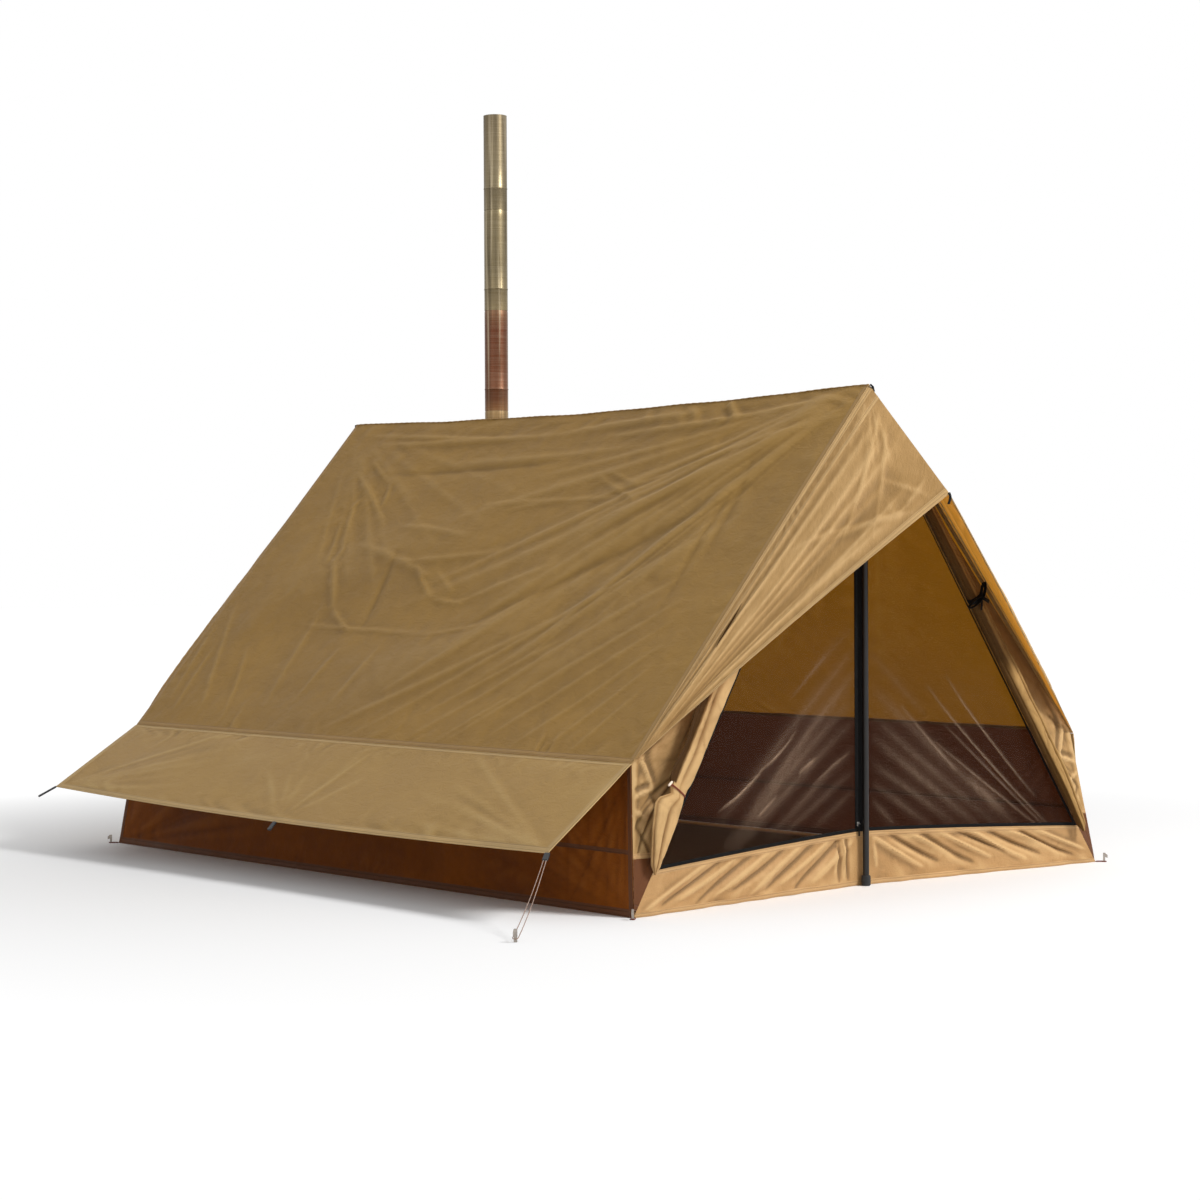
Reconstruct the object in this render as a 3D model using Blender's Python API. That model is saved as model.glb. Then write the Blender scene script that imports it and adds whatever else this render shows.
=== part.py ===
"""A pitched hot tent with eave awnings, visors, inner mesh doors, two poles and a camp stove.

Units are metres. The origin is on the ground under the front pole. +Y runs along the ridge to the
back pole, +X is to the right as seen from the door, and +Z is up. Cloth is modelled 2 mm thick.
"""

import math

import bmesh
import bpy
import numpy as np
from mathutils import Matrix, Vector

# Main sizes of the pitched tent
RIDGE_HEIGHT = 1.55
POLE_SPACING = 2.66
ROOF_OVERHANG = 0.02
EAVE_HALF_WIDTH = 0.988
WALL_HEIGHT = 0.43
BASE_FLARE_SIDE = 0.045
BASE_FLARE_END = 0.055
RIDGE_SAG = 0.025
RIDGE_END = 0.03
EAVE_TUCK = 0.005
GABLE_SETBACK = 0.02
CORNER_SETBACK = 0.008
ZIP_OFFSET = 0.018
GABLE_HEIGHT = 1.49
GUSSET_FOOT = 0.02
SILL_HEIGHT_MIDDLE = 0.167
SILL_HEIGHT_END = 0.122
SILL_CURVE_POWER = 1.3
SILL_CORNER_STEPS = 8

# Visor and awnings
VISOR_REACH = 0.325
VISOR_TIP_HEIGHT = 1.206
VISOR_END_SHARE = 0.985
VISOR_EDGE_DIP = 0.012
AWNING_DEPTH = 0.388
AWNING_DROP_FRONT = 0.23
AWNING_DROP_BACK = 0.205
AWNING_EDGE_SAG = 0.02

# Cloth, webbing and the clearances between pieces
CLOTH = 0.002
MESH_CLOTH = 0.0015
ZIP_TAPE = 0.003
ZIP_TAPE_WIDTH = 0.022
WEBBING = 0.0015
RIDGE_WEBBING_WIDTH = 0.05
SHARP_ANGLE = math.radians(35)
OFFSET_BASE_WEIGHT = 0.02
OFFSET_EDGE_WEIGHT = 1000
ROD_SIDES = 10
SEAM_GAP = 0.0003
BUTT_GAP = 0.0006
CORNER_INSET = 0.0016
LEAF_HINGE_GAP = 0.0004
FRAME_HINGE_GAP = 0.00125
EAVE_SEAM_GAP = 0.0003
OVERRUN = 0.02

# Grid of each cloth: stations along it and rows down or across it
RIDGE_STATIONS = 22
ROOF_ROWS = 12
WEBBING_ROWS = 3
WALL_STATIONS = 19
WALL_ROWS = 7
AWNING_STATIONS = 15
AWNING_ROWS = 5
VISOR_STATIONS = 23
VISOR_ROWS = 7
SILL_STATIONS = 31
SILL_ROWS = 5
GUSSET_COLUMNS = 4
GUSSET_ROWS_LOW = 6
GUSSET_ROWS_HIGH = 9
LEAF_COLUMNS = 9
LEAF_ROWS = 11

# Heights of the folds in each cloth
ROOF_FOLD = 0.014
WALL_FOLD = 0.009
VISOR_FOLD = 0.009
SILL_FOLD = 0.007
GUSSET_FOLD = 0.008
MESH_FOLD = 0.006
BACK_DOOR_FOLD = 0.008
AWNING_FOLD = 0.006

# Poles
POLE_RADIUS = 0.01
POLE_BORE = 0.0088
POLE_SPIGOT_RADIUS = 0.0085
POLE_SPIGOT_LENGTH = 0.09
POLE_JOINT_HEIGHT = 0.78
POLE_EDGE = 0.0012
PIN_RADIUS = 0.0038
PIN_LENGTH = 0.016
FOOT_RADIUS = 0.0145
FOOT_HEIGHT = 0.032
FOOT_FLOOR = 0.005
FOOT_EDGE = 0.0025
POLE_SIDES = 20

# Rolled and folded outer doors
ROLL_TOP = 1.22
ROLL_SLIM_SHARE = 0.45
ROLL_LOBE_SHARE = 0.12
ROLL_LOBES = 5
ROLL_TWIST_PER_METRE = 4
ROLL_FOOT = 0.115
ROLL_STANDOFF = 0.0014
FOLDED_HALF_WIDTH = 0.046
FOLDED_HALF_DEPTH = 0.017
FOLDED_SHIFT = 0.018
ROLLED_HALF_WIDTH = 0.030
ROLLED_HALF_DEPTH = 0.025
ROLLED_SHIFT = 0.012
ROLL_SIDES = 20
ROLL_STEPS = 13
TIE_HEIGHT_LEFT = 0.32
TIE_HEIGHT_RIGHT = 0.876
TIE_WIDTH_LEFT = 0.006
TIE_WIDTH_RIGHT = 0.02
TIE_TAIL = 0.075
TIE_TAIL_WIDTH = 0.014
TIE_SWELL = 0.0011
TOGGLE_RADIUS = 0.006
TOGGLE_LENGTH = 0.022

# Ground loops, pegs, line locks and the awning's guyline
LOOP_CORD = 0.003
LOOP_LENGTH = 0.034
LOOP_WIDTH = 0.012
LOOP_STANDOFF = 0.0007
LOOP_POINTS = 12
PEG_WIDTH = 0.0066
PEG_HEIGHT = 0.03
PEG_HOOK = 0.007
PEG_HOOK_TIP = 0.0168
PEG_LIP = 0.008
LOCK_LENGTH = 0.034
LOCK_WIDTH = 0.016
LOCK_THICKNESS = 0.007
LOCK_GAP = 0.0008
STRAP_LENGTH = 0.07
GUY_CORD = 0.0025
GUY_REACH_SIDE = 0.27
GUY_REACH_END = 0.19
GUY_SAG = 0.012
GUY_RUN_POINTS = 32
GUY_TURN_POINTS = 9
GUY_PEG_HEIGHT = 0.035
GUY_PEG_WIDTH = 0.008

# Zip sliders
SLIDER_WIDTH = 0.009
SLIDER_LENGTH = 0.013
SLIDER_DEPTH = 0.005
SLIDER_BRIDGE = 0.0025
SLIDER_EDGE = 0.001
SLIDER_GAP = 0.0008
MESH_SLIDER_HEIGHT = 0.185
BACK_SLIDER_HEIGHT = 0.19
PULL_WIDTH = 0.006
PULL_LENGTH = 0.038
PULL_DEPTH = 0.0015
PULL_GAP = 0.0004

# Stove
STOVE_SIDE = 0.40
FLUE_TO_BACK_POLE = 0.345
STOVE_WIDTH = 0.22
STOVE_LENGTH = 0.40
STOVE_HEIGHT = 0.24
STOVE_FOOT_CLEARANCE = 0.18
STOVE_WALL = 0.003
STOVE_EDGE = 0.004
FLUE_INSET = 0.07
DOOR_WIDTH = 0.15
DOOR_HEIGHT = 0.14
DOOR_THICKNESS = 0.004
DOOR_LAP = 0.012
DOOR_RISE = 0.05
KNUCKLE_RADIUS = 0.004
KNUCKLE_LENGTH = 0.03
VENT_WIDTH = 0.05
VENT_HEIGHT = 0.016
VENT_THICKNESS = 0.002
VENT_RISE = 0.028
VENT_HOLE_RADIUS = 0.0045
VENT_PITCH = 0.016
KNUCKLE_SHARES = (0.18, 0.82)
LATCH_INSET = 0.018
LATCH_RISE = 0.0868
LATCH_SIDES = 14
LATCH_ARM_SHARE = 0.7
LATCH_LENGTH = 0.06
LATCH_RADIUS = 0.003
LATCH_HUB_RADIUS = 0.006
LATCH_HUB_LENGTH = 0.012
LATCH_GRIP_RADIUS = 0.006
LATCH_GRIP_LENGTH = 0.03
LEG_RADIUS = 0.004
LEG_SPREAD = 0.02
LEG_INSET = 0.02
LEG_PIVOT_DROP = 0.0045
LEG_PAD_RADIUS = 0.006
LEG_PAD_HEIGHT = 0.012
LEG_SIDES = 10

# Flue
FLUE_RADIUS = 0.045
FLUE_WALL = 0.001
FLUE_SLIP = 0.0003
FLUE_PITCH = 0.387
FLUE_LAP = 0.083
FLUE_SECTIONS = 6
FLUE_HEATED = 3
FLUE_TOP = 2.74
FLUE_FOOT_RISE = 0.02
FLUE_BEAD = 0.0013
FLUE_BEAD_HALF = 0.004
FLUE_TAPER = 0.006
FLUE_SIDES = 16
COLLAR_HEIGHT = 0.09
DAMPER_HEIGHT = 0.25
DAMPER_GAP = 0.0015
DAMPER_THICKNESS = 0.0015
DAMPER_SHAFT_RADIUS = 0.0025
DAMPER_HOLE_GAP = 0.0005
DAMPER_HANDLE_REACH = 0.03
DAMPER_HANDLE_RADIUS = 0.014
DAMPER_HANDLE_WIRE = 0.0025
DAMPER_HANDLE_POINTS = 14
DAMPER_HANDLE_SIDES = 8
DAMPER_PLATE_SIDES = 20
JACK_SIZE = 0.32
JACK_GAP = 0.0007
JACK_THICKNESS = 0.002
JACK_OPENING = 0.20
JACK_SIDES = 32

# Finishes: base colour, roughness and metallic value
FINISHES = {
    "roof_cloth": ((0.30, 0.20, 0.073), 0.75, 0),
    "awning_cloth": ((0.33, 0.23, 0.10), 0.75, 0),
    "visor_cloth": ((0.50, 0.34, 0.15), 0.72, 0),
    "wall_cloth": ((0.22, 0.085, 0.025), 0.8, 0),
    "sill_cloth": ((0.56, 0.36, 0.15), 0.72, 0),
    "door_cloth": ((0.52, 0.34, 0.15), 0.72, 0),
    "mesh": ((0.03, 0.022, 0.018), 0.7, 0),
    "black_webbing": ((0.012, 0.012, 0.013), 0.7, 0),
    "red_cord": ((0.20, 0.045, 0.03), 0.75, 0),
    "grey_cord": ((0.42, 0.30, 0.25), 0.75, 0),
    "black_plastic": ((0.015, 0.015, 0.016), 0.45, 0),
    "pole_black": ((0.02, 0.02, 0.022), 0.35, 1),
    "rubber": ((0.015, 0.015, 0.015), 0.8, 0),
    "peg_metal": ((0.75, 0.74, 0.72), 0.35, 1),
    "zip_metal": ((0.45, 0.43, 0.40), 0.35, 1),
    "stove_steel": ((0.09, 0.085, 0.08), 0.5, 1),
    "flue_steel": ((0.42, 0.38, 0.32), 0.32, 1),
    "flue_heated": ((0.33, 0.13, 0.06), 0.38, 1),
    "fire_cloth": ((0.42, 0.36, 0.27), 0.85, 0),
}

# Fold tables. Each row is start across, start along, end across, end along, width and height,
# as shares of the sheet's two sides, of its shorter side and of its fold height.
ROOF_FOLD_SHARES = (
    (0.02, 0.02, 0.62, 0.96, 0.10, 0.75),
    (0.02, 0.02, 0.95, 0.80, 0.11, -0.70),
    (0.03, 0.05, 0.30, 0.98, 0.09, 0.55),
    (0.30, 0.30, 0.86, 0.52, 0.10, 0.55),
    (0.45, 0.62, 0.78, 0.74, 0.09, -0.60),
    (0.93, 0.10, 0.92, 0.92, 0.07, 0.45),
    (0.15, 0.86, 0.85, 0.88, 0.08, -0.40),
)
WALL_FOLD_SHARES = (
    (0.99, 0.04, 0.80, 0.95, 0.16, 0.9),
    (0.99, 0.04, 0.66, 0.80, 0.14, -0.8),
    (0.03, 0.05, 0.05, 0.95, 0.16, 0.8),
    (0.12, 0.10, 0.20, 0.70, 0.18, -0.7),
    (0.35, 0.25, 0.52, 0.60, 0.20, 0.7),
)
VISOR_FOLD_SHARES = (
    (0.08, 0.35, 0.92, 0.40, 0.16, 1.0),
    (0.10, 0.62, 0.88, 0.66, 0.14, -0.8),
    (0.15, 0.84, 0.80, 0.86, 0.12, 0.6),
)
SILL_FOLD_SHARES = (
    (0.08, 0.10, 0.20, 0.90, 0.22, 1.0),
    (0.22, 0.10, 0.34, 0.90, 0.22, -0.9),
    (0.34, 0.10, 0.44, 0.90, 0.22, 0.9),
    (0.60, 0.90, 0.68, 0.10, 0.22, 0.8),
    (0.74, 0.90, 0.84, 0.10, 0.24, -0.8),
)
MESH_FOLD_SHARES = (
    (0.98, 0.10, 0.20, 0.36, 0.12, 1.0),
    (0.98, 0.12, 0.45, 0.50, 0.11, 0.8),
    (0.96, 0.55, 0.50, 0.12, 0.12, 0.7),
)
GUSSET_FOLD_SHARES = (
    (0.10, 0.12, 0.90, 0.34, 0.30, 1.0),
    (0.15, 0.36, 0.90, 0.16, 0.30, 0.8),
    (0.40, 0.45, 0.60, 0.85, 0.30, 0.6),
)
BACK_DOOR_FOLD_SHARES = (
    (0.92, 0.06, 0.30, 0.45, 0.13, 1.0),
    (0.94, 0.30, 0.60, 0.70, 0.13, 0.8),
    (0.20, 0.08, 0.70, 0.20, 0.12, 0.8),
)
AWNING_FOLD_SHARES = (
    (0.06, 0.20, 0.30, 0.85, 0.22, 0.8),
    (0.40, 0.25, 0.62, 0.80, 0.24, -0.7),
    (0.74, 0.20, 0.94, 0.80, 0.22, 0.8),
)
EDGE_WINDOW_SHARE = 0.12
EDGE_REST_SHARE = 0.022

# Values that follow from the sizes above
ROOF_DROP = RIDGE_HEIGHT - WALL_HEIGHT
ROOF_PITCH = math.atan2(ROOF_DROP, EAVE_HALF_WIDTH)
BASE_HALF_WIDTH = EAVE_HALF_WIDTH + BASE_FLARE_SIDE
ROOF_FRONT = -ROOF_OVERHANG
ROOF_BACK = POLE_SPACING + ROOF_OVERHANG
BASE_FRONT = ROOF_FRONT - BASE_FLARE_END
DOOR_LINE_RISE = RIDGE_HEIGHT / math.hypot(BASE_HALF_WIDTH, RIDGE_HEIGHT)
UNDER_ROOF = (CLOTH / 2 + SEAM_GAP)
WALL_TOP = WALL_HEIGHT + EAVE_TUCK * math.tan(ROOF_PITCH) - UNDER_ROOF / math.cos(ROOF_PITCH)
VISOR_FRONT = ROOF_FRONT - SEAM_GAP
WALL_LEAN = math.atan2(BASE_FLARE_SIDE + EAVE_TUCK, WALL_TOP)
STOVE_FLUE_DISTANCE = POLE_SPACING - FLUE_TO_BACK_POLE
STOVE_TOP = STOVE_FOOT_CLEARANCE + STOVE_HEIGHT
STOVE_BACK = STOVE_FLUE_DISTANCE + FLUE_INSET
STOVE_FRONT = STOVE_BACK - STOVE_LENGTH
FLUE_FOOT = STOVE_TOP + FLUE_FOOT_RISE
LEFT = -1
RIGHT = 1
UP = Vector((0, 0, 1))


def clear_scene():
    """Removes every object of the opened scene."""
    for item in list(bpy.data.objects):
        bpy.data.objects.remove(item, do_unlink=True)


def finish_material(name):
    """Returns the material of a finish, made on its first use."""
    material = bpy.data.materials.get(name)
    if material is None:
        colour, roughness, metallic = FINISHES[name]
        material = bpy.data.materials.new(name)
        material.use_nodes = True
        shader = material.node_tree.nodes["Principled BSDF"]
        shader.inputs["Base Color"].default_value = (*colour, 1)
        shader.inputs["Roughness"].default_value = roughness
        shader.inputs["Metallic"].default_value = metallic
    return material


def place(bm, name, finish, pivot=(0, 0, 0)):
    """Makes an object of a bmesh in world places, with its origin at the pivot."""
    bmesh.ops.recalc_face_normals(bm, faces=bm.faces)
    bmesh.ops.translate(bm, verts=bm.verts, vec=-Vector(pivot))
    mesh = bpy.data.meshes.new(name)
    bm.to_mesh(mesh)
    bm.free()
    mesh.shade_smooth()
    mesh.set_sharp_from_angle(angle=SHARP_ANGLE)
    thing = bpy.data.objects.new(name, mesh)
    thing.location = pivot
    mesh.materials.append(finish_material(finish))
    bpy.context.collection.objects.link(thing)
    return thing


def combine(thing, tool, operation):
    """Adds an exact Boolean with a hidden tool to a piece."""
    tool.hide_render = True
    tool.display_type = "WIRE"
    change = thing.modifiers.new(operation.lower(), "BOOLEAN")
    change.operation = operation
    change.solver = "EXACT"
    change.object = tool
    return thing


# Sheets


def smooth_step(values):
    """Rises from 0 to 1 with no slope at either end."""
    t = np.clip(values, 0, 1)
    return t * t * (3 - 2 * t)


def window(across, along):
    """Is 1 inside a sheet and falls smoothly to 0 a little inside its four edges."""
    shape = 1
    for share in (across, 1 - across, along, 1 - along):
        shape = shape * smooth_step((share - EDGE_REST_SHARE) / EDGE_WINDOW_SHARE)
    return shape


def folds(across, along, sides, fold_shares, fold_height):
    """Sums soft ridges along straight lines of a sheet: a bell of the distance to each line."""
    total = np.zeros(across.shape)
    width_unit = min(sides)
    for u0, v0, u1, v1, width_share, height_share in fold_shares:
        start = np.array((u0 * sides[0], v0 * sides[1]))
        line = np.array((u1 * sides[0], v1 * sides[1])) - start
        places = np.stack((across * sides[0], along * sides[1]), -1) - start
        reach = np.clip(places @ line / (line @ line), 0, 1)
        distance = np.linalg.norm(places - reach[..., None] * line, axis=-1)
        total += height_share * np.exp(-((distance / (width_share * width_unit)) ** 2))
    return total * fold_height * window(across, along)


def cell_normals(points):
    """Gives the unit normal of each grid cell, from the cross product of its diagonals."""
    first = points[1:, 1:] - points[:-1, :-1]
    second = points[:-1, 1:] - points[1:, :-1]
    normal = np.cross(first, second)
    return normal / np.linalg.norm(normal, axis=-1, keepdims=True)


def offsets(points, half, edges, closed):
    """Solves each grid point's offset so that it lies half a thickness from all its cells' planes.

    An edge in edges keeps its offsets square to the given unit direction, which mitres a seam.
    """
    normal = cell_normals(np.concatenate((points, points[:1]), 0) if closed else points)
    rows, columns = points.shape[:2]
    system = np.zeros((rows, columns, 3, 3)) + np.eye(3) * OFFSET_BASE_WEIGHT
    target = np.zeros((rows, columns, 3))
    outer = normal[..., :, None] * normal[..., None, :]
    count = normal.shape[0]
    for di in (0, 1):
        for dj in (0, 1):
            i = (np.arange(count) + di) % rows
            j = np.arange(normal.shape[1]) + dj
            np.add.at(system, np.ix_(i, j), outer)
            np.add.at(target, np.ix_(i, j), normal * half[np.ix_(i, j)][..., None])
    ends = {"u0": np.s_[0, :], "u1": np.s_[-1, :], "v0": np.s_[:, 0], "v1": np.s_[:, -1]}
    for edge, direction in edges.items():
        direction = np.asarray(direction, float)
        along_edge = direction[..., :, None] * direction[..., None, :]
        system[ends[edge]] += OFFSET_EDGE_WEIGHT * along_edge
    return np.linalg.solve(system, target[..., None])[..., 0]


def cell_triangles(points, ring):
    """Splits a grid cell along its shorter diagonal, so that both faces of a sheet fold alike."""
    a, b, c, d = (points[place_in_grid] for place_in_grid in ring)
    if np.linalg.norm(c - a) <= np.linalg.norm(d - b):
        return (ring[0], ring[1], ring[2]), (ring[0], ring[2], ring[3])
    return (ring[0], ring[1], ring[3]), (ring[1], ring[2], ring[3])


def sheet(name, finish, points, thickness, edges=None, closed=False, holes=(), pivot=(0, 0, 0)):
    """Makes a closed sheet of cloth around a grid of middle points, with holes of whole cells."""
    half = np.zeros(points.shape[:2]) + np.asarray(thickness) / 2
    offset = offsets(points, half, edges or {}, closed)
    rows, columns = points.shape[:2]
    bm = bmesh.new()
    front = [[bm.verts.new(p) for p in row] for row in points + offset]
    back = [[bm.verts.new(p) for p in row] for row in points - offset]
    cells = [(i, j) for i in range(rows if closed else rows - 1) for j in range(columns - 1)
             if (i, j) not in holes]
    border = {}
    for i, j in cells:
        k = (i + 1) % rows
        ring = ((i, j), (k, j), (k, j + 1), (i, j + 1))
        for corners in cell_triangles(points, ring):
            bm.faces.new([front[a][b] for a, b in corners])
            bm.faces.new([back[a][b] for a, b in reversed(corners)])
        for start, end in zip(ring, ring[1:] + ring[:1]):
            if border.pop((end, start), None) is None:
                border[(start, end)] = True
    for (a, b), (c, d) in border:
        bm.faces.new((front[c][d], front[a][b], back[a][b], back[c][d]))
    bmesh.ops.delete(bm, geom=[v for v in bm.verts if not v.link_faces], context="VERTS")
    return place(bm, name, finish, pivot)


def grid(columns, rows):
    """Returns two arrays of shares from 0 to 1, the first changing down the array."""
    return np.meshgrid(np.linspace(0, 1, columns), np.linspace(0, 1, rows), indexing="ij")


def mix(start, end, share):
    """Blends two values by a share. Each may be an array."""
    return start + (end - start) * share


def mix_places(start, end, share):
    """Blends two arrays of places by an array of shares."""
    return start + (end - start) * share[..., None]


def stack(x, y, z):
    """Joins three arrays or numbers to an array of places."""
    return np.stack(np.broadcast_arrays(x, y, z), -1).astype(float)


def to_back(points):
    """Turns front gable places to the back gable by a mirror about the tent's middle."""
    turned_points = np.array(points, float)
    turned_points[..., 1] = POLE_SPACING - turned_points[..., 1]
    return turned_points


# Lines of the tent that several pieces share


def ridge_line(y):
    """Height of the ridge, which sags between the poles and is straight at its ends."""
    share = np.clip((np.asarray(y) - RIDGE_END) / (POLE_SPACING - RIDGE_END * 2), 0, 1)
    return RIDGE_HEIGHT - RIDGE_SAG * 4 * share * (1 - share)


def roof_height(x, y):
    """Height of the roof's middle surface over a place on the ground, without its folds."""
    return mix(ridge_line(y), WALL_HEIGHT, np.abs(x) / EAVE_HALF_WIDTH)


def gable_y(x):
    """Front gable's middle surface, which bends forward from the zip to the base corners."""
    forward = GABLE_SETBACK - BASE_FRONT
    reach = BASE_HALF_WIDTH + np.sign(x + ZIP_OFFSET) * ZIP_OFFSET
    return GABLE_SETBACK - forward * np.abs(x + ZIP_OFFSET) / reach


def door_line(side, z, inward=0):
    """Sloping side of the door opening, from the apex to the ground corner, moved inward."""
    x = side * BASE_HALF_WIDTH * (RIDGE_HEIGHT - z) / RIDGE_HEIGHT - side * inward / DOOR_LINE_RISE
    return stack(x, gable_y(x), z)


def corner_line(side, z):
    """Corner seam between a side wall and a gusset, from the ground up to the eave."""
    share = z / WALL_TOP
    x = side * mix(BASE_HALF_WIDTH, EAVE_HALF_WIDTH - EAVE_TUCK, share)
    return stack(x, mix(BASE_FRONT, ROOF_FRONT + CORNER_SETBACK, share), z)


def sill_top(x):
    """Top edge of the sill, highest at the pole."""
    share = np.abs(x) / BASE_HALF_WIDTH
    return mix(SILL_HEIGHT_MIDDLE, SILL_HEIGHT_END, share ** SILL_CURVE_POWER)


def roof_normal(side):
    """Outward direction square to a roof panel."""
    return np.array((side * math.sin(ROOF_PITCH), 0, math.cos(ROOF_PITCH)))


# Roof


def roof_points(side, across, along):
    """Middle surface of a roof panel: along the ridge across, down the slope along."""
    ridge_inset = (SEAM_GAP / 2 + CLOTH / 2 * math.sin(ROOF_PITCH)) / math.cos(ROOF_PITCH)
    eave_inset = (EAVE_SEAM_GAP if side == LEFT else FRAME_HINGE_GAP) * math.cos(ROOF_PITCH)
    y = mix(ROOF_FRONT, ROOF_BACK, across)
    x = side * mix(ridge_inset * math.cos(ROOF_PITCH), EAVE_HALF_WIDTH - eave_inset, along)
    slope_length = math.hypot(EAVE_HALF_WIDTH, ROOF_DROP)
    flat = stack(x, y, roof_height(x, y))
    rise = folds(across, along, (POLE_SPACING, slope_length), ROOF_FOLD_SHARES, ROOF_FOLD)
    if side == RIGHT:
        away = np.hypot(x - STOVE_SIDE, y - STOVE_FLUE_DISTANCE)
        rise = rise * smooth_step((away - JACK_SIZE) / JACK_SIZE)
    return flat + rise[..., None] * roof_normal(side)


def ridge_stations(count):
    """Shares along the ridge: a short straight stretch at each end, and even steps between."""
    straight = (RIDGE_END - ROOF_FRONT) / (ROOF_BACK - ROOF_FRONT)
    return np.concatenate(((0,), np.linspace(straight, 1 - straight, count - 2), (1,)))


def with_values(shares, extra):
    """Moves the nearest inner grid shares onto the given values."""
    shares = np.array(shares)
    for value in extra:
        nearest = 1 + np.argmin(np.abs(shares[1:-1] - value))
        shares[nearest] = value
    return shares


def jack_opening_shares():
    """Shares of the right roof panel's sides at the borders of its stove opening."""
    length = ROOF_BACK - ROOF_FRONT
    half = JACK_OPENING / 2
    across = [(STOVE_FLUE_DISTANCE + d - ROOF_FRONT) / length for d in (-half, half)]
    along = [(STOVE_SIDE + d * math.cos(ROOF_PITCH)) / EAVE_HALF_WIDTH for d in (-half, half)]
    return across, along


def make_roof():
    """Two roof panels, the right one with the opening for the stove jack."""
    columns = ridge_stations(RIDGE_STATIONS)
    rows = np.concatenate(((0,), np.linspace(EDGE_REST_SHARE, 1, ROOF_ROWS - 1)))
    across, along = np.meshgrid(columns, rows, indexing="ij")
    end = {"u0": (0, 1, 0), "u1": (0, 1, 0), "v0": (1, 0, 0)}
    sheet("roof_left", "roof_cloth", roof_points(LEFT, across, along), CLOTH, end)
    gap_across, gap_along = jack_opening_shares()
    columns = with_values(columns, gap_across)
    rows = with_values(rows, gap_along)
    across, along = np.meshgrid(columns, rows, indexing="ij")
    holes = {(i, j) for i in range(len(columns) - 1) for j in range(len(rows) - 1)
             if gap_across[0] <= columns[i] < gap_across[1] and gap_along[0] <= rows[j] < gap_along[1]}
    sheet("roof_right", "roof_cloth", roof_points(RIGHT, across, along), CLOTH, end, holes=holes)


def make_ridge_webbing():
    """Folded webbing under the ridge, which the pole tips push up."""
    across, along = np.meshgrid(ridge_stations(RIDGE_STATIONS), np.linspace(0, 1, WEBBING_ROWS),
                                indexing="ij")
    half = RIDGE_WEBBING_WIDTH / 2 * math.cos(ROOF_PITCH)
    x = mix(-half, half, along)
    y = mix(ROOF_FRONT, ROOF_BACK, across)
    below = (CLOTH / 2 + SEAM_GAP + WEBBING / 2) / math.cos(ROOF_PITCH)
    slope = np.abs(x) * math.tan(ROOF_PITCH)
    points = stack(x, y, ridge_line(y) - below - slope)
    sheet("ridge_webbing", "black_webbing", points, WEBBING, {"u0": (0, 1, 0), "u1": (0, 1, 0)})


def make_stove_jack():
    """Heat-proof ring on the roof round the flue: a square outside and a round, upright bore."""
    turns = np.arange(JACK_SIDES) / JACK_SIDES * math.tau
    direction = stack(np.cos(turns), np.sin(turns), 0)
    bore = FLUE_RADIUS + JACK_GAP
    half = JACK_SIZE / 2
    square = half / np.maximum(np.abs(direction[:, 0]), np.abs(direction[:, 1]))
    rings = np.linspace(0, 1, 4)
    radius_x = bore + (square[:, None] * math.cos(ROOF_PITCH) - bore) * rings[None, :]
    radius_y = bore + (square[:, None] - bore) * rings[None, :]
    x = STOVE_SIDE + direction[:, None, 0] * radius_x
    y = STOVE_FLUE_DISTANCE + direction[:, None, 1] * radius_y
    lift = CLOTH / 2 + SEAM_GAP + JACK_THICKNESS / 2
    points = stack(x, y, roof_height(x, y) + lift / math.cos(ROOF_PITCH))
    inner = {"v0": direction}
    sheet("stove_jack", "fire_cloth", points, JACK_THICKNESS, inner, closed=True)


# Walls, awnings and visors


def make_walls():
    """Side walls from the ground to the underside of the roof, with folds to the inside."""
    across, along = grid(WALL_STATIONS, WALL_ROWS)
    for side, name in ((LEFT, "wall_left"), (RIGHT, "wall_right")):
        z = mix(0, WALL_TOP, along)
        front = corner_line(side, z) + np.array((0, CORNER_INSET, 0))
        points = mix_places(front, to_back(front), across)
        inward = np.abs(folds(across, along, (POLE_SPACING, WALL_TOP), WALL_FOLD_SHARES, WALL_FOLD))
        points[..., 0] -= side * inward
        edges = {"v0": (0, 0, 1), "v1": roof_normal(side)}
        sheet(name, "wall_cloth", points, CLOTH, edges)


def awning_points(side, across, along, hanging):
    """Awning's middle surface, from the eave line out, or down along the wall when hanging."""
    y = mix(ROOF_FRONT, ROOF_BACK, across)
    drop = mix(AWNING_DROP_FRONT, AWNING_DROP_BACK, across)
    drop = drop + AWNING_EDGE_SAG * 4 * across * (1 - across)
    if hanging:
        lean = np.zeros(across.shape) + WALL_LEAN
    else:
        lean = np.arccos(drop / AWNING_DEPTH)
    reach = mix(LEAF_HINGE_GAP if hanging else EAVE_SEAM_GAP, AWNING_DEPTH, along)
    rise = folds(across, along, (POLE_SPACING, AWNING_DEPTH), AWNING_FOLD_SHARES, AWNING_FOLD)
    if hanging:
        rise = np.abs(rise)
    x = EAVE_HALF_WIDTH + reach * np.sin(lean) + rise * np.cos(lean)
    z = WALL_HEIGHT - reach * np.cos(lean) + rise * np.sin(lean)
    return stack(side * x, y, z)


def make_awnings():
    """Left awning held out by its guylines, right awning hanging against the wall."""
    across, along = grid(AWNING_STATIONS, AWNING_ROWS)
    ends = {"u0": (0, 1, 0), "u1": (0, 1, 0)}
    sheet("awning_left", "awning_cloth", awning_points(LEFT, across, along, False), CLOTH, ends)
    pivot = (EAVE_HALF_WIDTH, POLE_SPACING / 2, WALL_HEIGHT)
    points = awning_points(RIGHT, across, along, True)
    sheet("awning_right", "awning_cloth", points, CLOTH, ends, pivot=pivot)


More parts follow.
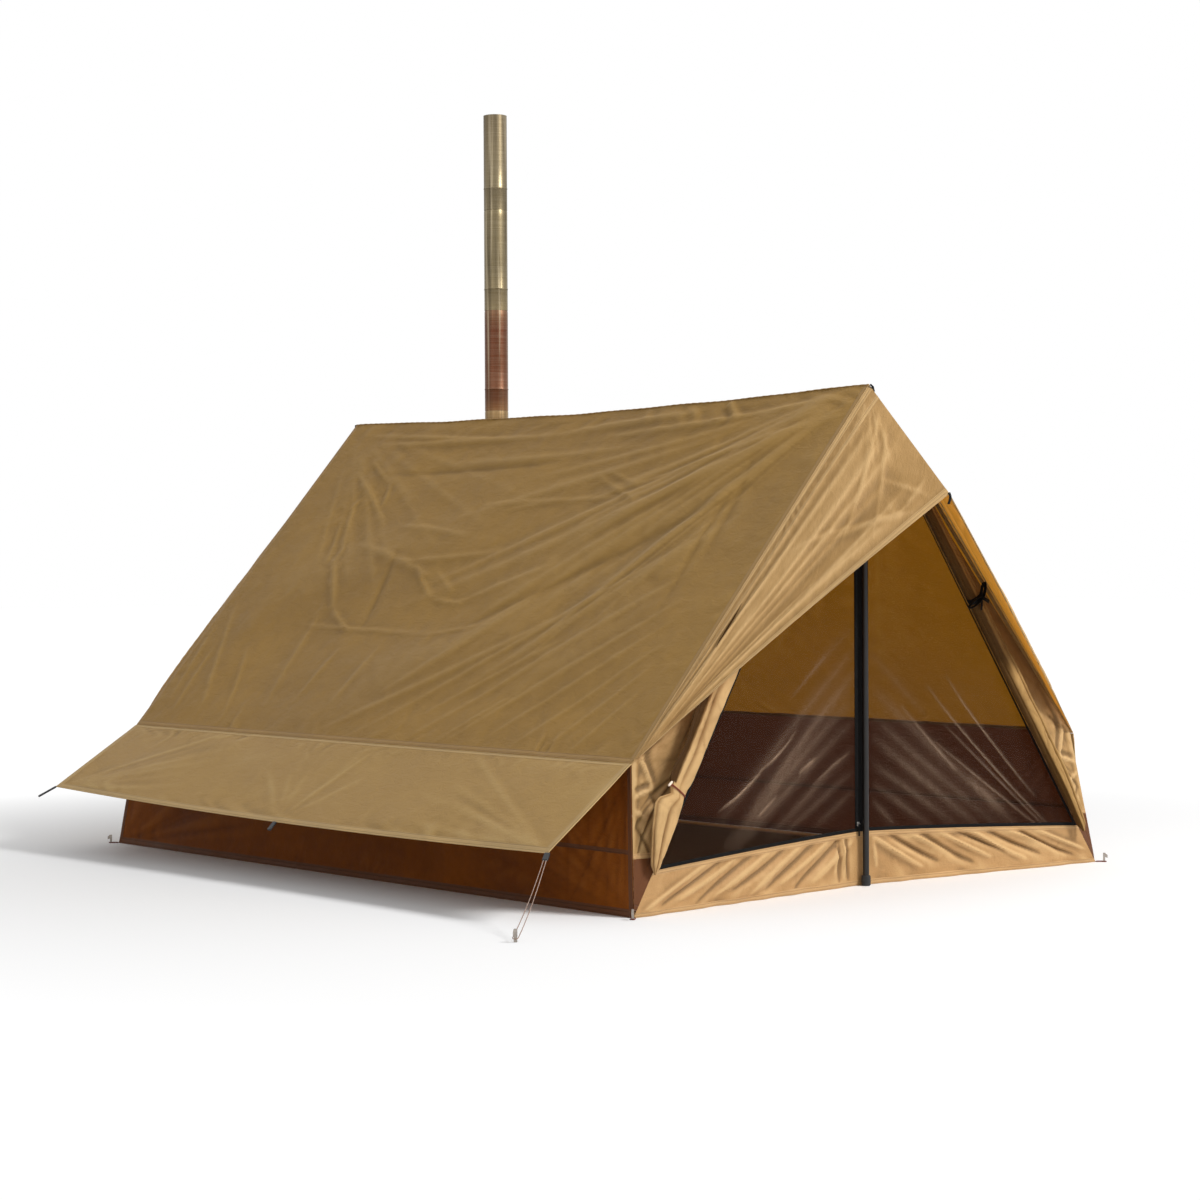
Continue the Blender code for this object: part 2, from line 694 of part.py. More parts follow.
def visor_points(across, along):
    """Visor: two slopes that meet on a line from the apex to the tip and close at the eave corners."""
    wide = (across * 2 - 1) * VISOR_END_SHARE
    arm = np.abs(wide)
    upper = stack(wide * EAVE_HALF_WIDTH, VISOR_FRONT, mix(RIDGE_HEIGHT, WALL_HEIGHT, arm))
    dip = VISOR_EDGE_DIP * 4 * arm * (1 - arm)
    free_z = mix(VISOR_TIP_HEIGHT, WALL_HEIGHT, arm) + dip
    free = stack(wide * EAVE_HALF_WIDTH, VISOR_FRONT - VISOR_REACH * (1 - arm), free_z)
    points = mix_places(upper, free, along)
    slope_length = math.hypot(EAVE_HALF_WIDTH, ROOF_DROP)
    rise = folds(arm, along, (slope_length, VISOR_REACH), VISOR_FOLD_SHARES, VISOR_FOLD)
    outward = stack(np.sign(wide) * math.sin(ROOF_PITCH), -1, math.cos(ROOF_PITCH))
    outward = outward / np.linalg.norm(outward, axis=-1, keepdims=True)
    return points + rise[..., None] * outward


def make_visors():
    """Front and back visors, sewn to the ends of the roof."""
    across, along = grid(VISOR_STATIONS, VISOR_ROWS)
    points = visor_points(across, along)
    seam = {"v0": (0, 1, 0)}
    sheet("visor_front", "visor_cloth", points, CLOTH, seam)
    sheet("visor_back", "visor_cloth", to_back(points), CLOTH, seam)


# Gables


def sill_corner(side, inward, rise):
    """Place where a line beside the door line crosses the sill's top, found by repeated steps."""
    height = SILL_HEIGHT_END
    for _ in range(SILL_CORNER_STEPS):
        height = float(sill_top(door_line(side, height, inward)[0])) + rise
    return door_line(side, height, inward)


def sill_points(across, along):
    """Sill between the two door lines, from the ground to its curved top."""
    lap = FRAME_HINGE_GAP - BUTT_GAP
    low = mix(door_line(LEFT, 0, -lap)[0], door_line(RIGHT, 0, -lap)[0], across)
    high = mix(sill_corner(LEFT, -lap, 0)[0], sill_corner(RIGHT, -lap, 0)[0], across)
    x = mix(low, high, along)
    top = sill_top(high)
    sides = (BASE_HALF_WIDTH * 2, SILL_HEIGHT_MIDDLE)
    slack = folds(across, along, sides, SILL_FOLD_SHARES, SILL_FOLD)
    near_pole = smooth_step((np.abs(x) - FOOT_RADIUS * 2) / (FOOT_RADIUS * 3))
    return stack(x, gable_y(x) + slack * near_pole, top * along)


def gusset_points(side, across, along):
    """Gusset between the door line, the corner seam and the roof, as rows of equal height."""
    heights = np.concatenate((np.linspace(GUSSET_FOOT, WALL_TOP, GUSSET_ROWS_LOW),
                              np.linspace(WALL_TOP, GABLE_HEIGHT, GUSSET_ROWS_HIGH)[1:]))
    z = np.interp(along, np.linspace(0, 1, len(heights)), heights)
    inner = door_line(side, z, -FRAME_HINGE_GAP)
    lower = corner_line(side, z) - np.array((side * CORNER_INSET, 0, 0))
    tuck = UNDER_ROOF / math.sin(ROOF_PITCH)
    roof_x = EAVE_HALF_WIDTH * (RIDGE_HEIGHT - z) / ROOF_DROP - tuck
    share = (z - WALL_TOP) / (GABLE_HEIGHT - WALL_TOP)
    roof_y = mix(ROOF_FRONT + CORNER_SETBACK, GABLE_SETBACK, np.clip(share, 0, 1))
    upper = stack(side * roof_x, roof_y, z)
    outer = np.where((z <= WALL_TOP)[..., None], lower, upper)
    points = mix_places(inner, outer, across)
    widest = EAVE_HALF_WIDTH / 4
    inward = np.abs(folds(across, along, (widest, GABLE_HEIGHT), GUSSET_FOLD_SHARES, GUSSET_FOLD))
    narrow = np.linalg.norm(outer - inner, axis=-1) / widest
    points[..., 1] += inward * np.clip(narrow, 0, 1)
    return points


def leaf_points(side, across, along, fold_shares, fold_height, hinge_gap):
    """Door leaf between its sloping hinge line and the middle zip, above the sill."""
    foot = sill_corner(side, hinge_gap, SEAM_GAP)
    head = door_line(side, GABLE_HEIGHT, hinge_gap)
    zip_x = -ZIP_OFFSET + side * SEAM_GAP / 2
    bottom_x = mix(foot[0], zip_x, across)
    bottom_z = sill_top(bottom_x) + SEAM_GAP
    x = mix(bottom_x, mix(head[0], zip_x, across), along)
    z = mix(bottom_z, GABLE_HEIGHT, along)
    inward = np.abs(folds(across, along, (BASE_HALF_WIDTH, GABLE_HEIGHT), fold_shares, fold_height))
    narrow = np.abs(mix(foot[0], head[0], along) - zip_x) / BASE_HALF_WIDTH
    return stack(x, gable_y(x) + inward * narrow, z)


def leaf_columns(width):
    """Grid shares across a leaf, with one column at the inner border of its zip tape."""
    return np.concatenate((np.linspace(0, 1 - width, LEAF_COLUMNS), (1,)))


def make_leaf(name, finish, side, fold_shares, fold_height, thickness, back, pivot):
    """Makes one door leaf, thicker along the zip where the tape is sewn on."""
    tape_share = ZIP_TAPE_WIDTH / BASE_HALF_WIDTH
    columns = leaf_columns(tape_share)
    across, along = np.meshgrid(columns, np.linspace(0, 1, LEAF_ROWS), indexing="ij")
    points = leaf_points(side, across, along, fold_shares, fold_height, LEAF_HINGE_GAP)
    thick = np.where(across >= 1 - tape_share, ZIP_TAPE, thickness)
    edges = {"u1": (1, 0, 0), "v0": (0, 0, 1), "v1": (0, 0, 1)}
    if back:
        points = to_back(points)
    sheet(name, finish, points, thick, edges, pivot=pivot)


def make_gables():
    """Sill, gussets, mesh leaves and back door leaves."""
    sill_across, sill_along = grid(SILL_STATIONS, SILL_ROWS)
    side_across, side_along = grid(GUSSET_COLUMNS, GUSSET_ROWS_LOW + GUSSET_ROWS_HIGH - 1)
    sill = sill_points(sill_across, sill_along)
    ground = {"v0": (0, 0, 1), "v1": (0, 0, 1)}
    sheet("front_sill", "sill_cloth", sill, CLOTH, ground)
    sheet("back_sill", "sill_cloth", to_back(sill), CLOTH, ground)
    for side, word in ((LEFT, "left"), (RIGHT, "right")):
        points = gusset_points(side, side_across, side_along)
        under_roof = (points[-1, :, 2] >= WALL_TOP)[:, None] * roof_normal(side)
        level = {"v0": (0, 0, 1), "v1": (0, 0, 1), "u1": under_roof}
        sheet(f"front_gusset_{word}", "door_cloth", points, CLOTH, level)
        sheet(f"back_gusset_{word}", "door_cloth", to_back(points), CLOTH, level)
        pivot = tuple(door_line(side, WALL_HEIGHT))
        make_leaf(f"mesh_door_{word}", "mesh", side, MESH_FOLD_SHARES, MESH_FOLD, MESH_CLOTH,
                  False, pivot)
        make_leaf(f"back_door_{word}", "door_cloth", side, BACK_DOOR_FOLD_SHARES, BACK_DOOR_FOLD,
                  CLOTH, True, (0, 0, 0))


# Rolled outer doors and their ties


def roll_frame(side, z, shift, standoff):
    """Place and directions of a rolled door at a height: its middle, along, sideways, forward."""
    middle = Vector(door_line(side, z))
    along = (Vector(door_line(side, z + OVERRUN)) - middle).normalized()
    sideways = Vector((side, 0, 0))
    sideways = (sideways - along * sideways.dot(along)).normalized()
    forward = sideways.cross(along) * side
    forward = forward if forward.y < 0 else -forward
    return middle + sideways * shift + forward * standoff, along, sideways, forward


def roll_ring(side, z, sizes, swell=0, lobes=0):
    """One ring of points round a rolled door, an ellipse with shallow lobes where the cloth folds."""
    half_width, half_depth, shift = sizes
    standoff = half_depth + CLOTH / 2 + ROLL_STANDOFF
    middle, _, sideways, forward = roll_frame(side, z, shift, standoff)
    ring = []
    for step in range(ROLL_SIDES):
        angle = step / ROLL_SIDES * math.tau
        wave = 1 + math.cos(ROLL_LOBES * angle + ROLL_TWIST_PER_METRE * z)
        lobe = 1 - lobes * wave * max(0, math.sin(angle)) / 2
        width = (half_width + swell) * lobe
        depth = (half_depth + swell) * lobe
        ring.append(middle + sideways * width * math.cos(angle) + forward * depth * math.sin(angle))
    return ring


def narrowed(sizes, share):
    """Half width, half depth and shift of a roll at a share of its length from the foot."""
    slim = 1 - ROLL_SLIM_SHARE * share
    return sizes[0] * slim, sizes[1] * (1 - ROLL_SLIM_SHARE * share / 2), sizes[2] * slim


def make_roll(name, side, sizes):
    """Outer door rolled or folded back along the door line, closed at both ends."""
    bm = bmesh.new()
    rings = []
    for step in range(ROLL_STEPS):
        share = step / (ROLL_STEPS - 1)
        z = mix(ROLL_FOOT, ROLL_TOP, share)
        ring = roll_ring(side, z, narrowed(sizes, share), 0, ROLL_LOBE_SHARE)
        rings.append([bm.verts.new(p) for p in ring])
    for lower, upper in zip(rings, rings[1:]):
        for k in range(ROLL_SIDES):
            n = (k + 1) % ROLL_SIDES
            bm.faces.new((lower[k], lower[n], upper[n], upper[k]))
    bm.faces.new(list(reversed(rings[0])))
    bm.faces.new(rings[-1])
    return place(bm, name, "door_cloth")


def tie_band(name, finish, side, sizes, height, width):
    """Flat band round a rolled door, a hair wider than the roll."""
    sizes = narrowed(sizes, (height - ROLL_FOOT) / (ROLL_TOP - ROLL_FOOT))
    lower = roll_ring(side, height - width / 2, sizes, TIE_SWELL)
    upper = roll_ring(side, height + width / 2, sizes, TIE_SWELL)
    points = np.array([[tuple(a), tuple(b)] for a, b in zip(lower, upper)])
    return sheet(name, finish, points, WEBBING, closed=True)


def tie_front(side, sizes, height, half_depth):
    """Middle and directions of a toggle or bow that overlaps the front of its band a little."""
    share = (height - ROLL_FOOT) / (ROLL_TOP - ROLL_FOOT)
    _, depth, shift = narrowed(sizes, share)
    standoff = depth * 2 + CLOTH / 2 + ROLL_STANDOFF + TIE_SWELL + half_depth
    middle, _, sideways, forward = roll_frame(side, height, shift, standoff)
    return middle, sideways, forward


def make_doors_tied_back():
    """Outer doors tied back on both sides of the front opening."""
    folded = (FOLDED_HALF_WIDTH, FOLDED_HALF_DEPTH, FOLDED_SHIFT)
    rolled = (ROLLED_HALF_WIDTH, ROLLED_HALF_DEPTH, ROLLED_SHIFT)
    make_roll("door_roll_left", LEFT, folded)
    make_roll("door_roll_right", RIGHT, rolled)
    left_tie = tie_band("roll_tie_left", "red_cord", LEFT, folded, TIE_HEIGHT_LEFT, TIE_WIDTH_LEFT)
    middle, sideways, _ = tie_front(LEFT, folded, TIE_HEIGHT_LEFT, TOGGLE_RADIUS)
    reach = sideways * TOGGLE_LENGTH / 2
    toggle = rod("tie_toggle_shape", "red_cord", middle - reach, middle + reach, TOGGLE_RADIUS)
    combine(left_tie, toggle, "UNION")
    right_tie = tie_band("roll_tie_right", "black_webbing", RIGHT, rolled, TIE_HEIGHT_RIGHT,
                         TIE_WIDTH_RIGHT)
    middle, sideways, forward = tie_front(RIGHT, rolled, TIE_HEIGHT_RIGHT, WEBBING)
    bow = block("tie_bow_shape", "black_webbing", (TIE_TAIL, WEBBING * 2, TIE_TAIL_WIDTH), WEBBING / 2)
    bow.matrix_world = frame_matrix(middle, sideways, forward)
    combine(right_tie, bow, "UNION")


def frame_matrix(place_at, x_direction, y_direction):
    """Matrix that puts a shape's X and Y along two directions at a place."""
    x_direction = Vector(x_direction).normalized()
    y_direction = Vector(y_direction).normalized()
    z_direction = x_direction.cross(y_direction)
    turn = Matrix((x_direction, y_direction, z_direction)).transposed().to_4x4()
    return Matrix.Translation(place_at) @ turn


# Turned, rod and block shapes


def turned(name, finish, profile, sides, pivot=(0, 0, 0)):
    """Turns a closed profile of radius and height round the upright axis through the pivot."""
    bm = bmesh.new()
    rings = []
    for radius, height in profile:
        if radius == 0:
            rings.append([bm.verts.new((0, 0, height))] * sides)
            continue
        rings.append([bm.verts.new((radius * math.cos(k / sides * math.tau),
                                    radius * math.sin(k / sides * math.tau), height))
                      for k in range(sides)])
    solid = profile[0][0] == 0 and profile[-1][0] == 0
    pairs = list(zip(rings, rings[1:])) + ([] if solid else [(rings[-1], rings[0])])
    for lower, upper in pairs:
        for k in range(sides):
            n = (k + 1) % sides
            corners = [lower[k], lower[n], upper[n], upper[k]]
            unique = list(dict.fromkeys(corners))
            bm.faces.new(unique)
    bmesh.ops.translate(bm, verts=bm.verts, vec=Vector(pivot))
    return place(bm, name, finish, pivot)


def rod(name, finish, start, end, radius, sides=ROD_SIDES, pivot=None):
    """Straight round rod between two places."""
    start = Vector(start)
    end = Vector(end)
    bm = bmesh.new()
    length = (end - start).length
    turn = (end - start).to_track_quat("Z", "Y").to_matrix().to_4x4()
    matrix = Matrix.Translation((start + end) / 2) @ turn
    bmesh.ops.create_cone(bm, cap_ends=True, segments=sides, radius1=radius, radius2=radius,
                          depth=length, matrix=matrix)
    return place(bm, name, finish, pivot or (0, 0, 0))


def block(name, finish, size, edge=0, middle=(0, 0, 0), pivot=(0, 0, 0)):
    """Box of a size with its edges rounded by one bevel."""
    bm = bmesh.new()
    matrix = Matrix.Translation(middle) @ Matrix.Diagonal((*size, 1))
    bmesh.ops.create_cube(bm, size=1, matrix=matrix)
    if edge:
        bmesh.ops.bevel(bm, geom=bm.edges[:], offset=edge, segments=2, affect="EDGES", profile=0.5)
    return place(bm, name, finish, pivot)


def between(name, finish, low, high, edge=0, pivot=(0, 0, 0)):
    """Box between its lowest and highest corners."""
    size = [b - a for a, b in zip(low, high)]
    middle = [(a + b) / 2 for a, b in zip(low, high)]
    return block(name, finish, size, edge, middle, pivot)


def wire(name, finish, points, radius, resolution=2, pivot=(0, 0, 0), cyclic=False):
    """Bent round wire or cord through places, as a curve with a bevel and filled caps."""
    curve = bpy.data.curves.new(name, "CURVE")
    curve.dimensions = "3D"
    curve.bevel_depth = radius
    curve.bevel_resolution = resolution
    curve.use_fill_caps = not cyclic
    spline = curve.splines.new("POLY")
    spline.points.add(len(points) - 1)
    for point, where in zip(spline.points, points):
        point.co = (*(Vector(where) - Vector(pivot)), 1)
    spline.use_cyclic_u = cyclic
    curve.materials.append(finish_material(finish))
    thing = bpy.data.objects.new(name, curve)
    thing.location = pivot
    bpy.context.collection.objects.link(thing)
    return thing


def swept(name, finish, points, radius, sides=ROD_SIDES, pivot=(0, 0, 0), closed=False):
    """Round rod bent along places that lie in one plane, as a mesh with mitred corners."""
    points = [Vector(p) for p in points]
    count = len(points)
    middle = sum(points, Vector()) / count
    flat = (points[0] - middle).cross(points[1] - middle).normalized()
    bm = bmesh.new()
    rings = []
    for k, here in enumerate(points):
        before = points[k - 1] if closed or k else here
        after = points[(k + 1) % count] if closed or k < count - 1 else here
        incoming = (here - before).normalized() if before != here else (after - here).normalized()
        outgoing = (after - here).normalized() if after != here else incoming
        forward = (incoming + outgoing).normalized()
        side = forward.cross(flat).normalized() / max(forward.dot(incoming), 0.5)
        turns = [step / sides * math.tau for step in range(sides)]
        rings.append([bm.verts.new(here + (side * math.cos(turn) + flat * math.sin(turn)) * radius)
                      for turn in turns])
    pairs = list(zip(rings, rings[1:])) + ([(rings[-1], rings[0])] if closed else [])
    for lower, upper in pairs:
        for k in range(sides):
            n = (k + 1) % sides
            bm.faces.new((lower[k], lower[n], upper[n], upper[k]))
    if not closed:
        bm.faces.new(rings[0])
        bm.faces.new(rings[-1])
    return place(bm, name, finish, pivot)


# Poles


def make_pole(word, y):
    """One two-piece pole with a rubber foot, its pin just under the ridge webbing."""
    foot = (0, y, 0)
    inner = POLE_RADIUS + SEAM_GAP
    profile = ((0, 0), (FOOT_RADIUS - FOOT_EDGE, 0), (FOOT_RADIUS, FOOT_EDGE),
               (FOOT_RADIUS, FOOT_HEIGHT - FOOT_EDGE), (FOOT_RADIUS - FOOT_EDGE, FOOT_HEIGHT),
               (inner, FOOT_HEIGHT), (inner, FOOT_FLOOR), (0, FOOT_FLOOR))
    turned(f"{word}_pole_foot", "rubber", profile, POLE_SIDES, foot)
    base = FOOT_FLOOR + SEAM_GAP
    joint = POLE_JOINT_HEIGHT
    deep = joint - POLE_SPIGOT_LENGTH - SEAM_GAP
    profile = ((0, base), (POLE_RADIUS - POLE_EDGE, base), (POLE_RADIUS, base + POLE_EDGE),
               (POLE_RADIUS, joint), (POLE_BORE, joint), (POLE_BORE, deep), (0, deep))
    turned(f"{word}_pole_lower", "pole_black", profile, POLE_SIDES, foot)
    webbing_under = (CLOTH / 2 + SEAM_GAP + WEBBING) / math.cos(ROOF_PITCH)
    tip = RIDGE_HEIGHT - webbing_under - PIN_RADIUS * math.tan(ROOF_PITCH) - SEAM_GAP
    shoulder = tip - PIN_LENGTH
    start = joint + SEAM_GAP
    profile = ((0, start - POLE_SPIGOT_LENGTH), (POLE_SPIGOT_RADIUS, start - POLE_SPIGOT_LENGTH),
               (POLE_SPIGOT_RADIUS, start), (POLE_RADIUS, start), (POLE_RADIUS, shoulder - POLE_RADIUS),
               (PIN_RADIUS, shoulder), (PIN_RADIUS, tip), (0, tip))
    turned(f"{word}_pole_upper", "pole_black", profile, POLE_SIDES, foot)


# Ground loops, pegs and the awning's line locks


def peg_shape(name, where, outward, width, height):
    """Peg head that stands out of the ground, with a hook that points away from the tent."""
    outward = Vector(outward).normalized()
    across = UP.cross(outward)
    half = width / 2
    lip = half + PEG_LIP
    outline = ((-half, 0), (half, 0), (half, height - PEG_HOOK * 2), (lip, height - PEG_HOOK_TIP),
               (lip, height - PEG_HOOK), (half, height), (-half, height))
    bm = bmesh.new()
    rings = []
    for shift in (-half, half):
        middle = Vector(where) + across * shift
        rings.append([bm.verts.new(middle + outward * a + UP * b) for a, b in outline])
    bm.faces.new(rings[0])
    bm.faces.new(list(reversed(rings[1])))
    for k in range(len(outline)):
        n = (k + 1) % len(outline)
        bm.faces.new((rings[0][n], rings[0][k], rings[1][k], rings[1][n]))
    return place(bm, name, "peg_metal")


def make_ground_loops():
    """Cord loop at each ground corner, held by a peg."""
    reach = LOOP_CORD / 2 + SEAM_GAP
    for x_side, x_word in ((LEFT, "left"), (RIGHT, "right")):
        for back, word in ((False, "front"), (True, "back")):
            corner = Vector((x_side * BASE_HALF_WIDTH, BASE_FRONT, 0))
            if back:
                corner.y = POLE_SPACING - corner.y
            outward = Vector((x_side, 1 if back else -1, 0)).normalized()
            across = UP.cross(outward)
            start = LOOP_STANDOFF + reach
            straight = LOOP_LENGTH - LOOP_WIDTH
            bend = LOOP_WIDTH / 2
            points = []
            for turn in range(LOOP_POINTS):
                angle = turn / LOOP_POINTS * math.tau
                far = start + bend + (straight if math.cos(angle) > 0 else 0)
                offset = outward * (far + bend * math.cos(angle)) + across * bend * math.sin(angle)
                points.append(corner + offset + UP * reach)
            wire(f"ground_loop_{word}_{x_word}", "red_cord", points, LOOP_CORD / 2, 1, cyclic=True)
            room = bend * math.cos(math.pi / LOOP_POINTS) - LOOP_CORD / 2
            half = PEG_WIDTH / 2
            hold = start + bend + straight + math.sqrt(room * room - half * half) - half - SEAM_GAP
            peg_shape(f"corner_peg_{word}_{x_word}", corner + outward * hold, outward, PEG_WIDTH,
                      PEG_HEIGHT)


def awning_edge(share):
    """Place on the left awning's free edge at a share of its length from the front."""
    across = np.array([[share]])
    return Vector(awning_points(LEFT, across, np.ones((1, 1)), False)[0, 0])


def lock_shape(name, where, outward, length):
    """Line lock or strap end: a flat rounded bar from the awning's edge along its line."""
    outward = Vector(outward).normalized()
    across = outward.cross(UP).normalized()
    middle = Vector(where) + outward * (length / 2 + LOCK_GAP)
    lock = block(name, "black_plastic", (length, LOCK_WIDTH, LOCK_THICKNESS), LOCK_THICKNESS / 4)
    lock.matrix_world = frame_matrix(middle, outward, across)
    return middle + outward * length / 2


def make_awning_lines():
    """Line locks on the left awning, and the front one's guyline down to its peg."""
    corner = awning_edge(0)
    peg = Vector((corner.x - GUY_REACH_SIDE, corner.y - GUY_REACH_END, 0))
    pull = peg + UP * GUY_PEG_HEIGHT / 2 - corner
    end = lock_shape("line_lock_front", corner, pull, LOCK_LENGTH)
    middle = awning_edge(0.5)
    lock_shape("line_lock_middle", middle, (-1, 0, -1), LOCK_LENGTH)
    back = awning_edge(1)
    lock_shape("line_lock_back", back, (pull.x, -pull.y, pull.z), STRAP_LENGTH)
    direction = pull.normalized()
    start = end + direction * SEAM_GAP * 2
    outward = Vector((direction.x, direction.y, 0)).normalized()
    side = UP.cross(outward)
    bend = GUY_PEG_WIDTH / math.sqrt(2) + GUY_CORD / 2 + SEAM_GAP * 3
    hold = peg + UP * (GUY_PEG_HEIGHT / 3)
    near = LOCK_WIDTH / 4
    runs = []
    for run_side in (-1, 1):
        shares = [step / GUY_RUN_POINTS for step in range(GUY_RUN_POINTS)]
        runs.append([start.lerp(hold, share) + side * run_side * mix(near, bend, share)
                     - UP * GUY_SAG * 4 * share * (1 - share) for share in shares])
    arrival = (hold - start + UP * GUY_SAG * 4).normalized()
    angles = [(step / (GUY_TURN_POINTS - 1) - 0.5) * math.pi for step in range(GUY_TURN_POINTS)]
    turn = [hold + (arrival * math.cos(angle) + side * math.sin(angle)) * bend for angle in angles]
    wire("awning_guyline", "grey_cord", [*runs[0], *turn, *reversed(runs[1])], GUY_CORD / 2)
    peg_shape("guyline_peg", peg, outward, GUY_PEG_WIDTH, GUY_PEG_HEIGHT)


# Zip sliders


def make_slider(word, x, y, z, front):
    """Zip slider with a bridge and a hanging pull. The front points along -Y or +Y."""
    forward = -1 if front else 1
    near = y + forward * (ZIP_TAPE / 2 + SLIDER_GAP)
    far = near + forward * SLIDER_DEPTH
    half = SLIDER_WIDTH / 2
    low = (x - half, min(near, far), z)
    high = (x + half, max(near, far), z + SLIDER_LENGTH)
    slider = between(f"{word}_zip_slider", "zip_metal", low, high, SLIDER_EDGE)
    pull_y = far + forward * (PULL_GAP + PULL_DEPTH / 2)
    hinge_z = z + SLIDER_LENGTH / 2
    pin = SLIDER_BRIDGE / 2
    for side in (-1, 1):
        ear_x = x + side * (PULL_WIDTH / 2 + PULL_GAP + pin / 2)
        ear = between(f"{word}_slider_ear_{side}", "zip_metal",
                      (ear_x - pin / 2, min(far - forward * pin, pull_y + forward * pin), hinge_z - pin),
                      (ear_x + pin / 2, max(far - forward * pin, pull_y + forward * pin), hinge_z + pin))
        combine(slider, ear, "UNION")
    pivot = (x, pull_y, hinge_z)
    thick = PULL_DEPTH / 2
    between(f"{word}_zip_pull", "black_webbing",
            (x - PULL_WIDTH / 2, pull_y - thick, hinge_z - PULL_LENGTH),
            (x + PULL_WIDTH / 2, pull_y + thick, hinge_z + thick), PULL_DEPTH / 4, pivot)
    return pivot


# Stove and flue


def make_stove():
    """Sheet-steel stove with an open firebox, a hinged door, a sliding vent and folding legs."""
    half = STOVE_WIDTH / 2
    low = (STOVE_SIDE - half, STOVE_FRONT, STOVE_FOOT_CLEARANCE)
    high = (STOVE_SIDE + half, STOVE_BACK, STOVE_TOP)
    body = between("stove_body", "stove_steel", low, high, STOVE_EDGE)
    inner = between("firebox_shape", "stove_steel", [a + STOVE_WALL for a in low],
                    [b - STOVE_WALL for b in high], STOVE_EDGE / 4)
    collar_inner = FLUE_RADIUS - FLUE_WALL - FLUE_SLIP * 2 - FLUE_WALL
    collar_outer = FLUE_RADIUS - FLUE_WALL - FLUE_SLIP
    where = (STOVE_SIDE, STOVE_FLUE_DISTANCE, 0)
    root = STOVE_TOP - STOVE_WALL / 2
    rim = STOVE_TOP + COLLAR_HEIGHT
    profile = ((collar_inner - STOVE_WALL, root), (collar_outer, root), (collar_outer, rim),
               (collar_inner, rim), (collar_inner, STOVE_TOP))
    collar = turned("collar_shape", "stove_steel", profile, FLUE_SIDES, where)
    below = STOVE_TOP - STOVE_WALL * 3
    above = rim + OVERRUN
    profile = ((0, below), (collar_inner, below), (collar_inner, above), (0, above))
    throat = turned("throat_shape", "stove_steel", profile, FLUE_SIDES, where)
    door_low = STOVE_FOOT_CLEARANCE + DOOR_RISE
    half = DOOR_WIDTH / 2 - DOOR_LAP
    mouth = between("mouth_shape", "stove_steel",
                    (STOVE_SIDE - half, STOVE_FRONT - OVERRUN, door_low + DOOR_LAP),
                    (STOVE_SIDE + half, STOVE_FRONT + OVERRUN, door_low + DOOR_HEIGHT - DOOR_LAP))
    combine(body, inner, "DIFFERENCE")
    combine(body, mouth, "DIFFERENCE")
    combine(body, collar, "UNION")
    combine(body, throat, "DIFFERENCE")
    make_stove_door(door_low)
    make_stove_legs()


def make_stove_door(door_low):
    """Door with its knuckles, the latch handle on it and the sliding vent plate below."""
    half = DOOR_WIDTH / 2
    back = STOVE_FRONT - SEAM_GAP
    front = back - DOOR_THICKNESS
    hinge = Vector((STOVE_SIDE - half - KNUCKLE_RADIUS, back - KNUCKLE_RADIUS, door_low))
    door = between("stove_door", "stove_steel", (STOVE_SIDE - half, front, door_low),
                   (STOVE_SIDE + half, back, door_low + DOOR_HEIGHT), DOOR_THICKNESS / 4, hinge)
    for share in KNUCKLE_SHARES:
        middle = hinge + UP * DOOR_HEIGHT * share
        reach = UP * KNUCKLE_LENGTH / 2
        knuckle = rod(f"knuckle_shape_{share}", "stove_steel", middle - reach, middle + reach,
                      KNUCKLE_RADIUS)
        edge = Vector((0, KNUCKLE_RADIUS / 2, KNUCKLE_LENGTH / 3))
        web = between(f"knuckle_web_{share}", "stove_steel", middle - edge,
                      middle + edge + Vector((KNUCKLE_RADIUS * 2, 0, 0)))
        combine(door, knuckle, "UNION")
        combine(door, web, "UNION")
    vent_middle = Vector((STOVE_SIDE, front - SEAM_GAP, door_low + VENT_RISE))
    size = Vector((VENT_WIDTH, 0, VENT_HEIGHT)) / 2
    vent = between("stove_vent", "stove_steel", vent_middle - size - Vector((0, VENT_THICKNESS, 0)),
                   vent_middle + size, VENT_THICKNESS / 4, vent_middle)
    for k in (-1, 0, 1):
        middle = vent_middle + Vector((k * VENT_PITCH, 0, 0))
        reach = Vector((0, OVERRUN, 0))
        for thing, word in ((door, "hole"), (vent, "gap")):
            hole = rod(f"vent_{word}_shape_{k}", "stove_steel", middle - reach, middle + reach,
                       VENT_HOLE_RADIUS)
            combine(thing, hole, "DIFFERENCE")
    axis = Vector((STOVE_SIDE + half - LATCH_INSET, front - SEAM_GAP, door_low + LATCH_RISE))
    hub_end = axis - Vector((0, LATCH_HUB_LENGTH, 0))
    latch = rod("stove_latch", "zip_metal", axis, hub_end, LATCH_HUB_RADIUS, LATCH_SIDES, axis)
    arm_start = axis.lerp(hub_end, LATCH_ARM_SHARE)
    arm_end = arm_start - UP * LATCH_LENGTH
    arm = rod("latch_arm_shape", "zip_metal", arm_start, arm_end, LATCH_RADIUS)
    grip = rod("latch_grip_shape", "zip_metal", arm_end, arm_end + UP * LATCH_GRIP_LENGTH,
               LATCH_GRIP_RADIUS, LATCH_SIDES)
    combine(latch, arm, "UNION")
    combine(latch, grip, "UNION")


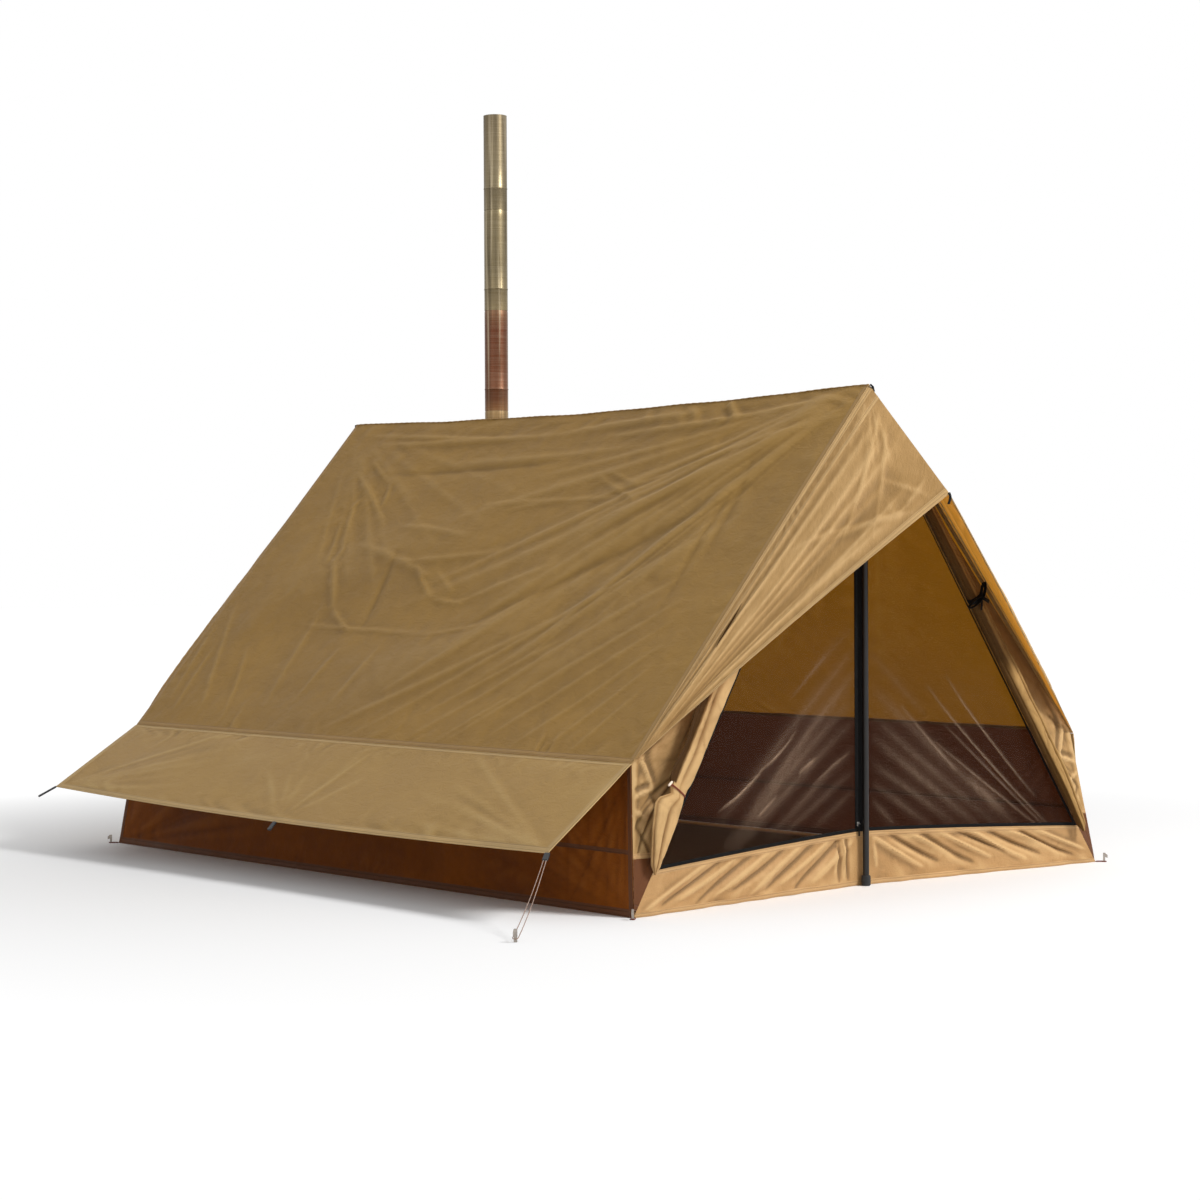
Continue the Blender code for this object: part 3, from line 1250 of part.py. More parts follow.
def make_stove_legs():
    """Two folding leg frames, each a bent rod whose top bar turns under the stove."""
    top = STOVE_FOOT_CLEARANCE - LEG_PIVOT_DROP
    half = STOVE_WIDTH / 2 - LEG_INSET
    bend = LEG_RADIUS * 2
    outline = ((-half - LEG_SPREAD, LEG_RADIUS), (-half, top - LEG_RADIUS - bend), (-half + bend, top),
               (half - bend, top), (half, top - LEG_RADIUS - bend), (half + LEG_SPREAD, LEG_RADIUS))
    profile = ((0, 0), (LEG_PAD_RADIUS, 0), (LEG_PAD_RADIUS, LEG_PAD_HEIGHT), (0, LEG_PAD_HEIGHT))
    for word, y in (("front", STOVE_FRONT + LEG_INSET), ("rear", STOVE_BACK - LEG_INSET)):
        points = [(STOVE_SIDE + x, y, z) for x, z in outline]
        pivot = (STOVE_SIDE, y, top)
        legs = swept(f"stove_legs_{word}", "stove_steel", points, LEG_RADIUS, LEG_SIDES, pivot)
        for side in (LEFT, RIGHT):
            pad = turned(f"leg_pad_shape_{word}_{side}", "stove_steel", profile, LEG_SIDES,
                         (STOVE_SIDE + side * (half + LEG_SPREAD), y, 0))
            combine(legs, pad, "UNION")


def make_flue():
    """Flue sections, each over the narrowed top of the one below, and the damper in the lowest."""
    inner = FLUE_RADIUS - FLUE_WALL
    spigot = inner - FLUE_SLIP
    for index in range(FLUE_SECTIONS):
        foot = FLUE_FOOT + index * FLUE_PITCH
        bead = foot + FLUE_LAP
        top = foot + FLUE_PITCH
        last = index == FLUE_SECTIONS - 1
        outside = [(FLUE_RADIUS, foot), (FLUE_RADIUS, bead - FLUE_BEAD_HALF),
                   (FLUE_RADIUS + FLUE_BEAD, bead), (FLUE_RADIUS, bead + FLUE_BEAD_HALF)]
        if last:
            outside += [(FLUE_RADIUS, FLUE_TOP), (inner, FLUE_TOP)]
        else:
            neck = top - SEAM_GAP
            tip = neck + FLUE_LAP - FLUE_BEAD_HALF
            outside += [(FLUE_RADIUS, neck - FLUE_TAPER), (spigot, neck), (spigot, tip),
                        (spigot - FLUE_WALL, tip), (spigot - FLUE_WALL, neck),
                        (inner, neck - FLUE_TAPER)]
        outside.append((inner, foot))
        finish = "flue_heated" if index == FLUE_HEATED else "flue_steel"
        section = turned(f"flue_section_{index + 1}", finish, outside, FLUE_SIDES,
                         (STOVE_SIDE, STOVE_FLUE_DISTANCE, 0))
        if index == 0:
            make_damper(section, inner)


def make_damper(section, inner):
    """Round damper plate on a shaft through the lowest flue section, with a wire handle."""
    pivot = Vector((STOVE_SIDE, STOVE_FLUE_DISTANCE, STOVE_TOP + DAMPER_HEIGHT))
    reach = Vector((0, FLUE_RADIUS + DAMPER_HANDLE_REACH, 0))
    stub = Vector((0, FLUE_RADIUS + DAMPER_SHAFT_RADIUS * 2, 0))
    hole = rod("shaft_hole_shape", "stove_steel", pivot - reach, pivot + reach,
               DAMPER_SHAFT_RADIUS + DAMPER_HOLE_GAP)
    combine(section, hole, "DIFFERENCE")
    shaft = rod("flue_damper", "zip_metal", pivot - reach, pivot + stub, DAMPER_SHAFT_RADIUS,
                pivot=pivot)
    half = Vector((DAMPER_THICKNESS / 2, 0, 0))
    plate = rod("damper_plate_shape", "stove_steel", pivot - half, pivot + half, inner - DAMPER_GAP,
                DAMPER_PLATE_SIDES)
    combine(shaft, plate, "UNION")
    middle = pivot - reach - Vector((0, DAMPER_HANDLE_RADIUS - DAMPER_HANDLE_WIRE, 0))
    ring = []
    for k in range(DAMPER_HANDLE_POINTS):
        turn = k / DAMPER_HANDLE_POINTS * math.tau
        ring.append(middle + Vector((0, math.cos(turn), math.sin(turn))) * DAMPER_HANDLE_RADIUS)
    handle = swept("damper_handle_shape", "zip_metal", ring, DAMPER_HANDLE_WIRE, DAMPER_HANDLE_SIDES,
                   closed=True)
    combine(shaft, handle, "UNION")


def main():
    """Builds the tent."""
    clear_scene()
    make_roof()
    make_ridge_webbing()
    make_stove_jack()
    make_walls()
    make_awnings()
    make_visors()
    make_gables()
    make_doors_tied_back()
    make_pole("front", 0)
    make_pole("back", POLE_SPACING)
    make_ground_loops()
    make_awning_lines()
    make_slider("mesh", -ZIP_OFFSET, GABLE_SETBACK, MESH_SLIDER_HEIGHT, True)
    make_slider("back", -ZIP_OFFSET, POLE_SPACING - GABLE_SETBACK, BACK_SLIDER_HEIGHT, False)
    make_stove()
    make_flue()


main()
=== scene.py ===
"""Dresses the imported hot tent: cloth with its folds and hems, mesh doors, poles, stove and flue."""

import logging
import math
from collections.abc import Callable, Sequence
from dataclasses import dataclass, field
from enum import Enum
from functools import partial

import bmesh
import bpy
import numpy as np
from mathutils import Matrix, Vector


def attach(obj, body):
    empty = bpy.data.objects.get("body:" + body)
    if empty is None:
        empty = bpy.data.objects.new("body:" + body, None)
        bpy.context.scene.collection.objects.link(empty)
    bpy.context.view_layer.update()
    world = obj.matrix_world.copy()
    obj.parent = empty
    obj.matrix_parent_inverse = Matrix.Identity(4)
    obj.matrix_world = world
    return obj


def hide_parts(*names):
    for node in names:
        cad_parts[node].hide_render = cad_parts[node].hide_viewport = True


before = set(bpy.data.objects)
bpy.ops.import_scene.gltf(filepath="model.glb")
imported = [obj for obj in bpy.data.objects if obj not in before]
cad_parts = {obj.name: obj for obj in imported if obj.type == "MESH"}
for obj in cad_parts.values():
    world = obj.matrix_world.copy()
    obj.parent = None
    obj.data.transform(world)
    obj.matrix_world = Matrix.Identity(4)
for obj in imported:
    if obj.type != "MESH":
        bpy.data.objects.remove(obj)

logging.basicConfig(level=logging.INFO, format="%(levelname)s %(message)s")
LOG = logging.getLogger("hot_tent")

Array = np.ndarray
Colour = tuple[float, float, float]
Place = tuple[float, float, float]
Rows = Sequence[tuple[float, ...]]
Piece = bpy.types.Object
Material = bpy.types.Material
Tree = bpy.types.NodeTree
Node = bpy.types.Node
Socket = bpy.types.NodeSocket
Sockets = bpy.types.NodeOutputs

MM = 0.001
FULL_TURN = 2 * math.pi


class Side(Enum):
    """The two sides of the tent, as seen from the front door. The value is the sign of x there."""

    LEFT = -1
    RIGHT = 1

    @property
    def word(self) -> str:
        """The side's word in the names of pieces."""
        return self.name.lower()


class End(Enum):
    """The two ends of the tent."""

    FRONT = "front"
    BACK = "back"


class Edge(Enum):
    """A sheet's edges: the start and end of its first side, then of its second."""

    START = 0
    FINISH = 1
    LOW = 2
    HIGH = 3


# Numbers and noise on whole arrays


def smooth_step(values: Array) -> Array:
    """Rises from 0 to 1 with no slope at either end."""
    t = np.clip(values, 0, 1)
    return t * t * (3 - 2 * t)


def mix(start: Array | float, end: Array | float, share: Array | float) -> Array:
    """Blends two values by a share: start plus the share of their difference."""
    return start + (end - start) * share


def stack(x: Array | float, y: Array | float, z: Array | float) -> Array:
    """Joins three arrays or numbers to one array of places."""
    return np.stack(np.broadcast_arrays(x, y, z), -1).astype(float)


def unit(vectors: Array) -> Array:
    """Scales each vector to a length of one."""
    return vectors / np.maximum(np.linalg.norm(vectors, axis=-1, keepdims=True), 1e-12)


def grid(columns: int, rows: int) -> tuple[Array, Array]:
    """Gives two arrays of shares from 0 to 1, the first changing down the array."""
    return np.meshgrid(np.linspace(0, 1, columns), np.linspace(0, 1, rows), indexing="ij")


def noise(x: Array, y: Array, seed: int) -> Array:
    """Smooth noise from -1 to 1: random values at whole numbers, blended by a smooth step.

    Args:
        x: First coordinate, in cells of the noise.
        y: Second coordinate, in cells of the noise.
        seed: Picks the table of random values.

    Returns:
        The noise at each place.
    """
    table = np.random.default_rng(seed).uniform(-1, 1, (64, 64))
    i, j = np.floor(x).astype(int), np.floor(y).astype(int)
    s, t = smooth_step(x - i), smooth_step(y - j)
    low = mix(table[i % 64, j % 64], table[(i + 1) % 64, j % 64], s)
    high = mix(table[i % 64, (j + 1) % 64], table[(i + 1) % 64, (j + 1) % 64], s)
    return mix(low, high, t)


def crumple(x: Array, y: Array, size: float, seed: int) -> Array:
    """Crumpled cloth from 0 to 1: three octaves of sharp ridges where noise changes its sign.

    Args:
        x: First coordinate in metres.
        y: Second coordinate in metres.
        size: Width of the largest crumples in metres.
        seed: Picks the pattern.

    Returns:
        The height at each place, highest on the ridges.
    """
    bend = noise(x / size, y / size, seed + 9) * size * 0.6
    total = np.zeros(np.shape(x))
    for octave in range(3):
        scale = size / 1.9 ** octave
        ridge = 1 - np.abs(noise((x + bend) / scale, (y - bend) / scale, seed + octave))
        total += ridge ** 3 / 1.8 ** octave
    return total / 1.9


def local_rise(rise: Array, passes: int = 10) -> Array:
    """How far a relief stands above the cloth round it: the relief less its repeated average.

    Args:
        rise: Relief at the grid points, in metres.
        passes: How many times the average is taken.

    Returns:
        The relief's rise at each grid point, in metres.
    """
    mean = rise
    for _ in range(passes):
        wide = np.pad(mean, 1, mode="edge")
        mean = (wide[:-2, 1:-1] + wide[2:, 1:-1] + wide[1:-1, :-2] + wide[1:-1, 2:]) / 4
    return rise - mean


@dataclass
class Patch:
    """Places on a sheet as shares of its two sides, where its relief is worked out.

    The sheet's seed plus a pattern's own number picks the pattern's random values.
    """

    across: Array
    along: Array
    sides: tuple[float, float]
    seed: int = 0

    def __post_init__(self) -> None:
        """Works out the places in metres and the distances to the four edges."""
        self.x, self.y = self.across * self.sides[0], self.along * self.sides[1]
        self.edges = (self.x, (1 - self.across) * self.sides[0], self.y, (1 - self.along) * self.sides[1])

    def noise(self, height: float, wide: float, long: float, number: int) -> Array:
        """Smooth noise of a height, in cells of two lengths in metres."""
        return height * noise(self.x / wide, self.y / long, self.seed + number)

    def crumple(self, height: float, size: float, number: int) -> Array:
        """Crumpled cloth of a height, its largest crumples of a size in metres."""
        return height * crumple(self.x, self.y, size, self.seed + number)

    def creases(self, rows: Rows) -> Array:
        """Sums sharp-backed folds along bowed lines.

        Each fold falls with the distance to its line to the power 1.4, and fades out at both ends.

        Args:
            rows: Start and end as shares, then width, height and bow in millimetres.

        Returns:
            The height of all the folds together, in metres.
        """
        total = np.zeros(self.x.shape)
        for u0, v0, u1, v1, width, height, bow in rows:
            x0, y0 = u0 * self.sides[0], v0 * self.sides[1]
            dx, dy = u1 * self.sides[0] - x0, v1 * self.sides[1] - y0
            px, py = self.x - x0, self.y - y0
            length = math.hypot(dx, dy)
            t = (px * dx + py * dy) / length ** 2
            inside = np.clip(t, 0, 1)
            side_way = (py * dx - px * dy) / length - bow * MM * 4 * inside * (1 - inside)
            distance = np.hypot(side_way, (t - inside) * length)
            fade = 0.15 + 0.85 * np.sin(math.pi * inside) ** 0.7
            total += height * MM * fade * np.exp(-((distance / (width * MM)) ** 1.4))
        return total

    def fan(self, origin: tuple[float, float], reach: tuple[float, float], angles: tuple[float, float],
            count: int, size: tuple[float, float], number: int = 0) -> list[tuple[float, ...]]:
        """Makes crease rows that radiate from one place.

        Args:
            origin: The place as shares of the sides.
            reach: Where each crease starts and ends, as shares of the first side.
            angles: Lowest and highest direction in degrees.
            count: How many creases.
            size: Width and height of a crease in millimetres.
            number: The pattern's own number.

        Returns:
            Rows for creases().
        """
        random = np.random.default_rng(self.seed + number)
        aspect = self.sides[0] / self.sides[1]
        rows = []
        for k in range(count):
            turn = math.radians(mix(angles[0], angles[1], (k + random.uniform(0.1, 0.9)) / count))
            near = reach[0] * random.uniform(0.5, 1.5)
            far = reach[1] * random.uniform(0.55, 1.05)
            way = (math.cos(turn), math.sin(turn) * aspect)
            rows.append((origin[0] + way[0] * near, origin[1] + way[1] * near, origin[0] + way[0] * far,
                origin[1] + way[1] * far, size[0] * random.uniform(0.6, 1.4),
                size[1] * random.uniform(0.4, 1.2), random.uniform(-9, 9)))
        return rows

    def gathers(self, edge: Edge, length: float, height: float, reach: float, number: int) -> Array:
        """Short puckers square to an edge: waves along it that start there and die away.

        Args:
            edge: The edge with the seam.
            length: Length of a wave in metres.
            height: Height of a wave in metres.
            reach: Distance at which the waves are highest, in metres.
            number: The pattern's own number.

        Returns:
            The height at each place.
        """
        distance, seed = self.edges[edge.value], self.seed + number
        place = self.y if edge in (Edge.START, Edge.FINISH) else self.x
        bend = noise(place / length / 3, distance / reach / 2, seed) * length * 1.4
        wave = noise((place + bend) / length * 2, distance / reach / 5, seed + 1)
        swell = 0.6 + 0.9 * np.maximum(noise(place / length / 3, distance * 0, seed + 2), -0.3)
        share = np.maximum(distance, 0) / reach
        return height * wave * swell * share * np.exp(1 - share)

    def main_folds(self, rows: Rows, height: float) -> Array:
        """Sums the main folds, bells of the distance to straight lines, as the solids have.

        Args:
            rows: Start and end as shares, then width and height as shares.
            height: Height of a whole fold in metres.

        Returns:
            The height at each place, none at the sheet's edges.
        """
        total, shape = np.zeros(self.x.shape), np.ones(self.x.shape)
        for share in (self.across, 1 - self.across, self.along, 1 - self.along):
            shape = shape * smooth_step((share - 0.022) / 0.12)
        for u0, v0, u1, v1, width_share, height_share in rows:
            x0, y0 = u0 * self.sides[0], v0 * self.sides[1]
            dx, dy = u1 * self.sides[0] - x0, v1 * self.sides[1] - y0
            px, py = self.x - x0, self.y - y0
            t = np.clip((px * dx + py * dy) / (dx * dx + dy * dy), 0, 1)
            distance = np.hypot(px - t * dx, py - t * dy)
            total += height_share * np.exp(-((distance / (width_share * min(self.sides))) ** 2))
        return total * height * shape

    def edge_rest(self, reach: float) -> Array:
        """Is 0 on the four edges and rises to 1 at a distance from them in metres."""
        return math.prod((smooth_step(distance / reach) for distance in self.edges), start=1.0)


# Meshes from arrays


def new_piece(name: str, places: Array, faces: Sequence[Sequence[int]], uvs: Array | None = None,
        slots: Array | None = None, marks: dict[str, Array] | None = None, sharp: float = 40) -> Piece:
    """Makes a mesh object from arrays, its object at the origin.

    Args:
        name: The piece's name.
        places: Places of the points.
        faces: The point numbers of each face.
        uvs: A UV place for each face corner, in metres of cloth.
        slots: A material number for each face.
        marks: Named values for each point, which materials read.
        sharp: Angle in degrees over which an edge is drawn sharp.

    Returns:
        The new object.
    """
    mesh = bpy.data.meshes.new(name)
    mesh.from_pydata(places.reshape(-1, 3).tolist(), [], faces)
    if uvs is not None:
        mesh.uv_layers.new(name="cut").data.foreach_set("uv", uvs.astype(np.float32).ravel())
    if slots is not None:
        mesh.polygons.foreach_set("material_index", slots.astype(np.int32))
    for mark, values in (marks or {}).items():
        layer = mesh.attributes.new(mark, "FLOAT", "POINT")
        layer.data.foreach_set("value", values.astype(np.float32).ravel())
    mesh.shade_smooth()
    mesh.set_sharp_from_angle(angle=math.radians(sharp))
    mesh.update()
    piece = bpy.data.objects.new(name, mesh)
    bpy.context.scene.collection.objects.link(piece)
    return piece


def surface_normals(points: Array, closed: bool = False) -> Array:
    """Gives the unit normal at each grid point, from the cross product of the two slopes.

    Args:
        points: Grid of places.
        closed: Whether the grid's last row meets its first.

    Returns:
        A grid of unit vectors.
    """
    if closed:
        wrapped = np.concatenate((points[-1:], points, points[:1]), 0)
        first = (wrapped[2:] - wrapped[:-2]) / 2
    else:
        first = np.gradient(points, axis=0)
    return unit(np.cross(first, np.gradient(points, axis=1)))


def cut_lengths(points: Array) -> Array:
    """Gives each grid point's place on the flat cut, as lengths along the two grid directions.

    Args:
        points: Grid of places.

    Returns:
        A grid of pairs of lengths, in metres.
    """
    steps_u = np.linalg.norm(np.diff(points, axis=0), axis=-1)
    steps_v = np.linalg.norm(np.diff(points, axis=1), axis=-1)
    return np.stack((np.pad(np.cumsum(steps_u, axis=0), ((1, 0), (0, 0))),
        np.pad(np.cumsum(steps_v, axis=1), ((0, 0), (1, 0)))), -1)


def looped(values: Array, closed: bool = True) -> Array:
    """Repeats a grid's first row after its last where it closes on itself."""
    return np.concatenate((values, values[:1]), 0) if closed else values


def cells(values: Array) -> Array:
    """Gives what a grid holds at the four corners of each of its cells, in turn."""
    return np.stack((values[:-1, :-1], values[1:, :-1], values[1:, 1:], values[:-1, 1:]), 2)


def shell(name: str, points: Array, thickness: float, closed: bool = False,
        marks: dict[str, Array] | None = None, hole: Array | None = None) -> Piece:
    """Makes a closed sheet: two layers half a thickness off a grid of places, joined at the rim.

    Args:
        name: The piece's name.
        points: Grid of the sheet's middle places.
        thickness: The sheet's thickness.
        closed: Whether the grid's first direction closes on itself.
        marks: Named values for each grid place, which materials read.
        hole: True for each grid cell that is left out.

    Returns:
        The new object. Its layer away from the tent's inside has material slot 0, the other slot 1.
    """
    normal = surface_normals(points, closed)
    if (normal * (points - np.array(TENT.core))).sum() < 0:
        points, normal = points[::-1], -normal[::-1]
        marks = {k: v[::-1] for k, v in (marks or {}).items()}
        hole = None if hole is None else hole[::-1]
    layers = np.stack((points + normal * (thickness / 2), points - normal * (thickness / 2)))
    rows, columns = points.shape[:2]
    count = rows * columns
    quads = cells(looped(np.arange(count).reshape(rows, columns), closed))
    corners = cells(cut_lengths(looped(points, closed)))
    keep = np.ones(quads.shape[:2], bool) if hole is None else ~hole
    padded = np.pad(keep, 1)
    if closed:
        padded[0, 1:-1], padded[-1, 1:-1] = keep[-1], keep[0]
    faces, uvs = quads[keep], corners[keep]
    all_faces, all_uvs = [faces, faces[:, ::-1] + count], [uvs, uvs[:, ::-1]]
    for beyond, a, b in ((np.s_[1:-1, :-2], 0, 1), (np.s_[1:-1, 2:], 2, 3), (np.s_[:-2, 1:-1], 3, 0),
            (np.s_[2:, 1:-1], 1, 2)):
        at_rim = keep & ~padded[beyond]
        start, end = quads[at_rim][:, a], quads[at_rim][:, b]
        all_faces.append(np.stack((end, start, start + count, end + count), -1))
        all_uvs.append(corners[at_rim][:, [b, a, a, b]])
    joined = np.concatenate(all_faces)
    slots = np.repeat((0, 1, 0), (len(faces), len(faces), len(joined) - 2 * len(faces)))
    values = {k: np.tile(m.ravel(), 2) for k, m in (marks or {}).items()}
    piece = new_piece(name, layers, joined.tolist(), np.concatenate(all_uvs), slots, values)
    if hole is not None:
        drop_loose_points(piece)
    return piece


def drop_loose_points(piece: Piece) -> None:
    """Removes the points that no face of a piece uses.

    Args:
        piece: Piece whose mesh is cleaned.
    """
    bm = bmesh.new()
    bm.from_mesh(piece.data)
    bmesh.ops.delete(bm, geom=[v for v in bm.verts if not v.link_faces], context="VERTS")
    bm.to_mesh(piece.data)
    bm.free()


RING_ORDER = [0, 3, 2, 1]


def ring_piece(name: str, rings: Array, closed: bool = False,
        marks: dict[str, Array] | None = None) -> Piece:
    """Joins rings of places to a closed body, with a middle point at each open end.

    Args:
        name: The piece's name.
        rings: Rings of places, one row for each ring.
        closed: Whether the last ring joins the first.
        marks: Named values for each place, which materials read.

    Returns:
        The new object.
    """
    count, sides = rings.shape[:2]
    numbers = np.arange(count * sides).reshape(count, sides)
    table = looped(np.concatenate((numbers, numbers[:, :1]), 1), closed)
    faces = cells(table)[:, :, RING_ORDER].reshape(-1, 4).tolist()
    flat = cut_lengths(looped(np.concatenate((rings, rings[:, :1]), 1), closed))
    uvs = cells(flat)[:, :, RING_ORDER].reshape(-1, 2)
    places = rings.reshape(-1, 3)
    values = {k: m.ravel() for k, m in (marks or {}).items()}
    if not closed:
        places = np.concatenate((places, rings[:1].mean(1), rings[-1:].mean(1)))
        middle = np.full(sides, count * sides)
        faces += np.stack((middle, table[0, 1:], table[0, :-1]), -1).tolist()
        faces += np.stack((middle + 1, table[-1, :-1], table[-1, 1:]), -1).tolist()
        uvs = np.concatenate((uvs, np.zeros((sides * 6, 2))))
        values = {k: np.concatenate((m, (m[0], m[-1]))) for k, m in values.items()}
    return new_piece(name, places, faces, uvs, marks=values, sharp=50)


def carried(name: str, path: Array, half_width: Array | float, half_depth: Array | float,
        sideways: Place | Array, sides: int = 12, square: float = 2, closed: bool = False) -> Piece:
    """Carries a rounded outline along a path: each ring is a super-ellipse square to the path.

    Args:
        name: The piece's name.
        path: Places of the middle line.
        half_width: Half the outline's width, one number or one for each place.
        half_depth: Half its depth, likewise.
        sideways: Direction of the width.
        sides: Points round a ring.
        square: 2 gives a round outline, more a squarer one.
        closed: Whether the path closes on itself.

    Returns:
        The new object, with flat ends closed by a middle point.
    """
    if closed:
        tangent = unit(np.roll(path, -1, 0) - np.roll(path, 1, 0))
    else:
        tangent = unit(np.gradient(path, axis=0))
    side = np.broadcast_to(np.asarray(sideways, float), path.shape)
    side = unit(side - (side * tangent).sum(-1, keepdims=True) * tangent)
    depth = np.cross(tangent, side)
    turns = np.arange(sides) / sides * FULL_TURN
    outline = [np.sign(wave) * np.abs(wave) ** (2 / square) * np.reshape(np.zeros(len(path)) + half, (-1, 1))
        for wave, half in ((np.cos(turns), half_width), (np.sin(turns), half_depth))]
    rings = path[:, None] + outline[0][..., None] * side[:, None] + outline[1][..., None] * depth[:, None]
    return ring_piece(name, rings, closed)


def turned(name: str, profile: Rows, centre: Place, sides: int, marks: dict[str, Array]) -> Piece:
    """Turns a closed profile of radius and height round an upright axis.

    Args:
        name: The piece's name.
        profile: Radius and height of each corner, in metres, counted round the outline.
        centre: Foot of the axis.
        sides: Points round a ring.
        marks: Named values for each place, which materials read.

    Returns:
        The new object.
    """
    outline = np.array(profile, float)
    turns = np.arange(sides) / sides * FULL_TURN
    rings = stack(outline[:, :1] * np.cos(turns), outline[:, :1] * np.sin(turns), outline[:, 1:])
    return ring_piece(name, rings + np.array(centre), True, marks)


# Shader graphs


class Graph:
    """A node tree being wired, a material's or a group's."""

    def __init__(self, tree: Tree) -> None:
        """Takes the tree to wire."""
        self.tree = tree

    def node(self, kind: str, **settings: object) -> Node:
        """Adds a node of a kind and gives it its settings.

        Args:
            kind: Node type's identifier.
            **settings: Values of the node's own settings.

        Returns:
            The new node.
        """
        made = self.tree.nodes.new(kind)
        for key, value in settings.items():
            setattr(made, key, value)
        return made

    def put(self, socket: Socket, value: object) -> None:
        """Links a socket to a value that is a socket, or sets the socket to it.

        Args:
            socket: Input to fill.
            value: Socket to link, or a plain value.
        """
        if isinstance(value, Socket):
            self.tree.links.new(value, socket)
        else:
            socket.default_value = value

    def feed(self, node: Node, **values: object) -> Node:
        """Puts values into a node's inputs by name. An underscore in a name stands for a space.

        Args:
            node: Node whose inputs are filled.
            **values: What goes into each input.

        Returns:
            The same node.
        """
        for key, value in values.items():
            self.put(node.inputs[key.replace("_", " ")], value)
        return node

    def math(self, operation: str, *values: object, clamp: bool = False) -> Socket:
        """Adds a Math node on one to three values.

        Args:
            operation: Name of the operation.
            *values: Sockets or numbers.
            clamp: Whether the result is held to 0..1.

        Returns:
            The result.
        """
        made = self.node("ShaderNodeMath", operation=operation, use_clamp=clamp)
        for socket, value in zip(made.inputs, values):
            self.put(socket, value)
        return made.outputs[0]

    def mix(self, factor: object, first: object, second: object) -> Socket:
        """Adds a colour Mix node.

        Args:
            factor: Share of the second colour.
            first: Colour at a factor of 0.
            second: Colour at a factor of 1.

        Returns:
            The mixed colour.
        """
        made = self.node("ShaderNodeMix", data_type="RGBA")
        for socket, value in zip((made.inputs[0], made.inputs[6], made.inputs[7]), (factor, first, second)):
            self.put(socket, (*value, 1) if isinstance(value, tuple) and len(value) == 3 else value)
        return made.outputs[2]

    def spread(self, value: object, low: float, high: float, bottom: float = 0, top: float = 1) -> Socket:
        """Maps a value from one range to another and holds it at the ends.

        Args:
            value: What is mapped.
            low: Start of its range.
            high: End of its range.
            bottom: Result at the start.
            top: Result at the end.

        Returns:
            The mapped value.
        """
        made = self.node("ShaderNodeMapRange")
        for socket, number in zip(made.inputs, (value, low, high, bottom, top)):
            self.put(socket, number)
        return made.outputs[0]

    def noise(self, vector: object, scale: object, detail: float = 2, rough: float = 0.5,
            warp: float = 0) -> Socket:
        """Adds a Noise texture and gives its value."""
        return self.feed(self.node("ShaderNodeTexNoise"), Vector=vector, Scale=scale, Detail=detail,
            Roughness=rough, Distortion=warp).outputs["Fac"]

    def stretched(self, vector: object, scale: Place, turn: Place = (0, 0, 0),
            shift: Place = (0, 0, 0)) -> Socket:
        """Adds a Mapping node that scales, turns and moves a pattern."""
        return self.feed(self.node("ShaderNodeMapping"), Vector=vector, Scale=scale, Rotation=turn,
            Location=shift).outputs[0]

    def parts(self, vector: object) -> tuple[Socket, ...]:
        """Splits a vector into its three numbers."""
        return tuple(self.feed(self.node("ShaderNodeSeparateXYZ"), Vector=vector).outputs)

    def mark(self, name: str) -> Socket:
        """Reads a named value that a mesh holds for each point."""
        return self.node("ShaderNodeAttribute", attribute_name=name).outputs["Fac"]

    def cut(self) -> Socket:
        """Reads the UV map, which holds metres of cloth."""
        return self.node("ShaderNodeUVMap", uv_map="cut").outputs[0]

    def object_place(self) -> Socket:
        """Reads the place on the object."""
        return self.node("ShaderNodeTexCoord").outputs["Object"]

    def bump(self, height: object, distance: float, strength: float = 1, under: object = None) -> Socket:
        """Adds a Bump node of a height in units of a distance in metres, over another normal if given.

        Args:
            height: Height to feel.
            distance: What a height of 1 measures.
            strength: Share of the effect.
            under: Normal to start from.

        Returns:
            The bent normal.
        """
        made = self.feed(self.node("ShaderNodeBump"), Height=height, Distance=distance, Strength=strength)
        if under is not None:
            self.feed(made, Normal=under)
        return made.outputs[0]

    def use(self, group: Tree, **values: object) -> Sockets:
        """Places a node group with its own values, and gives its outputs by name."""
        return self.feed(self.node("ShaderNodeGroup", node_tree=group), **values).outputs


def new_group(name: str, inputs: Sequence[tuple[str, str, float]],
        outputs: Sequence[tuple[str, str]]) -> tuple[Graph, Sockets, Node]:
    """Starts a shader node group.

    Args:
        name: The group's name.
        inputs: Name, socket type and first value of each input.
        outputs: Name and socket type of each output.

    Returns:
        The group's graph, what it is given, and its output node.
    """
    tree = bpy.data.node_groups.new(name, "ShaderNodeTree")
    for title, kind, value in inputs:
        socket = tree.interface.new_socket(name=title, in_out="INPUT", socket_type=kind)
        if kind == "NodeSocketFloat":
            socket.default_value = value
    for title, kind in outputs:
        tree.interface.new_socket(name=title, in_out="OUTPUT", socket_type=kind)
    graph = Graph(tree)
    return graph, graph.node("NodeGroupInput").outputs, graph.node("NodeGroupOutput")


FLOAT = "NodeSocketFloat"
VECTOR = "NodeSocketVector"


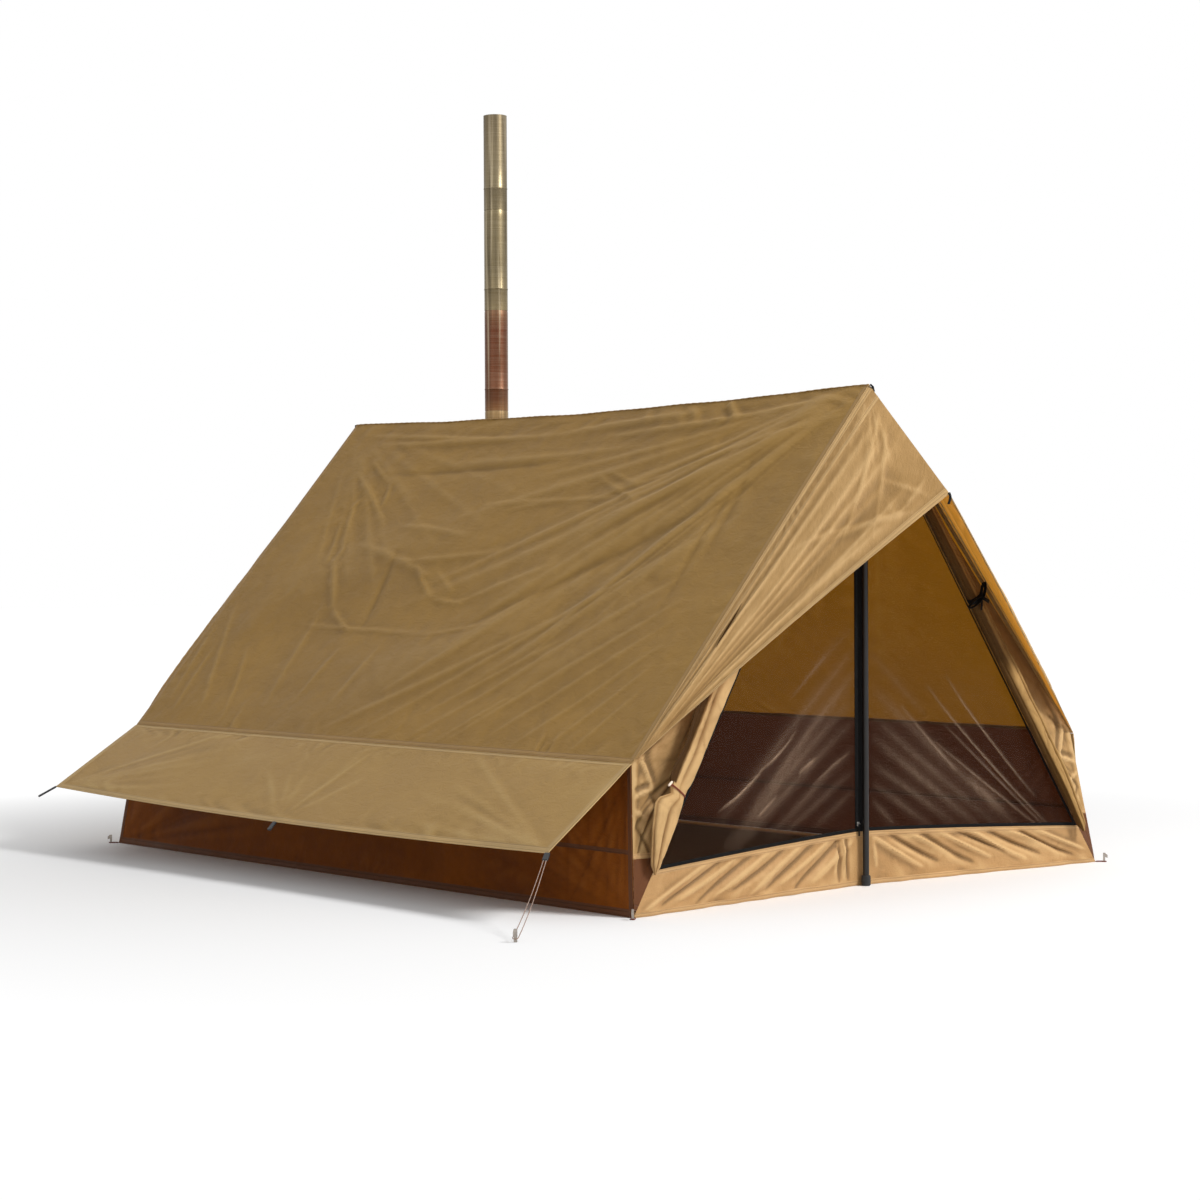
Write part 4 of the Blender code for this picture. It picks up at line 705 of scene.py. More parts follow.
class Effects:
    """Node groups that more than one material uses. Each is made once."""

    def __init__(self) -> None:
        """Builds the groups."""
        self.weave = self.make_weave()
        self.clouds = self.make_clouds()
        self.stitch = self.make_stitch()
        self.grain = self.make_grain()

    @staticmethod
    def make_weave() -> Tree:
        """Plain weave: warp and weft ribs that take turns on top, from two sines of the cut's place.

        Returns:
            The node group.
        """
        graph, given, made = new_group("cloth_weave", (("Vector", VECTOR, 0), ("Pitch", FLOAT, 0.001)),
            (("Height", FLOAT),))
        x, y, _ = graph.parts(given["Vector"])
        waves = []
        for value in (x, y):
            turns = graph.math("DIVIDE", value, given["Pitch"])
            waves.append(graph.math("SINE", graph.math("MULTIPLY", turns, FULL_TURN)))
        check = graph.math("MULTIPLY", waves[0], waves[1])
        ribs = graph.math("ADD", graph.math("ABSOLUTE", waves[0]), graph.math("ABSOLUTE", waves[1]))
        height = graph.math("ADD", graph.math("MULTIPLY", ribs, 0.3), graph.math("MULTIPLY", check, 0.4))
        graph.feed(made, Height=height)
        return graph.tree

    @staticmethod
    def make_clouds() -> Tree:
        """Uneven tone: large soft clouds, small mottling and faint streaks, as a mask from 0 to 1.

        Returns:
            The node group.
        """
        graph, given, made = new_group("uneven_tone", (("Vector", VECTOR, 0), ("Size", FLOAT, 0.3)),
            (("Mask", FLOAT),))
        scale = graph.math("DIVIDE", 1, given["Size"])
        large = graph.noise(given["Vector"], scale, 3, 0.55, 0.3)
        small = graph.noise(given["Vector"], graph.math("MULTIPLY", scale, 9), 3, 0.6)
        total = graph.math("ADD", graph.math("MULTIPLY", large, 0.7), graph.math("MULTIPLY", small, 0.3))
        graph.feed(made, Mask=graph.spread(total, 0.36, 0.64))
        return graph.tree

    @staticmethod
    def make_stitch() -> Tree:
        """Two rows of stitches along a band: dashes by the length, rows by the distance across.

        Returns:
            The node group.
        """
        graph, given, made = new_group("two_rows_of_stitches",
            (("Vector", VECTOR, 0), ("Width", FLOAT, 0.02), ("Pitch", FLOAT, 0.005)),
            (("Mask", FLOAT), ("Dent", FLOAT)))
        x, y, _ = graph.parts(given["Vector"])
        share = graph.math("DIVIDE", y, given["Width"])
        off = graph.math("ABSOLUTE", graph.math("SUBTRACT", share, 0.5))
        row = graph.math("ABSOLUTE", graph.math("SUBTRACT", off, 0.32))
        across = graph.spread(row, 0.02, 0.055, 1, 0)
        turns = graph.math("FRACT", graph.math("DIVIDE", x, given["Pitch"]))
        dash = graph.spread(graph.math("ABSOLUTE", graph.math("SUBTRACT", turns, 0.5)), 0.3, 0.4, 1, 0)
        graph.feed(made, Mask=graph.math("MULTIPLY", across, dash))
        graph.feed(made, Dent=graph.spread(row, 0.02, 0.13, 1, 0))
        return graph.tree

    @staticmethod
    def make_grain() -> Tree:
        """Fine grain of a surface with soft smudges, as a height and a mask.

        Returns:
            The node group.
        """
        graph, given, made = new_group("grain_and_smudges", (("Vector", VECTOR, 0), ("Size", FLOAT, 0.001)),
            (("Height", FLOAT), ("Mask", FLOAT)))
        scale = graph.math("DIVIDE", 1, given["Size"])
        graph.feed(made, Height=graph.noise(given["Vector"], scale, 2, 0.6))
        smudge = graph.noise(given["Vector"], graph.math("DIVIDE", scale, 40), 4, 0.6, 0.5)
        graph.feed(made, Mask=graph.spread(smudge, 0.38, 0.66))
        return graph.tree


EFFECTS = Effects()


# Finishes


def shaded(colour: Colour, factor: float, lift: float = 0) -> Colour:
    """A colour times a factor, plus a lift."""
    return tuple(part * factor + lift for part in colour)


@dataclass(frozen=True)
class Finish:
    """What every finish has: a name and the Principled shader that its graph feeds."""

    name: str

    def start(self, **constants: object) -> tuple[Material, Graph, Node]:
        """Makes the material and sets its constant sockets.

        Args:
            constants: Socket values by name. An underscore stands for a space.

        Returns:
            The material, its graph and its shader node.
        """
        material = bpy.data.materials.new(self.name)
        material.use_nodes = True
        graph = Graph(material.node_tree)
        shader = material.node_tree.nodes["Principled BSDF"]
        return material, graph, graph.feed(shader, **constants)


@dataclass(frozen=True)
class Cloth(Finish):
    """Proofed tent cloth: a fine weave, uneven tone, soft crinkles, painted highlights on fold crests,
    painted shade in creases and hollows, and for insides a glow of painted light.
    """

    colour: Colour
    shade: Colour
    # crest: the painted highlight colour on fold crests.
    crest: Colour
    rough: float = 0.62
    weave: float = 0.0011
    crinkle: float = 0.0011
    # A glow is emission that paints the light shining through the cloth; the part is no lamp.
    glow: float = 0
    glow_colour: Colour = (0.5, 0.25, 0.06)
    shine: float = 0.22
    # The next field is the share of the painted crest highlight, a little wear too; the two after it are the
    # share and darkness of the painted shade in creases, hollows and gaps.
    highlight_and_wear: float = 0.65
    painted_shade_share: float = 0.6
    painted_shade_depth: float = 0.4

    def build(self) -> Material:
        """Makes the material.

        Returns:
            The material.
        """
        material, graph, shader = self.start(Sheen_Weight=0.04, Sheen_Roughness=0.4,
            Specular_IOR_Level=self.shine)
        place, cut = graph.object_place(), graph.cut()
        clouds = graph.use(EFFECTS.clouds, Vector=place, Size=0.42)["Mask"]
        tone = graph.mix(clouds, self.shade, self.colour)
        # Painted highlight on fold crests, then painted shade from the second mark in creases, hollows and
        # gaps.
        fold = graph.mark("fold")
        tone = graph.mix(graph.spread(fold, 0.0, 1.0, 0, self.highlight_and_wear), tone, self.crest)
        tone = graph.mix(graph.spread(graph.mark("painted_shade"), 0, 1, 0, self.painted_shade_share), tone,
            shaded(self.shade, self.painted_shade_depth))
        graph.feed(shader, Base_Color=tone)
        weave = graph.use(EFFECTS.weave, Vector=cut, Pitch=self.weave)["Height"]
        wide = graph.stretched(cut, (16, 34, 1), (0, 0, 0.5))
        soft = graph.noise(wide, 1.0, 4, 0.6, 0.6)
        sharp = graph.math("ABSOLUTE", graph.math("SUBTRACT", graph.noise(cut, 55, 3, 0.55, 0.8), 0.5))
        ridges = graph.math("ADD", soft, graph.math("MULTIPLY",
            graph.math("POWER", graph.math("SUBTRACT", 1, graph.math("MULTIPLY", sharp, 2)), 6), 0.16))
        normal = graph.bump(ridges, self.crinkle * 3.2, 0.75)
        graph.feed(shader, Normal=graph.bump(weave, 0.00012, 0.5, normal))
        graph.feed(shader, Roughness=graph.spread(clouds, 0, 1, self.rough - 0.05,
            self.rough + 0.06))
        # Painted light: emission for sunlight through the cloth, paler at fold crests.
        if self.glow:
            glow = graph.mix(graph.spread(fold, 0, 1, 0, 0.3), self.glow_colour, self.crest)
            graph.feed(shader, Emission_Color=glow, Emission_Strength=self.glow)
        return material


@dataclass(frozen=True)
class Hem(Finish):
    """A folded and sewn band: the cloth's tone with two rows of stitches and their dents."""

    colour: Colour
    thread: Colour
    width: float
    rough: float = 0.6
    pitch: float = 0.006

    def build(self) -> Material:
        """Makes the material.

        Returns:
            The material.
        """
        material, graph, shader = self.start(Sheen_Weight=0.04, Specular_IOR_Level=0.22)
        place, cut = graph.object_place(), graph.cut()
        clouds = graph.use(EFFECTS.clouds, Vector=place, Size=0.2)["Mask"]
        tone = graph.mix(clouds, shaded(self.colour, 0.84), self.colour)
        sewn = graph.use(EFFECTS.stitch, Vector=cut, Width=self.width, Pitch=self.pitch)
        # Painted shade in the dents beside the stitches.
        tone = graph.mix(graph.math("MULTIPLY", sewn["Dent"], 0.35), tone,
            shaded(self.colour, 0.6))
        graph.feed(shader, Base_Color=graph.mix(sewn["Mask"], tone, self.thread))
        pulls = graph.noise(graph.stretched(cut, (130, 30, 1)), 1, 3, 0.6)
        height = graph.math("SUBTRACT", graph.math("MULTIPLY", pulls, 0.8), sewn["Dent"])
        graph.feed(shader, Normal=graph.bump(height, 0.0009, 0.8))
        graph.feed(shader, Roughness=graph.spread(clouds, 0, 1, self.rough - 0.05,
            self.rough + 0.08))
        return material


@dataclass(frozen=True)
class Netting(Finish):
    """Insect mesh: a dark see-through net whose stretched folds catch the light."""

    colour: Colour = (0.022, 0.012, 0.008)
    fold_highlight: Colour = (0.44, 0.29, 0.19)
    cover: float = 0.2

    def build(self) -> Material:
        """Makes the material.

        Returns:
            The material.
        """
        material, graph, shader = self.start(Specular_IOR_Level=0.12)
        cut = graph.cut()
        fold = graph.mark("fold")
        fine = graph.noise(graph.stretched(cut, (40, 8, 1)), 1, 4, 0.65)
        # Along the stretched folds the net gets a painted highlight colour, and a higher alpha for the
        # doubled net.
        lines = graph.math("MULTIPLY", fold, graph.spread(fine, 0.3, 0.65, 0.7, 1))
        graph.feed(shader, Base_Color=graph.mix(lines, self.colour, self.fold_highlight))
        graph.feed(shader, Alpha=graph.spread(lines, 0, 1, self.cover, 0.66))
        soft = graph.noise(graph.stretched(cut, (14, 30, 1), (0, 0, 0.7)), 1, 3, 0.6)
        graph.feed(shader, Normal=graph.bump(soft, 0.003, 0.5))
        graph.feed(shader, Roughness=graph.spread(fine, 0.2, 0.8, 0.5, 0.7))
        return material


@dataclass(frozen=True)
class Webbing(Finish):
    """Woven tape or cord: slanted ribs along its length, with paler rib crowns in patches."""

    colour: Colour
    highlight_and_wear: Colour
    pitch: float = 0.0016
    slant: float = 0.6
    rough: float = 0.7

    def build(self) -> Material:
        """Makes the material.

        Returns:
            The material.
        """
        material, graph, shader = self.start(Sheen_Weight=0.02, Specular_IOR_Level=0.08)
        cut = graph.stretched(graph.cut(), (1, 1, 1), (0, 0, self.slant))
        ribs = graph.use(EFFECTS.weave, Vector=cut, Pitch=self.pitch)["Height"]
        clouds = graph.use(EFFECTS.clouds, Vector=graph.object_place(), Size=0.06)["Mask"]
        shown = graph.math("MULTIPLY", graph.spread(ribs, 0.2, 0.7), clouds)
        graph.feed(shader, Base_Color=graph.mix(shown, self.colour, self.highlight_and_wear))
        graph.feed(shader, Normal=graph.bump(ribs, 0.0005, 0.8))
        graph.feed(shader, Roughness=graph.spread(clouds, 0, 1, self.rough, self.rough + 0.1))
        return material


@dataclass(frozen=True)
class Moulded(Finish):
    """Moulded plastic or rubber: a fine grain and soft smudges."""

    colour: Colour
    rough: float = 0.45

    def build(self) -> Material:
        """Makes the material.

        Returns:
            The material.
        """
        material, graph, shader = self.start(Specular_IOR_Level=0.5)
        grain = graph.use(EFFECTS.grain, Vector=graph.object_place(), Size=0.0012)
        graph.feed(shader, Base_Color=graph.mix(grain["Mask"], self.colour,
            shaded(self.colour, 1.7, 0.006)))
        graph.feed(shader, Roughness=graph.spread(grain["Mask"], 0, 1, self.rough,
            self.rough + 0.15))
        graph.feed(shader, Normal=graph.bump(grain["Height"], 0.0002, 0.5))
        return material


@dataclass(frozen=True)
class Metal(Finish):
    """Sheet or rod metal: brushed lines along one direction, smudges and darker patches."""

    colour: Colour
    patch: Colour
    rough: float = 0.35
    metallic: float = 1
    brush: Place = (900, 900, 12)
    coat: float = 0

    def build(self) -> Material:
        """Makes the material.

        Returns:
            The material.
        """
        material, graph, shader = self.start(Metallic=self.metallic, Coat_Weight=self.coat)
        place = graph.object_place()
        lines = graph.noise(graph.stretched(place, self.brush), 1, 3, 0.6)
        grain = graph.use(EFFECTS.grain, Vector=place, Size=0.002)
        tone = graph.mix(graph.math("MULTIPLY", grain["Mask"], 0.8), self.colour, self.patch)
        graph.feed(shader, Base_Color=graph.mix(graph.spread(lines, 0.35, 0.65, 0, 0.35), tone,
            shaded(self.colour, 1.35)))
        graph.feed(shader, Roughness=graph.spread(lines, 0.3, 0.7, self.rough - 0.07,
            self.rough + 0.12))
        graph.feed(shader, Normal=graph.bump(lines, 0.00012, 0.5))
        return material


@dataclass(frozen=True)
class FlueSteel(Finish):
    """Rolled flue sheet: brushed round lines, a heat tint up its length, and upright dark runs and pale
    streaks that are painted reflections.
    """

    stops: tuple[tuple[float, Colour], ...]
    rough: float = 0.3

    def build(self) -> Material:
        """Makes the material. The mark "height" runs from 0 at the section's foot to 1.

        Returns:
            The material.
        """
        material, graph, shader = self.start(Metallic=0.85)
        place = graph.object_place()
        height = graph.mark("height")
        waver = graph.noise(graph.stretched(place, (9, 9, 5)), 1, 3, 0.6)
        along = graph.math("ADD", height, graph.math("MULTIPLY", graph.math("SUBTRACT", waver, 0.5), 0.12))
        ramp = graph.node("ShaderNodeValToRGB")
        graph.put(ramp.inputs[0], along)
        band = ramp.color_ramp
        while len(band.elements) < len(self.stops):
            band.elements.new(0.5)
        for element, (where, colour) in zip(band.elements, self.stops):
            element.position, element.color = where, (*colour, 1)
        rings = graph.noise(graph.stretched(place, (6, 6, 420)), 1, 2, 0.6)
        # Painted reflections: upright dark runs and pale streaks stand in for the dark surroundings and the
        # bright streak a metal tube reflects.
        runs = graph.noise(graph.stretched(place, (75, 75, 2)), 1, 4, 0.6)
        tone = graph.mix(graph.spread(runs, 0.45, 0.72, 0, 0.6), ramp.outputs[0], (0.05, 0.038, 0.022))
        pale = graph.noise(graph.stretched(place, (60, 60, 1.2), shift=(3, 1, 0)), 1, 2, 0.5)
        tone = graph.mix(graph.spread(pale, 0.58, 0.72, 0, 0.45), tone, (0.62, 0.52, 0.36))
        tone = graph.mix(graph.spread(rings, 0.4, 0.7, 0, 0.08), tone, (0.75, 0.66, 0.5))
        graph.feed(shader, Base_Color=tone)
        graph.feed(shader, Roughness=graph.spread(runs, 0.3, 0.7, self.rough, self.rough + 0.22))
        graph.feed(shader, Normal=graph.bump(rings, 0.00006, 0.5))
        return material


# Lines and surfaces of the pitched tent, as the solids have them


@dataclass(frozen=True)
class TentLines:
    """Sizes of the pitched tent in metres and the lines that its cloths share."""

    ridge: float = 1.55
    spacing: float = 2.66
    overhang: float = 0.02
    eave: float = 0.988
    wall: float = 0.43
    flare_side: float = 0.045
    flare_end: float = 0.055
    sag: float = 0.025
    straight: float = 0.03
    tuck: float = 0.005
    setback: float = 0.02
    corner_setback: float = 0.008
    zip_offset: float = 0.018
    gable: float = 1.49
    gusset_foot: float = 0.02
    sill_middle: float = 0.167
    sill_end: float = 0.122
    sill_power: float = 1.3
    hinge_gap: float = 0.0004
    frame_gap: float = 0.00125
    seam_gap: float = 0.0003
    cloth: float = 0.002
    ridge_wave: float = 0.0045

    @property
    def pitch(self) -> float:
        """Slope of the roof."""
        return math.atan2(self.ridge - self.wall, self.eave)

    @property
    def slope(self) -> float:
        """Length of a roof panel down its slope."""
        return math.hypot(self.eave, self.ridge - self.wall)

    @property
    def base(self) -> float:
        """Half the tent's width on the ground."""
        return self.eave + self.flare_side

    @property
    def front(self) -> float:
        """Y of the roof's front edge."""
        return -self.overhang

    @property
    def back(self) -> float:
        """Y of the roof's back edge."""
        return self.spacing + self.overhang

    @property
    def length(self) -> float:
        """Length of the roof."""
        return self.back - self.front

    @property
    def wall_top(self) -> float:
        """Height at which the wall meets the underside of the roof."""
        under = (self.cloth / 2 + self.seam_gap) / math.cos(self.pitch)
        return self.wall + self.tuck * math.tan(self.pitch) - under

    @property
    def core(self) -> Place:
        """A place inside the tent."""
        return (0, self.spacing / 2, 0.45)

    def ridge_line(self, y: Array) -> Array:
        """Height of the ridge: a parabola's sag between the two poles."""
        share = np.clip((y - self.straight) / (self.spacing - self.straight * 2), 0, 1)
        return self.ridge - self.sag * 4 * share * (1 - share)

    def ridge_lift(self, y: Array) -> Array:
        """Rise of the ridge's slack cloth over its webbing: two waves, none at the poles.

        Args:
            y: Distance back from the front pole.

        Returns:
            The rise, in metres.
        """
        wave = 0.5 + 0.3 * np.sin(y * 7.3 + 1.2) + 0.2 * np.sin(y * 17.1)
        ends = smooth_step(y / 0.3) * smooth_step((self.spacing - y) / 0.3)
        return self.ridge_wave * wave * ends

    def roof_height(self, x: Array, y: Array) -> Array:
        """Height of the roof's middle surface, a straight line from the ridge to the eave."""
        return mix(self.ridge_line(y), self.wall, np.abs(x) / self.eave)

    def gable_y(self, x: Array) -> Array:
        """Front gable's surface, which bends forward from the zip to the base corners.

        Args:
            x: Distance to the right of the zip's plane.

        Returns:
            The surface's distance back.
        """
        forward = self.setback + self.overhang + self.flare_end
        reach = self.base + np.sign(x + self.zip_offset) * self.zip_offset
        return self.setback - forward * np.abs(x + self.zip_offset) / reach

    def door_line(self, side: Side, z: Array | float, inward: float = 0) -> Array:
        """Sloping side of the door opening, from the apex to the ground corner, moved inward.

        Args:
            side: Side of the door.
            z: Height.
            inward: How far the line is moved.

        Returns:
            The places at the heights.
        """
        rise = self.ridge / math.hypot(self.base, self.ridge)
        x = side.value * self.base * (self.ridge - z) / self.ridge - side.value * inward / rise
        return stack(x, self.gable_y(x), z)

    def corner_line(self, side: Side, z: Array | float) -> Array:
        """Corner seam between a side wall and a gusset, from the ground to the eave.

        Args:
            side: Side of the tent.
            z: Height.

        Returns:
            The places at the heights.
        """
        share = z / self.wall_top
        x = side.value * mix(self.base, self.eave - self.tuck, share)
        return stack(x, mix(self.front - self.flare_end, self.front + self.corner_setback, share), z)

    def sill_top(self, x: Array) -> Array:
        """Top edge of the sill, highest at the pole."""
        return mix(self.sill_middle, self.sill_end, (np.abs(x) / self.base) ** self.sill_power)

    def sill_corner(self, side: Side, inward: float, rise: float) -> Array:
        """Where a line beside the door line crosses the sill's top, found by repeated steps.

        Args:
            side: Side of the door.
            inward: How far the line lies inside the door line.
            rise: How far the sill's top is raised.

        Returns:
            The crossing's place.
        """
        height = self.sill_end
        for _ in range(8):
            height = float(self.sill_top(self.door_line(side, height, inward)[0])) + rise
        return self.door_line(side, height, inward)

    def to_back(self, points: Array) -> Array:
        """Turns front gable places to the back gable by a mirror about the tent's middle.

        Args:
            points: Front places.

        Returns:
            The back places.
        """
        mirrored = np.array(points, float)
        mirrored[..., 1] = self.spacing - mirrored[..., 1]
        return mirrored

    def at(self, end: End, points: Array) -> Array:
        """Gives front gable places as they are, or turned to the back."""
        return self.to_back(points) if end is End.BACK else points


TENT = TentLines()


def raised(points: Array, relief: Array) -> Array:
    """Moves a sheet's places along its outward normal by a relief in metres.

    Args:
        points: Grid of places.
        relief: Height at each grid point, in metres.

    Returns:
        The moved places.
    """
    normal = surface_normals(points)
    if (normal * (points - np.array(TENT.core))).sum() < 0:
        normal = -normal
    return points + normal * relief[..., None]


def flat_area(points: Array) -> float:
    """Area of a grid of places in square metres, half the sum of its cells' cross products.

    Args:
        points: Grid of places.

    Returns:
        The area.
    """
    first = points[1:, 1:] - points[:-1, :-1]
    second = points[:-1, 1:] - points[1:, :-1]
    return float(np.linalg.norm(np.cross(first, second), axis=-1).sum() / 2)


def crest_mark(relief: Array, low: float, high: float) -> Array:
    """Mark from 0 to 1 of how far a relief stands above the cloth around it."""
    return np.clip((relief - low) / (high - low), 0, 1)


# Finishes of the tent, each made once

# Sunlit cloth colour, used as the painted highlight on fold crests.
SUN = (0.68, 0.45, 0.21)
ROOF_TAN = (0.365, 0.208, 0.052)


class Finishes:
    """Every finish of the tent. Each is built once, when the class is made."""

    def __init__(self) -> None:
        """Builds the materials."""
        # The outsides of roof, awnings, visors, sill, gussets and doors are one cloth: their different
        # colours are painted light, copies lit or shaded by how each faces the light. The walls' dark brown
        # is partly painted shade from the awnings. The undersides are painted shade, and the insides' warm
        # colours with their glow are painted light shining through the cloth.
        self.roof = Cloth("roof_outside", ROOF_TAN, (0.30, 0.17, 0.043), (0.50, 0.32, 0.12), highlight_and_wear=0.34,
            painted_shade_share=0.36).build()
        self.roof_in = Cloth("roof_inside", (0.36, 0.15, 0.012), (0.28, 0.11, 0.008), (0.5, 0.25, 0.04),
            glow=0.44, glow_colour=(0.40, 0.165, 0.008)).build()
        self.awning = Cloth("awning_outside", (0.42, 0.26, 0.088), (0.38, 0.23, 0.076),
            (0.52, 0.35, 0.14)).build()
        self.awning_in = Cloth("awning_underside", (0.30, 0.14, 0.035), (0.24, 0.10, 0.025),
            (0.40, 0.20, 0.06)).build()
        self.visor = Cloth("visor_outside", (0.44, 0.262, 0.10), (0.34, 0.195, 0.066), SUN, highlight_and_wear=0.45,
            painted_shade_share=0.5).build()
        self.visor_in = Cloth("visor_inside", (0.50, 0.23, 0.04), (0.42, 0.17, 0.025), (0.62, 0.34, 0.09),
            glow=0.5, glow_colour=(0.55, 0.24, 0.02)).build()
        self.wall = Cloth("wall_outside", (0.24, 0.064, 0.004), (0.165, 0.042, 0.003), (0.40, 0.14, 0.02),
            shine=0.08).build()
        self.wall_in = Cloth("wall_inside", (0.15, 0.05, 0.018), (0.11, 0.036, 0.012), (0.20, 0.08, 0.03),
            glow=0.14, glow_colour=(0.15, 0.038, 0.012)).build()
        self.sill = Cloth("sill_outside", (0.50, 0.29, 0.12), (0.42, 0.235, 0.09), SUN, painted_shade_share=0.75).build()
        self.sill_in = Cloth("sill_inside", (0.36, 0.17, 0.05), (0.30, 0.13, 0.035),
            (0.45, 0.24, 0.09)).build()
        self.gusset = Cloth("gusset_outside", (0.44, 0.265, 0.105), (0.33, 0.185, 0.065), SUN,
            painted_shade_share=0.75).build()
        self.door = Cloth("door_outside", (0.50, 0.30, 0.125), (0.36, 0.19, 0.065), SUN).build()
        self.rolled = Cloth("rolled_door", (0.36, 0.20, 0.062), (0.20, 0.09, 0.022), (0.50, 0.31, 0.12),
            shine=0.06, painted_shade_share=0.93, painted_shade_depth=0.28).build()
        self.folded = Cloth("folded_door", (0.46, 0.275, 0.115), (0.30, 0.13, 0.036), SUN, shine=0.05,
            painted_shade_share=0.97, painted_shade_depth=0.16).build()
        self.mesh = Netting("insect_mesh").build()
        self.roof_hem = Hem("roof_hem", (0.40, 0.24, 0.085), (0.28, 0.16, 0.055), 0.018).build()
        self.awning_hem = Hem("awning_hem", (0.52, 0.345, 0.145), (0.34, 0.21, 0.08), 0.022).build()
        self.visor_hem = Hem("visor_hem", (0.52, 0.33, 0.14), (0.30, 0.18, 0.07), 0.016).build()
        self.wall_hem = Hem("wall_hem", (0.13, 0.042, 0.010), (0.07, 0.025, 0.008), 0.02).build()
        self.sill_hem = Hem("sill_hem", (0.56, 0.34, 0.15), (0.35, 0.20, 0.08), 0.014).build()
        self.tape = Webbing("black_tape", (0.004, 0.004, 0.004), (0.014, 0.014, 0.014)).build()
        self.teeth = Webbing("zip_coil", (0.008, 0.008, 0.008), (0.035, 0.035, 0.035), 0.0022, 0).build()
        self.red = Webbing("red_brown_cord", (0.16, 0.035, 0.022), (0.32, 0.10, 0.06), 0.0014).build()
        self.pale = Webbing("pale_cord", (0.36, 0.25, 0.20), (0.58, 0.44, 0.37), 0.0012).build()
        self.plastic = Moulded("black_plastic", (0.012, 0.012, 0.013)).build()
        self.rubber = Moulded("foot_rubber", (0.014, 0.014, 0.014), 0.75).build()
        self.bead = Moulded("pale_bead", (0.6, 0.5, 0.4), 0.4).build()
        self.pole = Metal("pole_tube", (0.005, 0.0045, 0.0045), (0.012, 0.009, 0.008), 0.38, 0.12).build()
        self.peg = Metal("peg_alloy", (0.40, 0.36, 0.32), (0.24, 0.21, 0.18), 0.34).build()
        self.slider = Metal("zip_slider", (0.72, 0.70, 0.68), (0.4, 0.38, 0.36), 0.25).build()
        self.stove = Metal("stove_sheet", (0.075, 0.07, 0.065), (0.14, 0.09, 0.055), 0.5, 0.9,
            (12, 12, 500)).build()
        self.iron = Metal("stove_rods", (0.16, 0.15, 0.14), (0.09, 0.07, 0.05), 0.4, 1).build()
        self.fire_cloth = Cloth("heatproof_cloth", (0.42, 0.36, 0.27), (0.34, 0.29, 0.21), (0.5, 0.44, 0.35),
            0.8, 0.002).build()
        smoked = ((0.0, (0.185, 0.145, 0.08)), (0.5, (0.21, 0.165, 0.095)), (1.0, (0.165, 0.125, 0.07)))
        bronze = ((0.0, (0.25, 0.19, 0.10)), (0.4, (0.18, 0.14, 0.075)), (1.0, (0.21, 0.165, 0.09)))
        burnt = ((0.0, (0.26, 0.12, 0.045)), (0.14, (0.17, 0.062, 0.028)), (0.8, (0.14, 0.045, 0.02)),
            (1.0, (0.20, 0.10, 0.05)))
        golden = ((0.0, (0.20, 0.16, 0.11)), (0.55, (0.26, 0.17, 0.08)), (1.0, (0.32, 0.20, 0.085)))
        self.flue = [FlueSteel("flue_low", golden).build(), FlueSteel("flue_mid", golden).build(),
            FlueSteel("flue_gold", golden).build(), FlueSteel("flue_burnt", burnt).build(),
            FlueSteel("flue_bronze", bronze).build(), FlueSteel("flue_smoked", smoked).build()]


LOOK = Finishes()


def settle(piece: Piece, slot: str, *materials: Material, node: str = "", body: str = "tent") -> Piece:
    """Gives a finished piece its materials and body, hides its CAD node and logs it.

    Args:
        piece: The new object.
        slot: Not used.
        materials: One material, or the outside's and the inside's.
        node: The CAD node that it stands for, if any.
        body: The CAD body that it moves with.

    Returns:
        The piece.
    """
    for material in materials:
        piece.data.materials.append(material)
    if len(materials) == 1:
        piece.data.polygons.foreach_set("material_index", np.zeros(len(piece.data.polygons), np.int32))
    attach(piece, body)
    if node:
        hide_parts(node)
    LOG.info("%s rides on %s, %d faces", piece.name, body, len(piece.data.polygons))
    return piece


Shape = Callable[[bool, Array, Array], Array]
Mark = Callable[[Array, Array], Array]
Share = float | Callable[[Array], Array]


